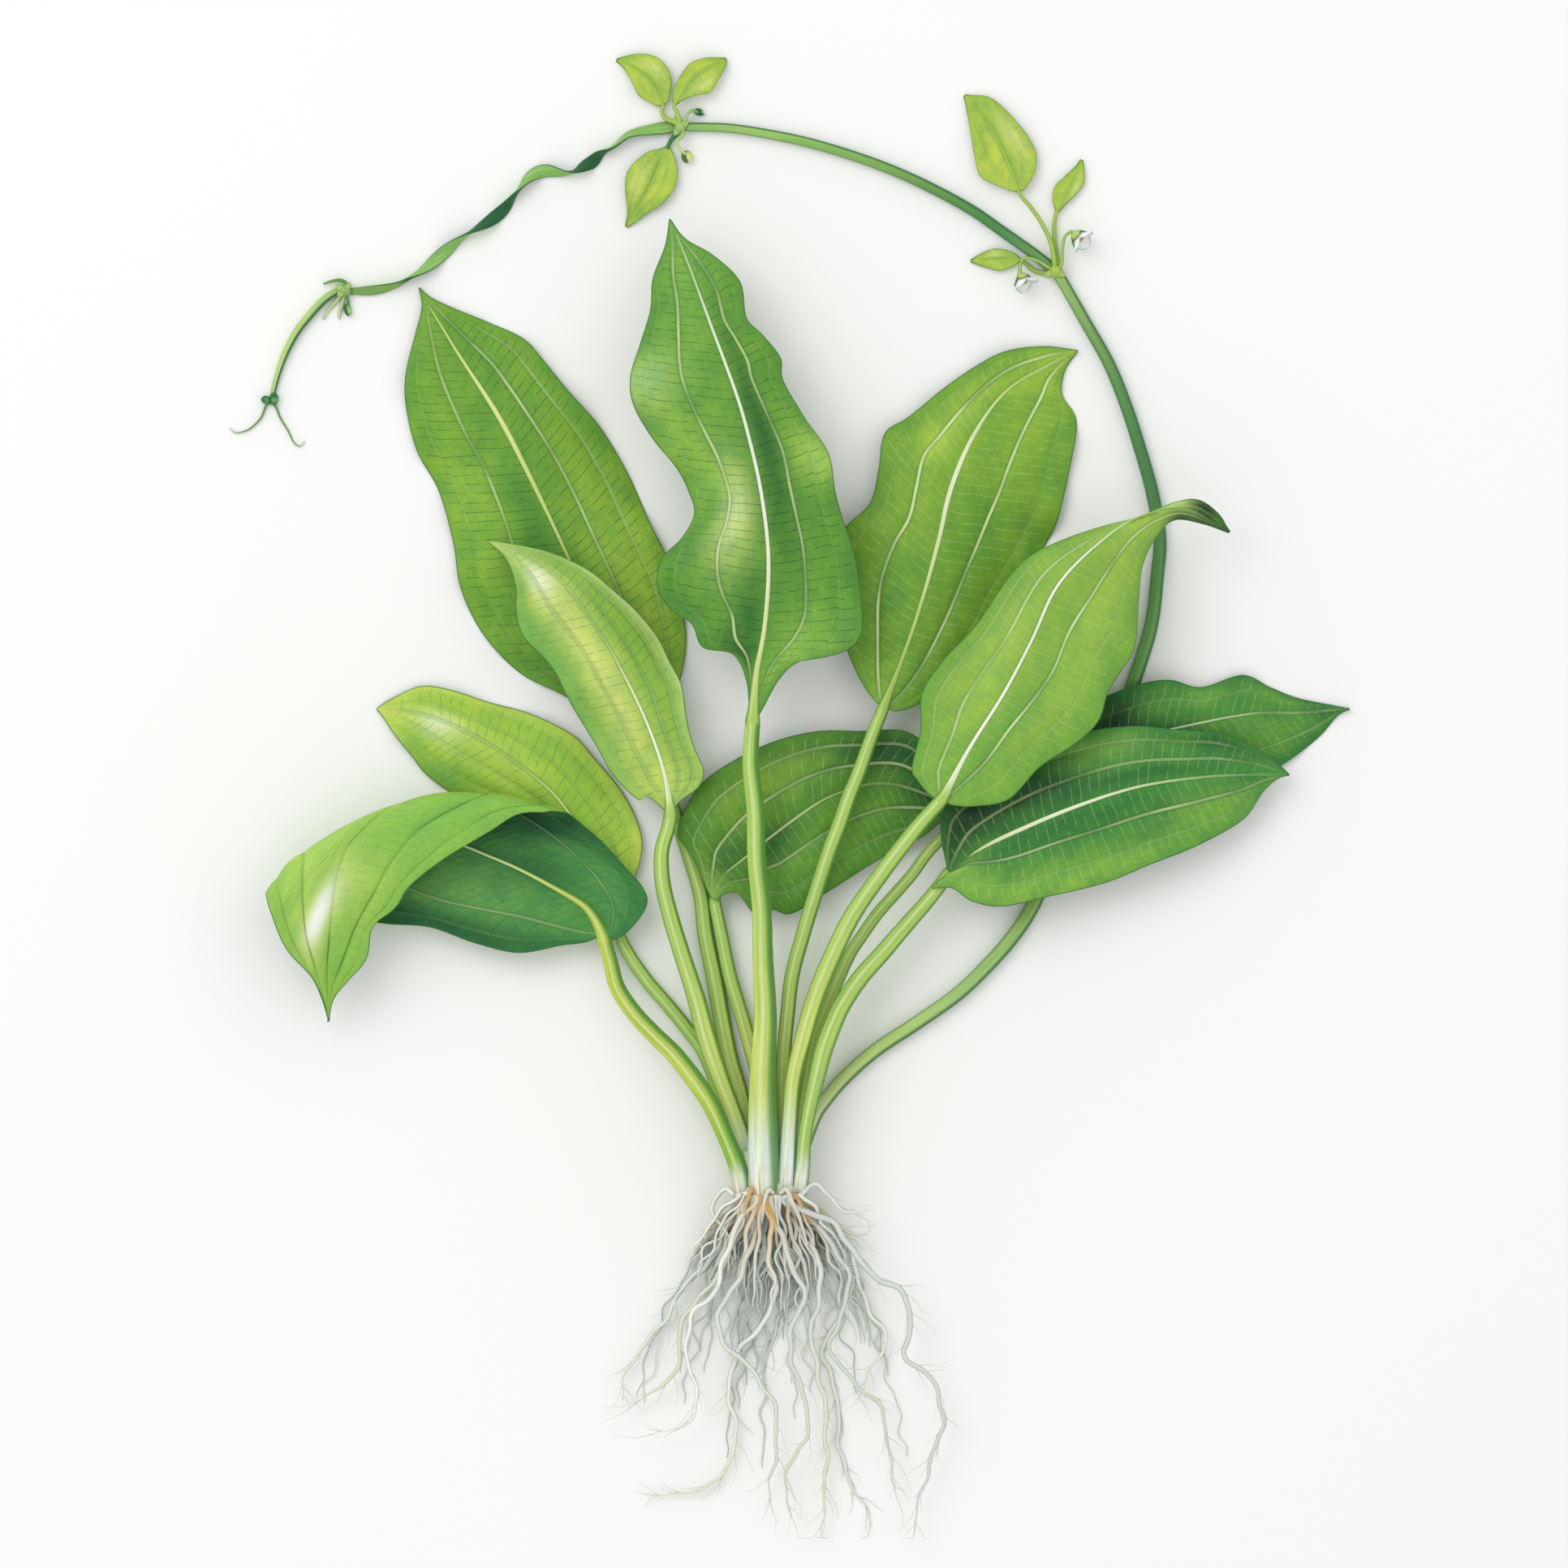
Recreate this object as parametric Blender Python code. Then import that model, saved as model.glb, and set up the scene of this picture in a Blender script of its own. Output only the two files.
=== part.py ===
"""Amazon sword plant, lifted out of its substrate and laid on its back on a flat surface.

Every table is in millimetres: +X to the plant's right, +Y from the roots to the leaf tips and +Z up from the
surface that it lies on. The origin is in the flat underside of the crown.
"""
import math

import bmesh
import bpy
import numpy as np

MM = 0.001
GAP = 0.4  # clearance where one piece meets the next

# crown: the short rootstock, between the root end and the leaf end
CROWN_Y = (-7.0, -5.5, 1.0, 4.5, 6.0)
CROWN_WIDTHS = (26.0, 30.0, 32.0, 33.0, 32.0)
CROWN_MIDDLE_X = -0.7
CROWN_HEIGHT = 28.0
CROWN_SIDES = 24
CROWN_SQUARING = 0.7   # below 1, the round section fills its corners
CROWN_FLATTENING = 1.2  # the section's height before it is cut flat above and below
TOWARDS_LEAVES = (0, 1, 0)
TOWARDS_ROOTS = (0, -1, 0)

# leaf blades
BLADE_THICKNESS = 1.0
BLADE_ROWS = 14
BLADE_COLUMNS = 5
BLADE_CROWDING = 1.2  # rows stand closer together towards the base
BLADE_BASE_WIDTH = 3.2
BLADE_TIP_WIDTH = 0.8
STALK_SIDES = 8
STALK_STEPS = 11
STALK_DEPTH = 0.82  # depth of a stalk over its width

# Each leaf: its stalk from the crown, its rib and its two edges from base to tip, and heights at even steps.
# left and right are as seen along the rib, and the rib's first point is where the stalk ends.
LEAVES = {
    "01": {
        "stalk": ((-6, 6.4), (-8.5, 15), (-12, 35.5), (-17, 52.5), (-20.5, 69), (-23.5, 86), (-27, 103),
                  (-29, 119.5), (-34, 136.5), (-40, 153.5), (-46, 170)),
        "stalk_heights": (6, 3.2, 3, 3, 3.4),
        "stalk_widths": (6, 7, 6.5, 6, 5),
        "rib": ((-50, 181.5), (-63.5, 213.5), (-85, 261.5), (-98.5, 290), (-111.5, 315), (-128.5, 341.5),
                (-139.5, 359.5), (-144.5, 368.5)),
        "left": ((-60, 185.5), (-73.5, 194), (-86, 201.5), (-103.5, 210.5), (-118.5, 226.5), (-127.5, 245),
                 (-130.5, 263.5), (-136.5, 285), (-145.5, 301.5), (-150, 320), (-150, 333.5), (-146, 350),
                 (-143.5, 360.5)),
        "right": ((-42.5, 191.5), (-37.5, 206.5), (-35, 220), (-35.5, 231.5), (-38.5, 246.5), (-43.5, 259.5),
                  (-50, 272.5), (-58.5, 291.5), (-70, 311), (-83.5, 326.5), (-92.5, 337.5), (-101.5, 347.5),
                  (-116.5, 354.5), (-130, 360), (-139.5, 364.5)),
        "rib_heights": (3.4, 5, 8, 10, 9, 5, 2),
        "left_heights": (3.4, 2, 1, 3, 1, 3, 2),
        "right_heights": (3.4, 2, 3, 1, 4, 1, 2),
        "colour": (0.32, 0.47, 0.10),
    },
    "02": {
        "stalk": ((-3, 6.4), (-3.5, 26.5), (-3.5, 46.5), (-2.5, 70), (-3.5, 93.5), (-4, 113.5), (-6, 133.5),
                  (-6.5, 153.5), (-8.5, 173.5)),
        "stalk_heights": (22.5, 22.5, 22.5, 24, 26),
        "stalk_widths": (11.4, 9, 7.8, 7.2, 6),
        "rib": ((-7.5, 191), (-6, 210), (-2.5, 230), (-1, 256.5), (-4, 283.5), (-10, 310), (-15, 326.5),
                (-25, 353.5), (-33.5, 376.5), (-41.5, 396)),
        "left": ((-10, 206), (-15.5, 217.5), (-28, 220.5), (-32.5, 230), (-41.5, 236.5), (-46.5, 245),
                 (-45, 256.5), (-36.5, 265.5), (-31.5, 275), (-33.5, 283.5), (-38.5, 293.5), (-49, 306.5),
                 (-56.5, 320), (-57.5, 331.5), (-53.5, 345), (-49.5, 358.5), (-48.5, 371.5), (-43.5, 385)),
        "right": ((-3, 196), (3.5, 207.5), (11.5, 214.5), (26.5, 217.5), (35, 222.5), (37.5, 231.5), (35, 255),
                  (30.5, 269.5), (26.5, 283.5), (23.5, 300), (13.5, 315), (5, 330), (4, 339), (-3.5, 348.5),
                  (-10, 355.5), (-12.5, 370), (-23.5, 381), (-35, 388)),
        "rib_heights": (26, 32, 38, 42, 40, 34, 24),
        "left_heights": (26, 30, 36, 30, 38, 30, 24),
        "right_heights": (26, 36, 30, 36, 32, 32, 24),
        "colour": (0.23, 0.40, 0.10),
    },
    "03": {
        "stalk": ((3, 6.4), (4, 20), (4.5, 36.5), (5, 52.5), (6.5, 69), (8.5, 86), (13, 103),
                  (18, 119.5), (23.5, 136.5), (28, 148.5), (32, 160), (36.5, 171), (41.5, 185)),
        "stalk_heights": (14.2, 14.2, 15.5, 17, 15),
        "stalk_widths": (6, 6, 6, 6, 5),
        "rib": ((46, 196), (53.5, 215), (61.5, 238.5), (68.5, 263.5), (74, 286.5), (83.5, 308.5),
                (96.5, 326), (113.5, 336.5), (126, 342.5)),
        "left": ((41.5, 200), (38.5, 204), (33.5, 213.5), (27.5, 230), (23.5, 243.5), (24, 256.5), (30.5, 270),
                 (40.5, 280), (44, 293.5), (46.5, 308.5), (56.5, 315.5), (70, 326.5), (83.5, 336),
                 (96.5, 342.5), (111.5, 344.5), (121.5, 343.5)),
        "right": ((52, 194.5), (61, 197.5), (71.5, 205), (85, 221.5), (96.5, 240), (108.5, 256.5),
                  (116.5, 270), (119.5, 280), (122.5, 293.5), (125.5, 313.5), (119.5, 325), (121, 335)),
        "rib_heights": (15, 14, 13, 11, 9, 6, 2),
        "left_heights": (15, 10, 7, 9, 4, 4, 2),
        "right_heights": (15, 10, 4, 1, 4, 1, 1),
        "colour": (0.30, 0.46, 0.11),
    },
    "04": {
        "stalk": ((-10, 6.4), (-11, 16), (-14.5, 27), (-21, 44), (-26.5, 60.5), (-31, 77.5), (-36.5, 94.5),
                  (-41.5, 111), (-44.5, 124), (-45, 136.5), (-42.5, 146)),
        "stalk_heights": (14.2, 14, 14, 15, 16),
        "stalk_widths": (7, 8, 7, 6.5, 5.5),
        "rib": ((-41, 152.5), (-44, 170), (-51, 190), (-60.5, 210), (-70, 226.5), (-86.5, 248.5),
                (-103.5, 259.5), (-116.5, 264.5)),
        "left": ((-46, 156), (-51, 159.5), (-55, 158.5), (-65, 168.5), (-71.5, 180), (-81.5, 196.5),
                 (-90, 212.5), (-101.5, 225), (-104.5, 235), (-104.5, 245), (-108.5, 256.5)),
        "right": ((-37.5, 157.5), (-29.5, 163.5), (-27.5, 170.5), (-31.5, 180), (-34.5, 191.5), (-36.5, 205),
                  (-41.5, 215), (-46.5, 225), (-55, 235.5), (-65, 244.5), (-75, 252.5), (-90, 259.5),
                  (-105, 263)),
        "rib_heights": (16, 20, 24, 27, 27, 24, 17),
        "left_heights": (16, 18, 16, 20, 18, 20, 17),
        "right_heights": (16, 20, 22, 18, 22, 20, 17),
        "colour": (0.45, 0.58, 0.19),
    },
    "05": {
        "stalk": ((6.4, 6.4), (7.5, 27), (9, 44), (13, 60.5), (18, 77.5), (25, 94.5), (33.5, 111.5),
                  (45, 128), (58, 145), (64.5, 152.5)),
        "stalk_heights": (22.5, 23, 25, 27, 28),
        "stalk_widths": (6.2, 7.2, 7.2, 6.6, 5.5),
        "rib": ((70, 158.5), (81.5, 180), (95, 201.5), (106.5, 223.5), (116.5, 245), (131.5, 261),
                (150, 273.5), (170, 276.5), (187.5, 267.5)),
        "left": ((65, 160), (59.5, 166.5), (57.5, 171.5), (61, 186.5), (61.5, 201.5), (70, 215),
                 (83.5, 229.5), (96.5, 248.5), (106.5, 258.5), (121.5, 265.5), (136.5, 270.5), (150, 274),
                 (165, 280), (175, 281), (183.5, 275)),
        "right": ((74, 156), (83.5, 155.5), (97.5, 158.5), (110, 171.5), (125, 181.5), (134, 190.5),
                  (138.5, 203.5), (148.5, 220), (150.5, 240), (152, 253.5), (157.5, 265.5), (165, 272.5),
                  (176.5, 271)),
        "rib_heights": (28, 35, 41, 44, 42, 36, 26),
        "left_heights": (28, 32, 38, 33, 34, 33, 27),
        "right_heights": (28, 30, 34, 32, 30, 31, 25),
        "colour": (0.36, 0.53, 0.16),
    },
    "06": {
        "stalk": ((-13.2, 6.4), (-15.5, 14), (-19, 30), (-27, 53), (-34.5, 64), (-43, 74.5), (-51.5, 84.5),
                  (-60, 97.5)),
        "stalk_heights": (6, 3.6, 3.4, 3.4, 4),
        "stalk_widths": (5.6, 5.6, 5.6, 5.4, 4.6),
        "rib": ((-65, 110), (-71.5, 133.5), (-83.5, 153.5), (-95, 166), (-116.5, 181.5), (-140, 192.5),
                (-162, 195.5)),
        "left": ((-71.5, 120.5), (-85, 136.5), (-100, 148.5), (-115, 155), (-130, 160.5), (-141.5, 168.5),
                 (-147.5, 176), (-154, 184), (-159.5, 192)),
        "right": ((-58.5, 120), (-53.5, 133.5), (-53.5, 145), (-60.5, 160.5), (-73.5, 176.5), (-81.5, 185),
                  (-98.5, 193.5), (-116.5, 198.5), (-130, 203), (-143.5, 205), (-156.5, 199.5)),
        "rib_heights": (4, 6, 7, 7, 6, 4, 1),
        "left_heights": (4, 3, 1, 2, 1, 2, 1),
        "right_heights": (4, 4, 2, 4, 1, 3, 1),
        "colour": (0.38, 0.55, 0.13),
    },
    "08": {
        "stalk": ((0, 6.4), (-2.5, 26.5), (-6, 46.5), (-8.5, 56.5), (-12, 69), (-17, 86), (-20.5, 103)),
        "stalk_heights": (6, 5, 5, 5.5, 6.4),
        "stalk_widths": (6, 6, 6, 5.6, 5),
        "rib": ((-23.5, 117.5), (-20, 126.5), (-10, 135), (8.5, 149.5), (25, 160), (45, 165), (63.5, 160.5),
                (74, 153.5)),
        "left": ((-26, 120.5), (-32.5, 135), (-38.5, 144), (-35, 155), (-27.5, 166), (-12.5, 176),
                 (3.5, 183), (20, 186.5), (36.5, 186.5), (55, 186.5), (65, 178.5), (71, 165)),
        "right": ((-19, 119.5), (-13.5, 119.5), (-6.5, 111), (0.5, 113), (8.5, 111.5), (23.5, 120.5),
                  (46.5, 135), (61.5, 142.5), (70, 149.5)),
        "rib_heights": (9.6, 9.8, 10, 10, 9, 8, 6),
        "left_heights": (9.6, 9, 8, 9, 8, 9, 6),
        "right_heights": (9.6, 9, 7, 9, 7, 7, 6),
        "colour": (0.09, 0.24, 0.06),
    },
    "09": {
        "stalk": ((10, 6.4), (12, 30), (15.5, 50), (18, 61.5), (21, 69), (24.5, 77.5), (32, 94.5),
                  (37.5, 103), (43.5, 111.5), (51.5, 120.5), (58, 128), (66, 138.5)),
        "stalk_heights": (14.2, 13.5, 12.5, 12, 12.2),
        "stalk_widths": (5, 5, 5, 4.8, 4.2),
        "rib": ((82, 153.5), (103.5, 165), (126.5, 175), (150, 183.5), (170, 188.5), (196.5, 193.5),
                (216.5, 194), (237.5, 195.5)),
        "left": ((85, 158.5), (91.5, 168.5), (103.5, 181.5), (120, 193.5), (136.5, 200.5), (150, 205.5),
                 (163.5, 207.5), (176.5, 204.5), (193.5, 209.5), (205, 204.5), (216.5, 200), (231.5, 197)),
        "right": ((88.5, 150.5), (106.5, 148.5), (130, 148.5), (153.5, 150.5), (173.5, 155), (193.5, 163.5),
                  (211.5, 173.5), (225, 184), (232.5, 192.5)),
        "rib_heights": (12.2, 13, 13, 12, 10, 6, 2),
        "left_heights": (12.2, 11, 10, 9, 4, 1, 1),
        "right_heights": (12.2, 11, 10, 10, 5, 1, 1),
        "colour": (0.07, 0.23, 0.07),
    },
    "10": {
        "stalk": ((12.7, 6.4), (13.5, 18.5), (15.5, 31), (18.5, 44), (21.5, 56), (26, 68), (30, 76),
                  (37, 86), (45.5, 95.5), (54.5, 106), (65, 118)),
        "stalk_heights": (22.5, 22, 20, 18, 16.2),
        "stalk_widths": (5.6, 7.4, 7.2, 6.5, 5.5),
        "rib": ((73, 128.5), (83.5, 136.5), (96.5, 143.5), (123.5, 155), (150, 163.5), (176.5, 167.5),
                (196.5, 168.5), (212.5, 168.5)),
        "left": ((71.5, 132.5), (69.5, 143.5), (70.5, 154), (81.5, 165), (96.5, 175), (113.5, 181.5),
                 (133.5, 187), (150, 188.5), (166.5, 187), (183.5, 185.5), (198.5, 179.5), (208.5, 172.5)),
        "right": ((70, 126), (65.5, 122), (74, 122), (82.5, 116.5), (95, 114.5), (113.5, 118.5),
                  (136.5, 124), (155, 131.5), (175, 139.5), (193.5, 150), (201.5, 161), (207.5, 166.5)),
        "rib_heights": (20, 22, 24, 25, 23, 19, 12),
        "left_heights": (20, 20.5, 21, 19, 20, 16, 12),
        "right_heights": (20, 20.5, 20, 17, 17, 12, 11),
        "colour": (0.08, 0.28, 0.07),
    },
}

# Leaf 07 hangs over on itself. Five lines run along it from base to tip: its two edges, its rib and the two
# half-way between. Each is in two runs, from the base to the crest of the fold and from there to the tip.
FOLD_STALK = {
    "stalk": ((-13.3, 6.4), (-18, 18.5), (-26, 35.5), (-38.5, 52.5), (-48, 62), (-56, 70.5), (-63, 81),
              (-66, 92)),
    "stalk_heights": (22.5, 22.5, 18, 12.5, 9.4),
    "stalk_widths": (6.8, 7.5, 7, 6.5, 5.5),
    "colour": (0.30, 0.50, 0.13),
}
FOLD_BASE = (-69, 103)
FOLD_TIP = (-181.5, 67.5)
FOLD_LINES = (
    (((-76, 99.8), (-86, 98.5), (-103.5, 95.5), (-121.5, 99.5), (-140, 106), (-158.5, 107.5), (-180, 111.5),
      (-200, 117.5), (-206.5, 120)),
     ((-206.5, 120), (-204.5, 112), (-198.5, 97.5), (-188.5, 86), (-184, 76.5))),
    (((-78, 104), (-90, 107), (-103.5, 110.5), (-121.5, 114), (-136.5, 117.5), (-156.5, 125), (-173.5, 132.5),
      (-191, 136.5)),
     ((-191, 136.5), (-191.5, 128), (-191.5, 116.5), (-190, 101.5), (-186, 86.5))),
    (((-71.5, 108.5), (-76.5, 115), (-86.5, 121), (-103.5, 130), (-118.5, 136.5), (-134, 143.5),
      (-151.5, 156.5)),
     ((-151.5, 156.5), (-159.5, 152.5), (-171.5, 141.5), (-176.5, 131.5), (-179, 120), (-180.5, 106.5),
      (-182, 86.5))),
    (((-65.5, 106), (-65, 115), (-71.5, 126.5), (-83.5, 138.5), (-96, 148), (-116.5, 160)),
     ((-116.5, 160), (-127, 156), (-143.5, 146.5), (-155, 133.5), (-163.5, 118.5), (-170, 106.5),
      (-175, 93.5), (-180, 80))),
    (((-64, 101), (-57, 106), (-51, 115), (-52.5, 122), (-60, 130.5), (-70, 141.5), (-83.5, 152.5)),
     ((-83.5, 152.5), (-93, 153.5), (-103.5, 152.5), (-115, 145.5), (-133.5, 134.5), (-147.5, 123.5),
      (-153.5, 114.5), (-163, 106.5), (-165.5, 93.5), (-173.5, 84), (-179.5, 76.5))),
)
FOLD_RADIUS = 8.0
FOLD_LOW = (13, 13, 12.5, 12.5, 13)    # heights from the base to the fold
FOLD_HIGH = (29, 30, 28, 24, 17)       # and from the fold to the tip
FOLD_STEPS = ((0, 0.1, 0.24, 0.42, 0.6, 0.76, 0.88, 0.95, 0.985, 1),
              (0.015, 0.05, 0.12, 0.24, 0.4, 0.6, 0.8, 1))
FOLD_COLUMNS = 9
FOLD_BASE_SLANT = 0.3  # how far the base's end runs along X, over its width
FOLD_TIP_WIDTH = 0.8

# Runner, lying on the surface: round stems between its nodes, the third a flat twisting ribbon.
RUNNER_SIDES = 8
RUNNERS = {
    "runner_stem_1": {
        "route": ((10.5, 6.4), (13, 15), (17.5, 27.5), (21.5, 34), (30, 44), (43, 55.5), (59.5, 66.5),
                  (76.5, 78.5), (89.5, 91), (99.5, 102.5), (107.5, 115), (117, 136.5), (131, 166.5),
                  (142.5, 190), (152.5, 217.5), (156.5, 232.5), (158.5, 250.5), (159.5, 265.5), (156.5, 284),
                  (151.5, 302), (145.5, 320.5), (138.5, 337.5), (129.5, 353.5), (119.2, 371.6)),
        "widths": (5.8, 5.8, 6, 6, 5.6, 5.2, 4.6),
        "start_height": 6.0,
        "start": TOWARDS_LEAVES,
        "steps": 30,
    },
    "runner_stem_2": {
        "route": ((113.9, 377.6), (107, 383), (95, 391.5), (82, 400.5), (65.5, 409.5), (49, 417), (32.5, 423),
                  (15.5, 428), (-1, 431.5), (-17.5, 434), (-34.4, 434.5)),
        "widths": (4.6, 4.4, 4.2, 4, 3.6),
        "steps": 14,
    },
    "runner_stem_4": {
        "route": ((-178.2, 367), (-183.5, 364), (-191.5, 356.5), (-198.5, 348.5), (-201.5, 340),
                  (-204.5, 326.5), (-205.2, 322)),
        "widths": (2.7, 2.6, 2.2, 1.9, 1.8, 2, 4.4),
        "steps": 12,
    },
}
RUNNER_LANDING = 0.08  # share of a stem's length in which it comes down from the crown to the surface
RIBBON_ROUTE = ((-40.2, 434.5), (-48, 433.5), (-58, 431.5), (-64.5, 426.5), (-70.5, 423), (-74.5, 419.5),
                (-83, 415.5), (-93, 416.5), (-99.5, 413.5), (-104.5, 407.5), (-109.5, 401), (-116, 395.5),
                (-124.5, 390.5), (-132.5, 384.5), (-141, 377), (-147.5, 373), (-154, 369.5), (-162.5, 367.5),
                (-171.8, 367))
RIBBON_PINCHES = (0.2, 0.31, 0.47, 0.64, 0.83)  # shares of its length where the ribbon stands on edge
RIBBON_STEPS = 34
RIBBON_WIDTH = 5.4
RIBBON_THICKNESS = 1.6
RIBBON_CLEARANCE = 0.1  # between the ribbon's lowest edge and the surface

# Knuckles where plantlets leave the runner: place, width, length and height.
NODE_STEPS = 6
NODE_TRIM = 0.08  # share cut off each end of a knuckle's round form
NODES = {
    "plantlet_a_crown": ((116.7, 375.3, 3.6), 5.4, 5.4, 7.2),
    "plantlet_b_crown": ((-37.3, 434.4, 3.0), 5.0, 5.0, 6.0),
    "runner_knot": ((-175, 367.2, 2.4), 5.4, 4.4, 4.8),
}

# Plantlet leaves: rib and edges start with the slim stalk.
SPROUT_STALK_WIDTH = 2.2
SPROUT_THICKNESS = 0.9
SPROUT_DROOP = 0.5
SPROUT_ROWS = 11
SPROUT_COLUMNS = 5
SPROUT_TIP = np.array((-0.2, 0.2))
SPROUTS = {
    "plantlet_a_leaf_1": {
        "stalk": ((116.3, 378.6), (115, 386.5), (111, 395), (106.5, 401.5)),
        "rib": ((101.5, 408), (96.5, 421.5), (88.5, 436.5), (79.5, 447.5)),
        "left": ((96.5, 409), (86.5, 413.5), (84, 420), (82, 431.5), (80, 443.5)),
        "right": ((104.5, 409.5), (108.5, 416.5), (108, 426), (100, 437.5), (90, 446.5)),
        "heights": (6.2, 5.6, 4.6, 3.4, 2.4, 1),
    },
    "plantlet_a_leaf_2": {
        "stalk": ((117.8, 378.6), (116.5, 387.5), (116.3, 395)),
        "rib": ((117.5, 400), (122, 409.5), (127.5, 421)),
        "left": ((115.5, 404.5), (116.5, 410), (120.5, 414), (125, 418)),
        "right": ((120.5, 402.5), (125, 406.5), (128.5, 411.5), (128.5, 417.5)),
        "heights": (2.6, 2.4, 2.2, 2.4, 2, 1.2),
    },
    "plantlet_a_leaf_3": {
        "stalk": ((113.4, 374.4), (108, 375.6)),
        "rib": ((102, 380), (92, 380), (82, 379.5)),
        "left": ((99.5, 377.5), (94, 375.5), (89.5, 376.5), (85, 378)),
        "right": ((100, 382.5), (96.5, 384), (91.5, 384.5), (86, 382.5)),
        "heights": (2, 1.6, 1.8, 2.2, 1.6, 1),
    },
    "plantlet_b_leaf_1": {
        "stalk": ((-39.6, 436.4), (-43, 438.5), (-44.5, 441)),
        "rib": ((-42.5, 444), (-50, 453.5), (-56.5, 458.5), (-63.5, 462)),
        "left": ((-45.5, 443.5), (-50, 444), (-54.5, 447.5), (-57.5, 453.5), (-60.5, 458.5)),
        "right": ((-41.5, 447.5), (-41.5, 453.5), (-42.5, 458.5), (-46, 462.5), (-51.5, 464.5),
                  (-58.5, 464)),
        "heights": (3.8, 3.2, 3, 3.6, 2.6, 1),
    },
    "plantlet_b_leaf_2": {
        "stalk": ((-37.8, 437.4), (-39, 441)),
        "rib": ((-39.5, 444), (-33.5, 453.5), (-26.5, 458.5), (-18.5, 462.5)),
        "left": ((-40.5, 446.5), (-39.5, 451), (-36.5, 456.5), (-32.5, 461), (-25.5, 463)),
        "right": ((-36, 445.5), (-30, 447.5), (-25, 448.5), (-21.5, 454), (-18.5, 459.5)),
        "heights": (5, 5.2, 5.4, 5.2, 4, 2),
    },
    "plantlet_b_leaf_3": {
        "stalk": ((-38.6, 431.6), (-41, 429.2)),
        "rib": ((-42.5, 426), (-46, 418.5), (-50.5, 408.5), (-59.5, 393.5)),
        "left": ((-40.5, 424), (-38.5, 417.5), (-39.5, 409.5), (-45, 402.5), (-50, 399.5), (-55.5, 395.5)),
        "right": ((-45.5, 425.5), (-50, 424.5), (-55, 421), (-59, 416), (-60, 409.5), (-59, 399.5)),
        "heights": (2.2, 2.4, 3, 3.4, 2.4, 1),
    },
}

# Slim pieces on stalks of their own: route with heights, and widths at even steps.
SHOOT_SIDES = 6
SHOOT_EXTRA_STEPS = 4
SHOOTS = {
    "plantlet_a_flower_1": {
        "route": ((119.2, 378.2, 6.2), (119.6, 384, 6.6), (120.4, 389, 6.2), (123, 391.3, 5.4),
                  (126, 390.3, 4.6), (127.4, 389.6, 5.4), (127.5, 389.5, 7.4), (127.5, 389.5, 9)),
        "widths": (1.6, 1.6, 1.6, 1.6, 2.2, 4.6, 9.2, 9.6),
        "colour": (0.80, 0.84, 0.84),
    },
    "plantlet_a_flower_2": {
        "route": ((113.8, 376.8, 5.2), (109, 379.6, 5), (104, 380.6, 5.4), (102.2, 377.6, 5),
                  (103.6, 373.4, 4.4), (105, 371, 4.8), (105.5, 370.5, 6.6), (105.5, 370.5, 8.2)),
        "widths": (1.6, 1.6, 1.6, 1.6, 2.2, 4.4, 8.6, 8.8),
        "colour": (0.80, 0.84, 0.84),
    },
    "plantlet_b_bud_1": {
        "route": ((-35.4, 437.2, 4.4), (-34, 440, 4.4), (-32.2, 441.2, 3.6), (-30.5, 440.6, 2.6),
                  (-28.4, 440, 2)),
        "widths": (1.5, 1.5, 1.8, 3.4, 1.6),
        "colour": (0.45, 0.60, 0.20),
    },
    "plantlet_b_bud_2": {
        "route": ((-36, 431.4, 5), (-38.6, 428.6, 5.6), (-38, 426, 5.6), (-36, 424, 5), (-34.4, 421.6, 4.4)),
        "widths": (1.5, 1.5, 2, 4.4, 2),
        "colour": (0.55, 0.66, 0.35),
    },
    "knot_shoot": {
        "route": ((-174.6, 370, 3), (-176.6, 371.4, 3.2), (-180, 371.2, 2.4), (-184, 370, 1.4)),
        "widths": (2.4, 2.2, 1.8, 1.2),
        "colour": (0.36, 0.52, 0.20),
    },
    "knot_bud": {
        "route": ((-174, 364.4, 2), (-173.7, 362.4, 2), (-173.5, 359.5, 2), (-173.4, 356.8, 1.6)),
        "widths": (1.4, 1.6, 2.8, 1.6),
        "colour": (0.55, 0.66, 0.35),
    },
    "knot_rootlet_1": {
        "route": ((-177.4, 364.4, 1.2), (-180, 361.4, 1), (-182, 359, 0.8), (-184, 355.5, 0.7)),
        "widths": (1.4, 1.2, 1, 0.9),
        "colour": (0.80, 0.82, 0.70),
    },
    "knot_rootlet_2": {
        "route": ((-175.6, 364.4, 1.2), (-176.4, 361, 1), (-177.2, 358, 0.8), (-177.5, 355.5, 0.7)),
        "widths": (1.4, 1.2, 1, 0.9),
        "colour": (0.80, 0.82, 0.70),
    },
    "tip_rootlet_1": {
        "route": ((-207.4, 320, 1.1), (-209.5, 315, 1), (-213.5, 311, 0.9), (-216.5, 309.5, 0.8),
                  (-220, 309, 0.7), (-222.5, 311, 0.7)),
        "widths": (2, 1.6, 1.4, 1.2, 1.1, 1),
        "colour": (0.80, 0.82, 0.70),
    },
    "tip_rootlet_2": {
        "route": ((-203.4, 319.6, 1.1), (-201.5, 315, 1), (-198.5, 310, 0.9), (-196, 305, 0.8),
                  (-193.5, 303.5, 0.7), (-191.5, 305.5, 0.7)),
        "widths": (2, 1.6, 1.4, 1.2, 1.1, 1),
        "colour": (0.80, 0.82, 0.70),
    },
}

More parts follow.
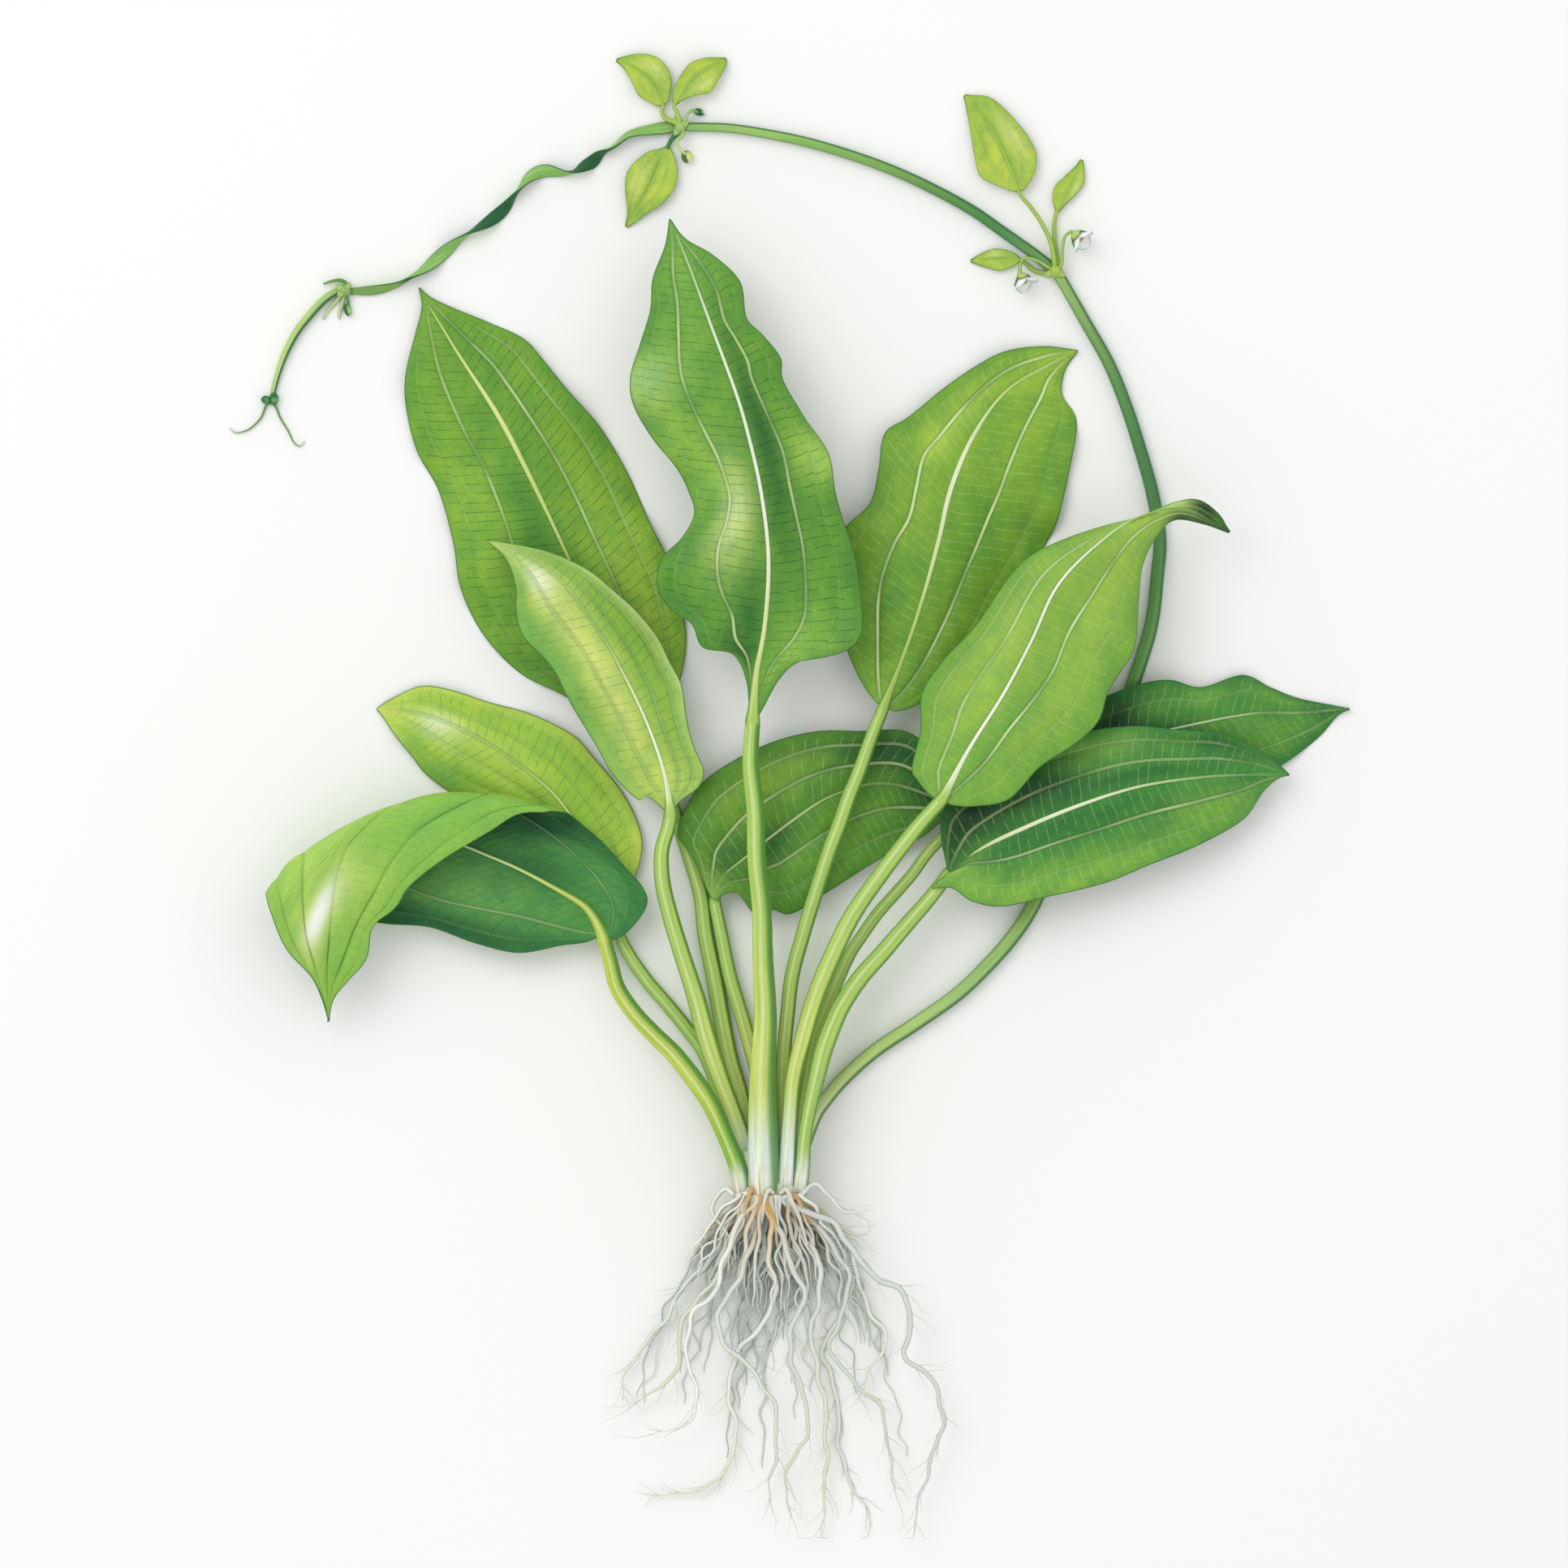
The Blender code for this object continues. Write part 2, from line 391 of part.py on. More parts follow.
# Roots: each leaves the crown's root end at its first point, and its level is how high it runs in the tuft.
ROOT_SIDES = 6
ROOT_STEP = 12.0
ROOT_FEWEST_STEPS = 8
ROOT_LEVEL_HEIGHT = 4.0
ROOT_TAPER = (1.0, 0.9, 0.75, 0.62, 0.5)
ROOT_FADE_START = -35.0
ROOT_FADE_END = -125.0
ROOT_FADE = 0.5
ROOTS = {
    "01": {"level": 3, "width": 2.4,
           "route": ((-9.5, -7.4), (-14, -11), (-19, -9), (-22.5, -5), (-24.5, -8), (-23, -13))},
    "02": {"level": 0, "width": 2.6,
           "route": ((-9, -7.4), (-15, -10.5), (-22, -14.5), (-26.5, -21.5), (-28, -28.5))},
    "03": {"level": 1, "width": 2.6,
           "route": ((-11, -7.4), (-15.5, -15), (-23.5, -30), (-33.5, -38.5), (-38.5, -46.5), (-45.5, -57.5),
                     (-56.5, -71.5), (-60, -78.5), (-61, -88.5))},
    "04": {"level": 2, "width": 2.8,
           "route": ((-9, -7.4), (-12, -17), (-16.5, -26.5), (-26.5, -43.5), (-36, -53.5), (-37.5, -68.5),
                     (-41.5, -80), (-51.5, -86), (-57.5, -91))},
    "05": {"level": 4, "width": 2.4,
           "route": ((-7, -7.4), (-15, -18), (-23.5, -43.5), (-31.5, -51.5), (-34.5, -61.5), (-33.5, -75),
                     (-30, -88.5), (-35, -97.5), (-49.5, -102.5))},
    "06": {"level": 3, "width": 2.6,
           "route": ((-4.5, -7.4), (-8.5, -26.5), (-16.5, -43.5), (-22.5, -55), (-18.5, -65), (-6.5, -77.5),
                     (1.5, -91.5), (2, -108.5), (-0.5, -123.5), (0, -132.5))},
    "07": {"level": 1, "width": 2.6,
           "route": ((-4.5, -7.4), (-1.5, -20), (-1, -33.5), (2, -43.5), (-1.5, -53.5), (-15, -71.5),
                     (-17, -86.5), (-14.5, -106.5), (-25, -123.5), (-36.5, -126), (-50, -128.5))},
    "08": {"level": 0, "width": 2.2,
           "route": ((-1, -7.4), (4, -26), (10, -46.5), (2.5, -56.5), (-2.5, -75))},
    "09": {"level": 4, "width": 2.6,
           "route": ((0, -7.4), (6, -26), (13.5, -46.5), (7.5, -60), (10, -76.5), (15.5, -95), (11.5, -108.5),
                     (5.5, -120), (8.5, -136.5))},
    "10": {"level": 2, "width": 2.8,
           "route": ((2, -7.4), (10, -16.5), (18.5, -29.5), (20.5, -40), (16.5, -60), (18.5, -73.5),
                     (22, -90), (22.5, -116.5), (20.5, -145))},
    "11": {"level": 0, "width": 2.6,
           "route": ((8, -7.4), (16, -12), (23.5, -20), (28.5, -33.5), (27.5, -53.5), (21, -69.5),
                     (26.5, -83.5), (28.5, -110), (33.5, -124), (38.5, -131.5), (41, -139.5))},
    "12": {"level": 3, "width": 2.4,
           "route": ((6, -7.4), (20, -18), (30.5, -33.5), (31, -46.5), (24.5, -66.5), (33.5, -80),
                     (45, -91.5), (48.5, -110), (51.5, -128.5))},
    "13": {"level": 1, "width": 2.4,
           "route": ((10, -7.4), (25, -15), (33.5, -29.5), (38.5, -48.5), (46.5, -60), (45, -69.5),
                     (38.5, -80), (36.5, -88.5))},
    "14": {"level": 4, "width": 2.8,
           "route": ((9, -7.4), (26.5, -16.5), (38.5, -33.5), (53.5, -44), (57.5, -56.5), (54.5, -68.5),
                     (66, -80), (70.5, -95), (66, -111.5), (60.5, -130), (58.5, -143.5))},
    "15": {"level": 5, "width": 2.4,
           "route": ((6, -7.4), (14, -8.6), (21, -5), (27, -8.5), (33.5, -11.5), (41.5, -15))},
    "16": {"level": 2, "width": 2.6,
           "route": ((10, -7.4), (17, -9), (25, -13.5), (31.5, -20), (39.5, -20))},
}

LEAF_ROUGHNESS = 0.45
CROWN_ROUGHNESS = 0.6
CURVE_DETAIL = 16  # places worked out between two hand-picked points before a curve is spaced evenly
STALK_COLOUR = (0.36, 0.53, 0.11)
RUNNER_COLOUR = (0.20, 0.42, 0.11)
SPROUT_COLOUR = (0.45, 0.62, 0.10)
ROOT_COLOUR = (0.78, 0.82, 0.76)
CROWN_COLOUR = (0.62, 0.62, 0.42)


def spline(points, at):
    """Values at the given places, 0 to 1, on a smooth curve through points that are evenly timed."""
    points = np.asarray(points, float)
    first_ghost = 2 * points[:1] - points[1:2]
    last_ghost = 2 * points[-1:] - points[-2:-1]
    padded = np.concatenate((first_ghost, points, last_ghost))
    place = np.clip(np.asarray(at, float), 0, 1) * (len(points) - 1)
    index = np.minimum(place.astype(int), len(points) - 2)
    t = (place - index).reshape((-1,) + (1,) * (points.ndim - 1))
    a, b, c, d = (padded[index + k] for k in range(4))
    return 0.5 * (2 * b + (c - a) * t + (2 * a - 5 * b + 4 * c - d) * t**2 + (3 * b - a - 3 * c + d) * t**3)


def lengths_along(points):
    """How far along a line of points each one lies."""
    steps = np.linalg.norm(np.diff(points, axis=0), axis=1)
    return np.concatenate(([0], np.cumsum(steps)))


def even_curve(points, at):
    """Points at the given shares of its length, 0 to 1, along a smooth curve through the given points."""
    dense = spline(points, np.linspace(0, 1, CURVE_DETAIL * len(points)))
    length = lengths_along(dense)
    wanted = np.asarray(at) * length[-1]
    return np.column_stack([np.interp(wanted, length, column) for column in dense.T])


def make_material(name, colour, roughness):
    """A plain material in one linear colour."""
    material = bpy.data.materials.new(name)
    material.use_nodes = True
    shader = material.node_tree.nodes["Principled BSDF"]
    shader.inputs["Base Color"].default_value = (*colour, 1)
    shader.inputs["Roughness"].default_value = roughness
    shader.inputs["Metallic"].default_value = 0
    return material


def add_object(name, bm, origin, plant, colour, roughness=LEAF_ROUGHNESS):
    """Puts a mesh, modelled about its own origin, at its place on the plant. Origin is in millimetres."""
    mesh = bpy.data.meshes.new(name)
    bm.to_mesh(mesh)
    bm.free()
    mesh.shade_smooth()
    obj = bpy.data.objects.new(name, mesh)
    bpy.context.scene.collection.objects.link(obj)
    obj.location = [value * MM for value in origin]
    obj.parent = plant
    mesh.materials.append(make_material(name, colour, roughness))
    return obj


def ring_mesh(rings):
    """A closed mesh through rings of points, which are joined in order and capped at both ends."""
    bm = bmesh.new()
    loops = []
    for ring in rings:
        loops.append([bm.verts.new([value * MM for value in point]) for point in ring])
    for low, high in zip(loops, loops[1:]):
        for k in range(len(low)):
            after = (k + 1) % len(low)
            bm.faces.new((low[k], low[after], high[after], high[k]))
    bm.faces.new(reversed(loops[0]))
    bm.faces.new(loops[-1])
    bmesh.ops.recalc_face_normals(bm, faces=bm.faces)
    return bm


def tube_rings(path, widths, depths, sides, turns=None, start=None):
    """Elliptic rings along a path, each square to it: widths lie level and depths stand up."""
    tangents = np.gradient(path, axis=0)
    if start is not None:
        tangents[0] = start
    tangents /= np.linalg.norm(tangents, axis=1)[:, None]
    angles = 2 * math.pi * np.arange(sides) / sides - math.pi / 2
    up = np.array((0.0, 0.0, 1.0))
    rings = []
    for number, (point, tangent) in enumerate(zip(path, tangents)):
        up = up - tangent * (up @ tangent)
        up /= np.linalg.norm(up)
        side = np.cross(tangent, up)
        turn = 0 if turns is None else turns[number]
        level = side * math.cos(turn) + up * math.sin(turn)
        upright = np.cross(level, tangent)
        reach = np.cos(angles)[:, None] * level * widths[number] / 2
        rise = np.sin(angles)[:, None] * upright * depths[number] / 2
        rings.append(point + reach + rise)
    return rings


def add_tube(name, path, widths, depths, sides, plant, colour, turns=None, start=None):
    """One stem, stalk or root as a closed tube whose origin is its first point."""
    origin = path[0].copy()
    rings = tube_rings(path - origin, widths, depths, sides, turns, start)
    add_object(name, ring_mesh(rings), origin, plant, colour)


def sheet_mesh(grid):
    """An open sheet through a grid of points (rows, columns, 3), in triangles."""
    bm = bmesh.new()
    rows, columns = grid.shape[:2]
    verts = [[bm.verts.new(grid[i, j] * MM) for j in range(columns)] for i in range(rows)]
    for i in range(rows - 1):
        for j in range(columns - 1):
            corners = (verts[i][j], verts[i][j + 1], verts[i + 1][j + 1], verts[i + 1][j])
            bm.faces.new(corners[:3])
            bm.faces.new((corners[0], corners[2], corners[3]))
    return bm


def add_sheet(name, grid, thickness, plant, colour):
    """One leaf blade: a sheet with its thickness below its upper face and its origin at its base."""
    origin = grid[0, grid.shape[1] // 2].copy()
    obj = add_object(name, sheet_mesh(grid - origin), origin, plant, colour)
    solid = obj.modifiers.new("thickness", "SOLIDIFY")
    solid.thickness = thickness * MM
    solid.offset = -1


def blade_grid(leaf, rows, columns):
    """The upper face of an open leaf, from its rib and edges and their heights."""
    at = np.linspace(0, 1, rows)**BLADE_CROWDING
    rib_points = np.array(leaf["rib"], float)
    ends = []
    for end, along, width in ((rib_points[0], rib_points[1] - rib_points[0], BLADE_BASE_WIDTH),
                              (rib_points[-1], rib_points[-1] - rib_points[-2], BLADE_TIP_WIDTH)):
        across = np.array((-along[1], along[0])) / np.hypot(*along) * width / 2
        ends.append((end + across, end - across))
    (left_start, right_start), (left_end, right_end) = ends
    rib = even_curve(rib_points, at)
    edges = (even_curve([left_start, *leaf["left"], left_end], at),
             even_curve([right_start, *leaf["right"], right_end], at))
    rib_z = spline(leaf["rib_heights"], at)
    edge_z = (spline(leaf["left_heights"], at), spline(leaf["right_heights"], at))
    grid = np.zeros((rows, columns, 3))
    for j, v in enumerate(np.linspace(-1, 1, columns)):
        side = 0 if v < 0 else 1
        grid[:, j, :2] = rib + abs(v) * (edges[side] - rib)
        grid[:, j, 2] = rib_z + abs(v) * (edge_z[side] - rib_z)
    grid[:, :, 2] = np.maximum(grid[:, :, 2], BLADE_THICKNESS)
    return grid


def folded_grid():
    """Leaf 07: low from its base to the crest, over the crest in a half circle, then high to its tip."""
    crest = FOLD_LOW[-1] + FOLD_RADIUS
    low_steps, high_steps = (np.array(steps) for steps in FOLD_STEPS)
    lines = []
    for low_run, high_run in FOLD_LINES:
        line = []
        for run, steps, from_fold, heights in (((FOLD_BASE, *low_run), low_steps, 1 - low_steps, FOLD_LOW),
                                               ((*high_run, FOLD_TIP), high_steps, high_steps, FOLD_HIGH)):
            length = lengths_along(spline(run, np.linspace(0, 1, CURVE_DETAIL * len(run))))[-1]
            bend = np.sqrt(1 - (1 - np.minimum(length * from_fold / FOLD_RADIUS, 1))**2)
            height = crest + (spline(heights, steps) - crest) * bend
            line.append(np.column_stack((even_curve(run, steps), height)))
        lines.append(np.vstack(line))
    lines = np.array(lines)
    spread = np.linspace(-0.5, 0.5, len(lines))
    lines[:, 0, 0] -= spread * BLADE_BASE_WIDTH * FOLD_BASE_SLANT
    lines[:, 0, 1] -= spread * BLADE_BASE_WIDTH
    lines[:, -1, 0] += spread * FOLD_TIP_WIDTH
    across = spline(lines, np.linspace(0, 1, FOLD_COLUMNS))
    return across.transpose(1, 0, 2)


def add_stalk(number, leaf, base, plant):
    """A leaf stalk from the crown to just short of its blade's base, a point with its height."""
    route = np.array([*leaf["stalk"], base[:2]], float)
    last = route[-1] - route[-2]
    route[-1] -= last / np.hypot(*last) * GAP * 2
    steps = np.linspace(0, 1, STALK_STEPS)
    places = even_curve(route, steps)
    path = np.column_stack((places, spline(leaf["stalk_heights"], steps)))
    widths = spline(leaf["stalk_widths"], steps)
    add_tube(f"leaf_stalk_{number}", path, widths, widths * STALK_DEPTH, STALK_SIDES, plant, STALK_COLOUR,
             start=TOWARDS_LEAVES)


def add_leaves(plant):
    """All ten leaves, each a stalk and a blade."""
    for number, leaf in LEAVES.items():
        grid = blade_grid(leaf, BLADE_ROWS, BLADE_COLUMNS)
        add_sheet(f"leaf_blade_{number}", grid, BLADE_THICKNESS, plant, leaf["colour"])
        add_stalk(number, leaf, grid[0, BLADE_COLUMNS // 2], plant)
    add_sheet("leaf_blade_07", folded_grid(), BLADE_THICKNESS, plant, FOLD_STALK["colour"])
    add_stalk("07", FOLD_STALK, (*FOLD_BASE, FOLD_LOW[0]), plant)


def add_crown(plant):
    """The rootstock: a rounded block with a flat underside to lie on."""
    angles = 2 * math.pi * (np.arange(CROWN_SIDES) + 0.5) / CROWN_SIDES
    rings = []
    across = np.sign(np.cos(angles)) * np.abs(np.cos(angles))**CROWN_SQUARING / 2
    upwards = np.sign(np.sin(angles)) * np.abs(np.sin(angles))**CROWN_SQUARING / 2
    for y, width in zip(CROWN_Y, CROWN_WIDTHS):
        x = CROWN_MIDDLE_X + across * width
        z = CROWN_HEIGHT * (0.5 + upwards * CROWN_FLATTENING * width / max(CROWN_WIDTHS))
        rings.append(np.column_stack((x, np.full(CROWN_SIDES, y), np.clip(z, 0, CROWN_HEIGHT))))
    add_object("crown", ring_mesh(rings), (0, 0, 0), plant, CROWN_COLOUR, CROWN_ROUGHNESS)


def add_runner(plant):
    """The runner's stems, which lie on the surface, and the ribbon between the last two nodes."""
    for name, stem in RUNNERS.items():
        steps = np.linspace(0, 1, stem["steps"])
        widths = spline(stem["widths"], steps)
        heights = widths / 2
        above = stem.get("start_height", heights[0]) - heights[0]
        heights = heights + above * np.clip(1 - steps / RUNNER_LANDING, 0, 1)
        path = np.column_stack((even_curve(stem["route"], steps), heights))
        add_tube(name, path, widths, widths, RUNNER_SIDES, plant, RUNNER_COLOUR, start=stem.get("start"))
    steps = np.linspace(0, 1, RIBBON_STEPS)
    half_turns = (0, *np.arange(len(RIBBON_PINCHES)) + 0.5, len(RIBBON_PINCHES))
    turns = math.pi * np.interp(steps, (0, *RIBBON_PINCHES, 1), half_turns)
    lift = RIBBON_WIDTH / 2 * np.abs(np.sin(turns)) + RIBBON_THICKNESS / 2 * np.abs(np.cos(turns))
    path = np.column_stack((even_curve(RIBBON_ROUTE, steps), lift + RIBBON_CLEARANCE))
    widths = np.full(RIBBON_STEPS, RIBBON_WIDTH)
    depths = np.full(RIBBON_STEPS, RIBBON_THICKNESS)
    add_tube("runner_stem_3", path, widths, depths, RUNNER_SIDES, plant, RUNNER_COLOUR, turns)


def add_nodes(plant):
    """The knuckles on the runner, each a short barrel standing along Y."""
    steps = np.linspace(NODE_TRIM, 1 - NODE_TRIM, NODE_STEPS)
    swell = np.sqrt(1 - (2 * steps - 1)**2)
    level = np.zeros(NODE_STEPS)
    for name, (place, width, length, height) in NODES.items():
        path = np.column_stack((level, (steps - 0.5) * length, level)) + np.array(place)
        add_tube(name, path, width * swell, height * swell, RUNNER_SIDES, plant, RUNNER_COLOUR)


def add_sprouts(plant):
    """The plantlets' small leaves, each with its slim stalk in one piece."""
    at = np.linspace(0, 1, SPROUT_ROWS)
    for name, sprout in SPROUTS.items():
        rib = np.array((*sprout["stalk"], *sprout["rib"]), float)
        tip = rib[-1]
        stalk = rib[:len(sprout["stalk"])]
        along = np.gradient(stalk, axis=0)
        across = np.column_stack((-along[:, 1], along[:, 0])) / np.hypot(*along.T)[:, None]
        across *= SPROUT_STALK_WIDTH / 2
        lines = np.array((even_curve([*(stalk + across), *sprout["left"], tip + SPROUT_TIP], at),
                          even_curve(rib, at),
                          even_curve([*(stalk - across), *sprout["right"], tip - SPROUT_TIP], at)))
        heights = spline(sprout["heights"], at)
        grid = np.zeros((SPROUT_ROWS, SPROUT_COLUMNS, 3))
        for j, v in enumerate(np.linspace(0, 1, SPROUT_COLUMNS)):
            grid[:, j, :2] = spline(lines, [v])[0]
            grid[:, j, 2] = np.maximum(heights - SPROUT_DROOP * (2 * v - 1)**2, SPROUT_THICKNESS)
        add_sheet(name, grid, SPROUT_THICKNESS, plant, SPROUT_COLOUR)


def add_shoots(plant):
    """Flowers, buds and rootlets on the runner: slim tubes that swell where they open."""
    for name, shoot in SHOOTS.items():
        count = len(shoot["route"]) + SHOOT_EXTRA_STEPS
        steps = np.linspace(0, 1, count)
        path = spline(np.array(shoot["route"], float), steps)
        widths = np.interp(steps, np.linspace(0, 1, len(shoot["widths"])), shoot["widths"])
        add_tube(name, path, widths, widths, SHOOT_SIDES, plant, shoot["colour"])


def add_roots(plant):
    """The main roots, which leave the crown at their level and sink towards the surface as they run out."""
    for number, root in ROOTS.items():
        route = np.array(root["route"], float)
        count = max(ROOT_FEWEST_STEPS, int(lengths_along(route)[-1] / ROOT_STEP))
        steps = np.linspace(0, 1, count)
        places = even_curve(route, steps)
        widths = root["width"] * spline(ROOT_TAPER, steps)
        sunk = np.clip((places[:, 1] - ROOT_FADE_START) / (ROOT_FADE_END - ROOT_FADE_START), 0, 1)
        lift = root["level"] * ROOT_LEVEL_HEIGHT * (1 - ROOT_FADE * sunk)
        path = np.column_stack((places, lift + widths / 2))
        add_tube(f"root_{number}", path, widths, widths, ROOT_SIDES, plant, ROOT_COLOUR, start=TOWARDS_ROOTS)


def main():
    """Clears the scene and builds the plant under one empty."""
    for obj in list(bpy.data.objects):
        bpy.data.objects.remove(obj, do_unlink=True)
    plant = bpy.data.objects.new("plant", None)
    bpy.context.scene.collection.objects.link(plant)
    add_crown(plant)
    add_leaves(plant)
    add_runner(plant)
    add_nodes(plant)
    add_sprouts(plant)
    add_shoots(plant)
    add_roots(plant)
    bpy.context.view_layer.update()


main()
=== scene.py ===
"""Looks of an amazon sword plant that is lifted out of its substrate and laid on its back.

Tables are in millimetres: +X to the plant's right, +Y from its roots to its leaf tips and +Z up from the
surface.
"""

import math
from functools import partial

import bmesh
import bpy
import numpy as np
from mathutils import Matrix, Vector


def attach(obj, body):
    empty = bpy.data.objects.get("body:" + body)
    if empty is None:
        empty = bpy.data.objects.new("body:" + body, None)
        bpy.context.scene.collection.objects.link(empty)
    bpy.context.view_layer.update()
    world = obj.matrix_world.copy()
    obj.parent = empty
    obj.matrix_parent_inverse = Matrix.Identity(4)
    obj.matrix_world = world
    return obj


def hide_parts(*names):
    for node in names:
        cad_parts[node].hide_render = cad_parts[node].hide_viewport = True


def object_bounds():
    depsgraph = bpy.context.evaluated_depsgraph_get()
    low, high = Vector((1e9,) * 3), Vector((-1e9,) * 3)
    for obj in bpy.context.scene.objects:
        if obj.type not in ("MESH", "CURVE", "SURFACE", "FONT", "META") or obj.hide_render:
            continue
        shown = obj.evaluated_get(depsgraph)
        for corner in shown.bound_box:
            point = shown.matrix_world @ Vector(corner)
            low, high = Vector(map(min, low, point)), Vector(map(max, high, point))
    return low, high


bl_info = {
    "name": "Amazon Sword Plant",
    "version": (1, 0, 0),
    "blender": (4, 5, 0),
    "location": "View3D > Sidebar > Plant",
    "description": "Leaves, stalks, runner, plantlets, flowers and roots of a bare-rooted amazon sword plant",
    "category": "Add Mesh",
}

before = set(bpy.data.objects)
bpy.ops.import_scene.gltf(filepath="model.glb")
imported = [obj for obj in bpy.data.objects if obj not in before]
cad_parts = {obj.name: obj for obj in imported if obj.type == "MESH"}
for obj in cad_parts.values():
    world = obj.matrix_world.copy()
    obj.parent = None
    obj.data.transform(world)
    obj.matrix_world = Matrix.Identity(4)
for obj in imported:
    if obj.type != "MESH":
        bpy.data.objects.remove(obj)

MM = 0.001
BODY = "root"
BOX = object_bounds()
LOWEST, HIGHEST = (np.array(corner) / MM for corner in BOX)


def linear(hex_colour):
    """An sRGB hex colour as linear red, green and blue."""
    values = np.array([int(hex_colour[k:k + 2], 16) for k in (1, 3, 5)]) / 255
    return np.where(values <= 0.04045, values / 12.92, ((values + 0.055) / 1.055)**2.4)


CROWN_SQUARING = 0.7    # below 1, the round section fills its corners

# leaf blades
BLADE_CROWDING = 1.2    # rows stand closer together towards the base
BLADE_ENDS = (3.2, 0.6)     # widths of a blade where it leaves its stalk and at its tip
STALK_DEPTH = 0.82      # depth of a stalk over its width

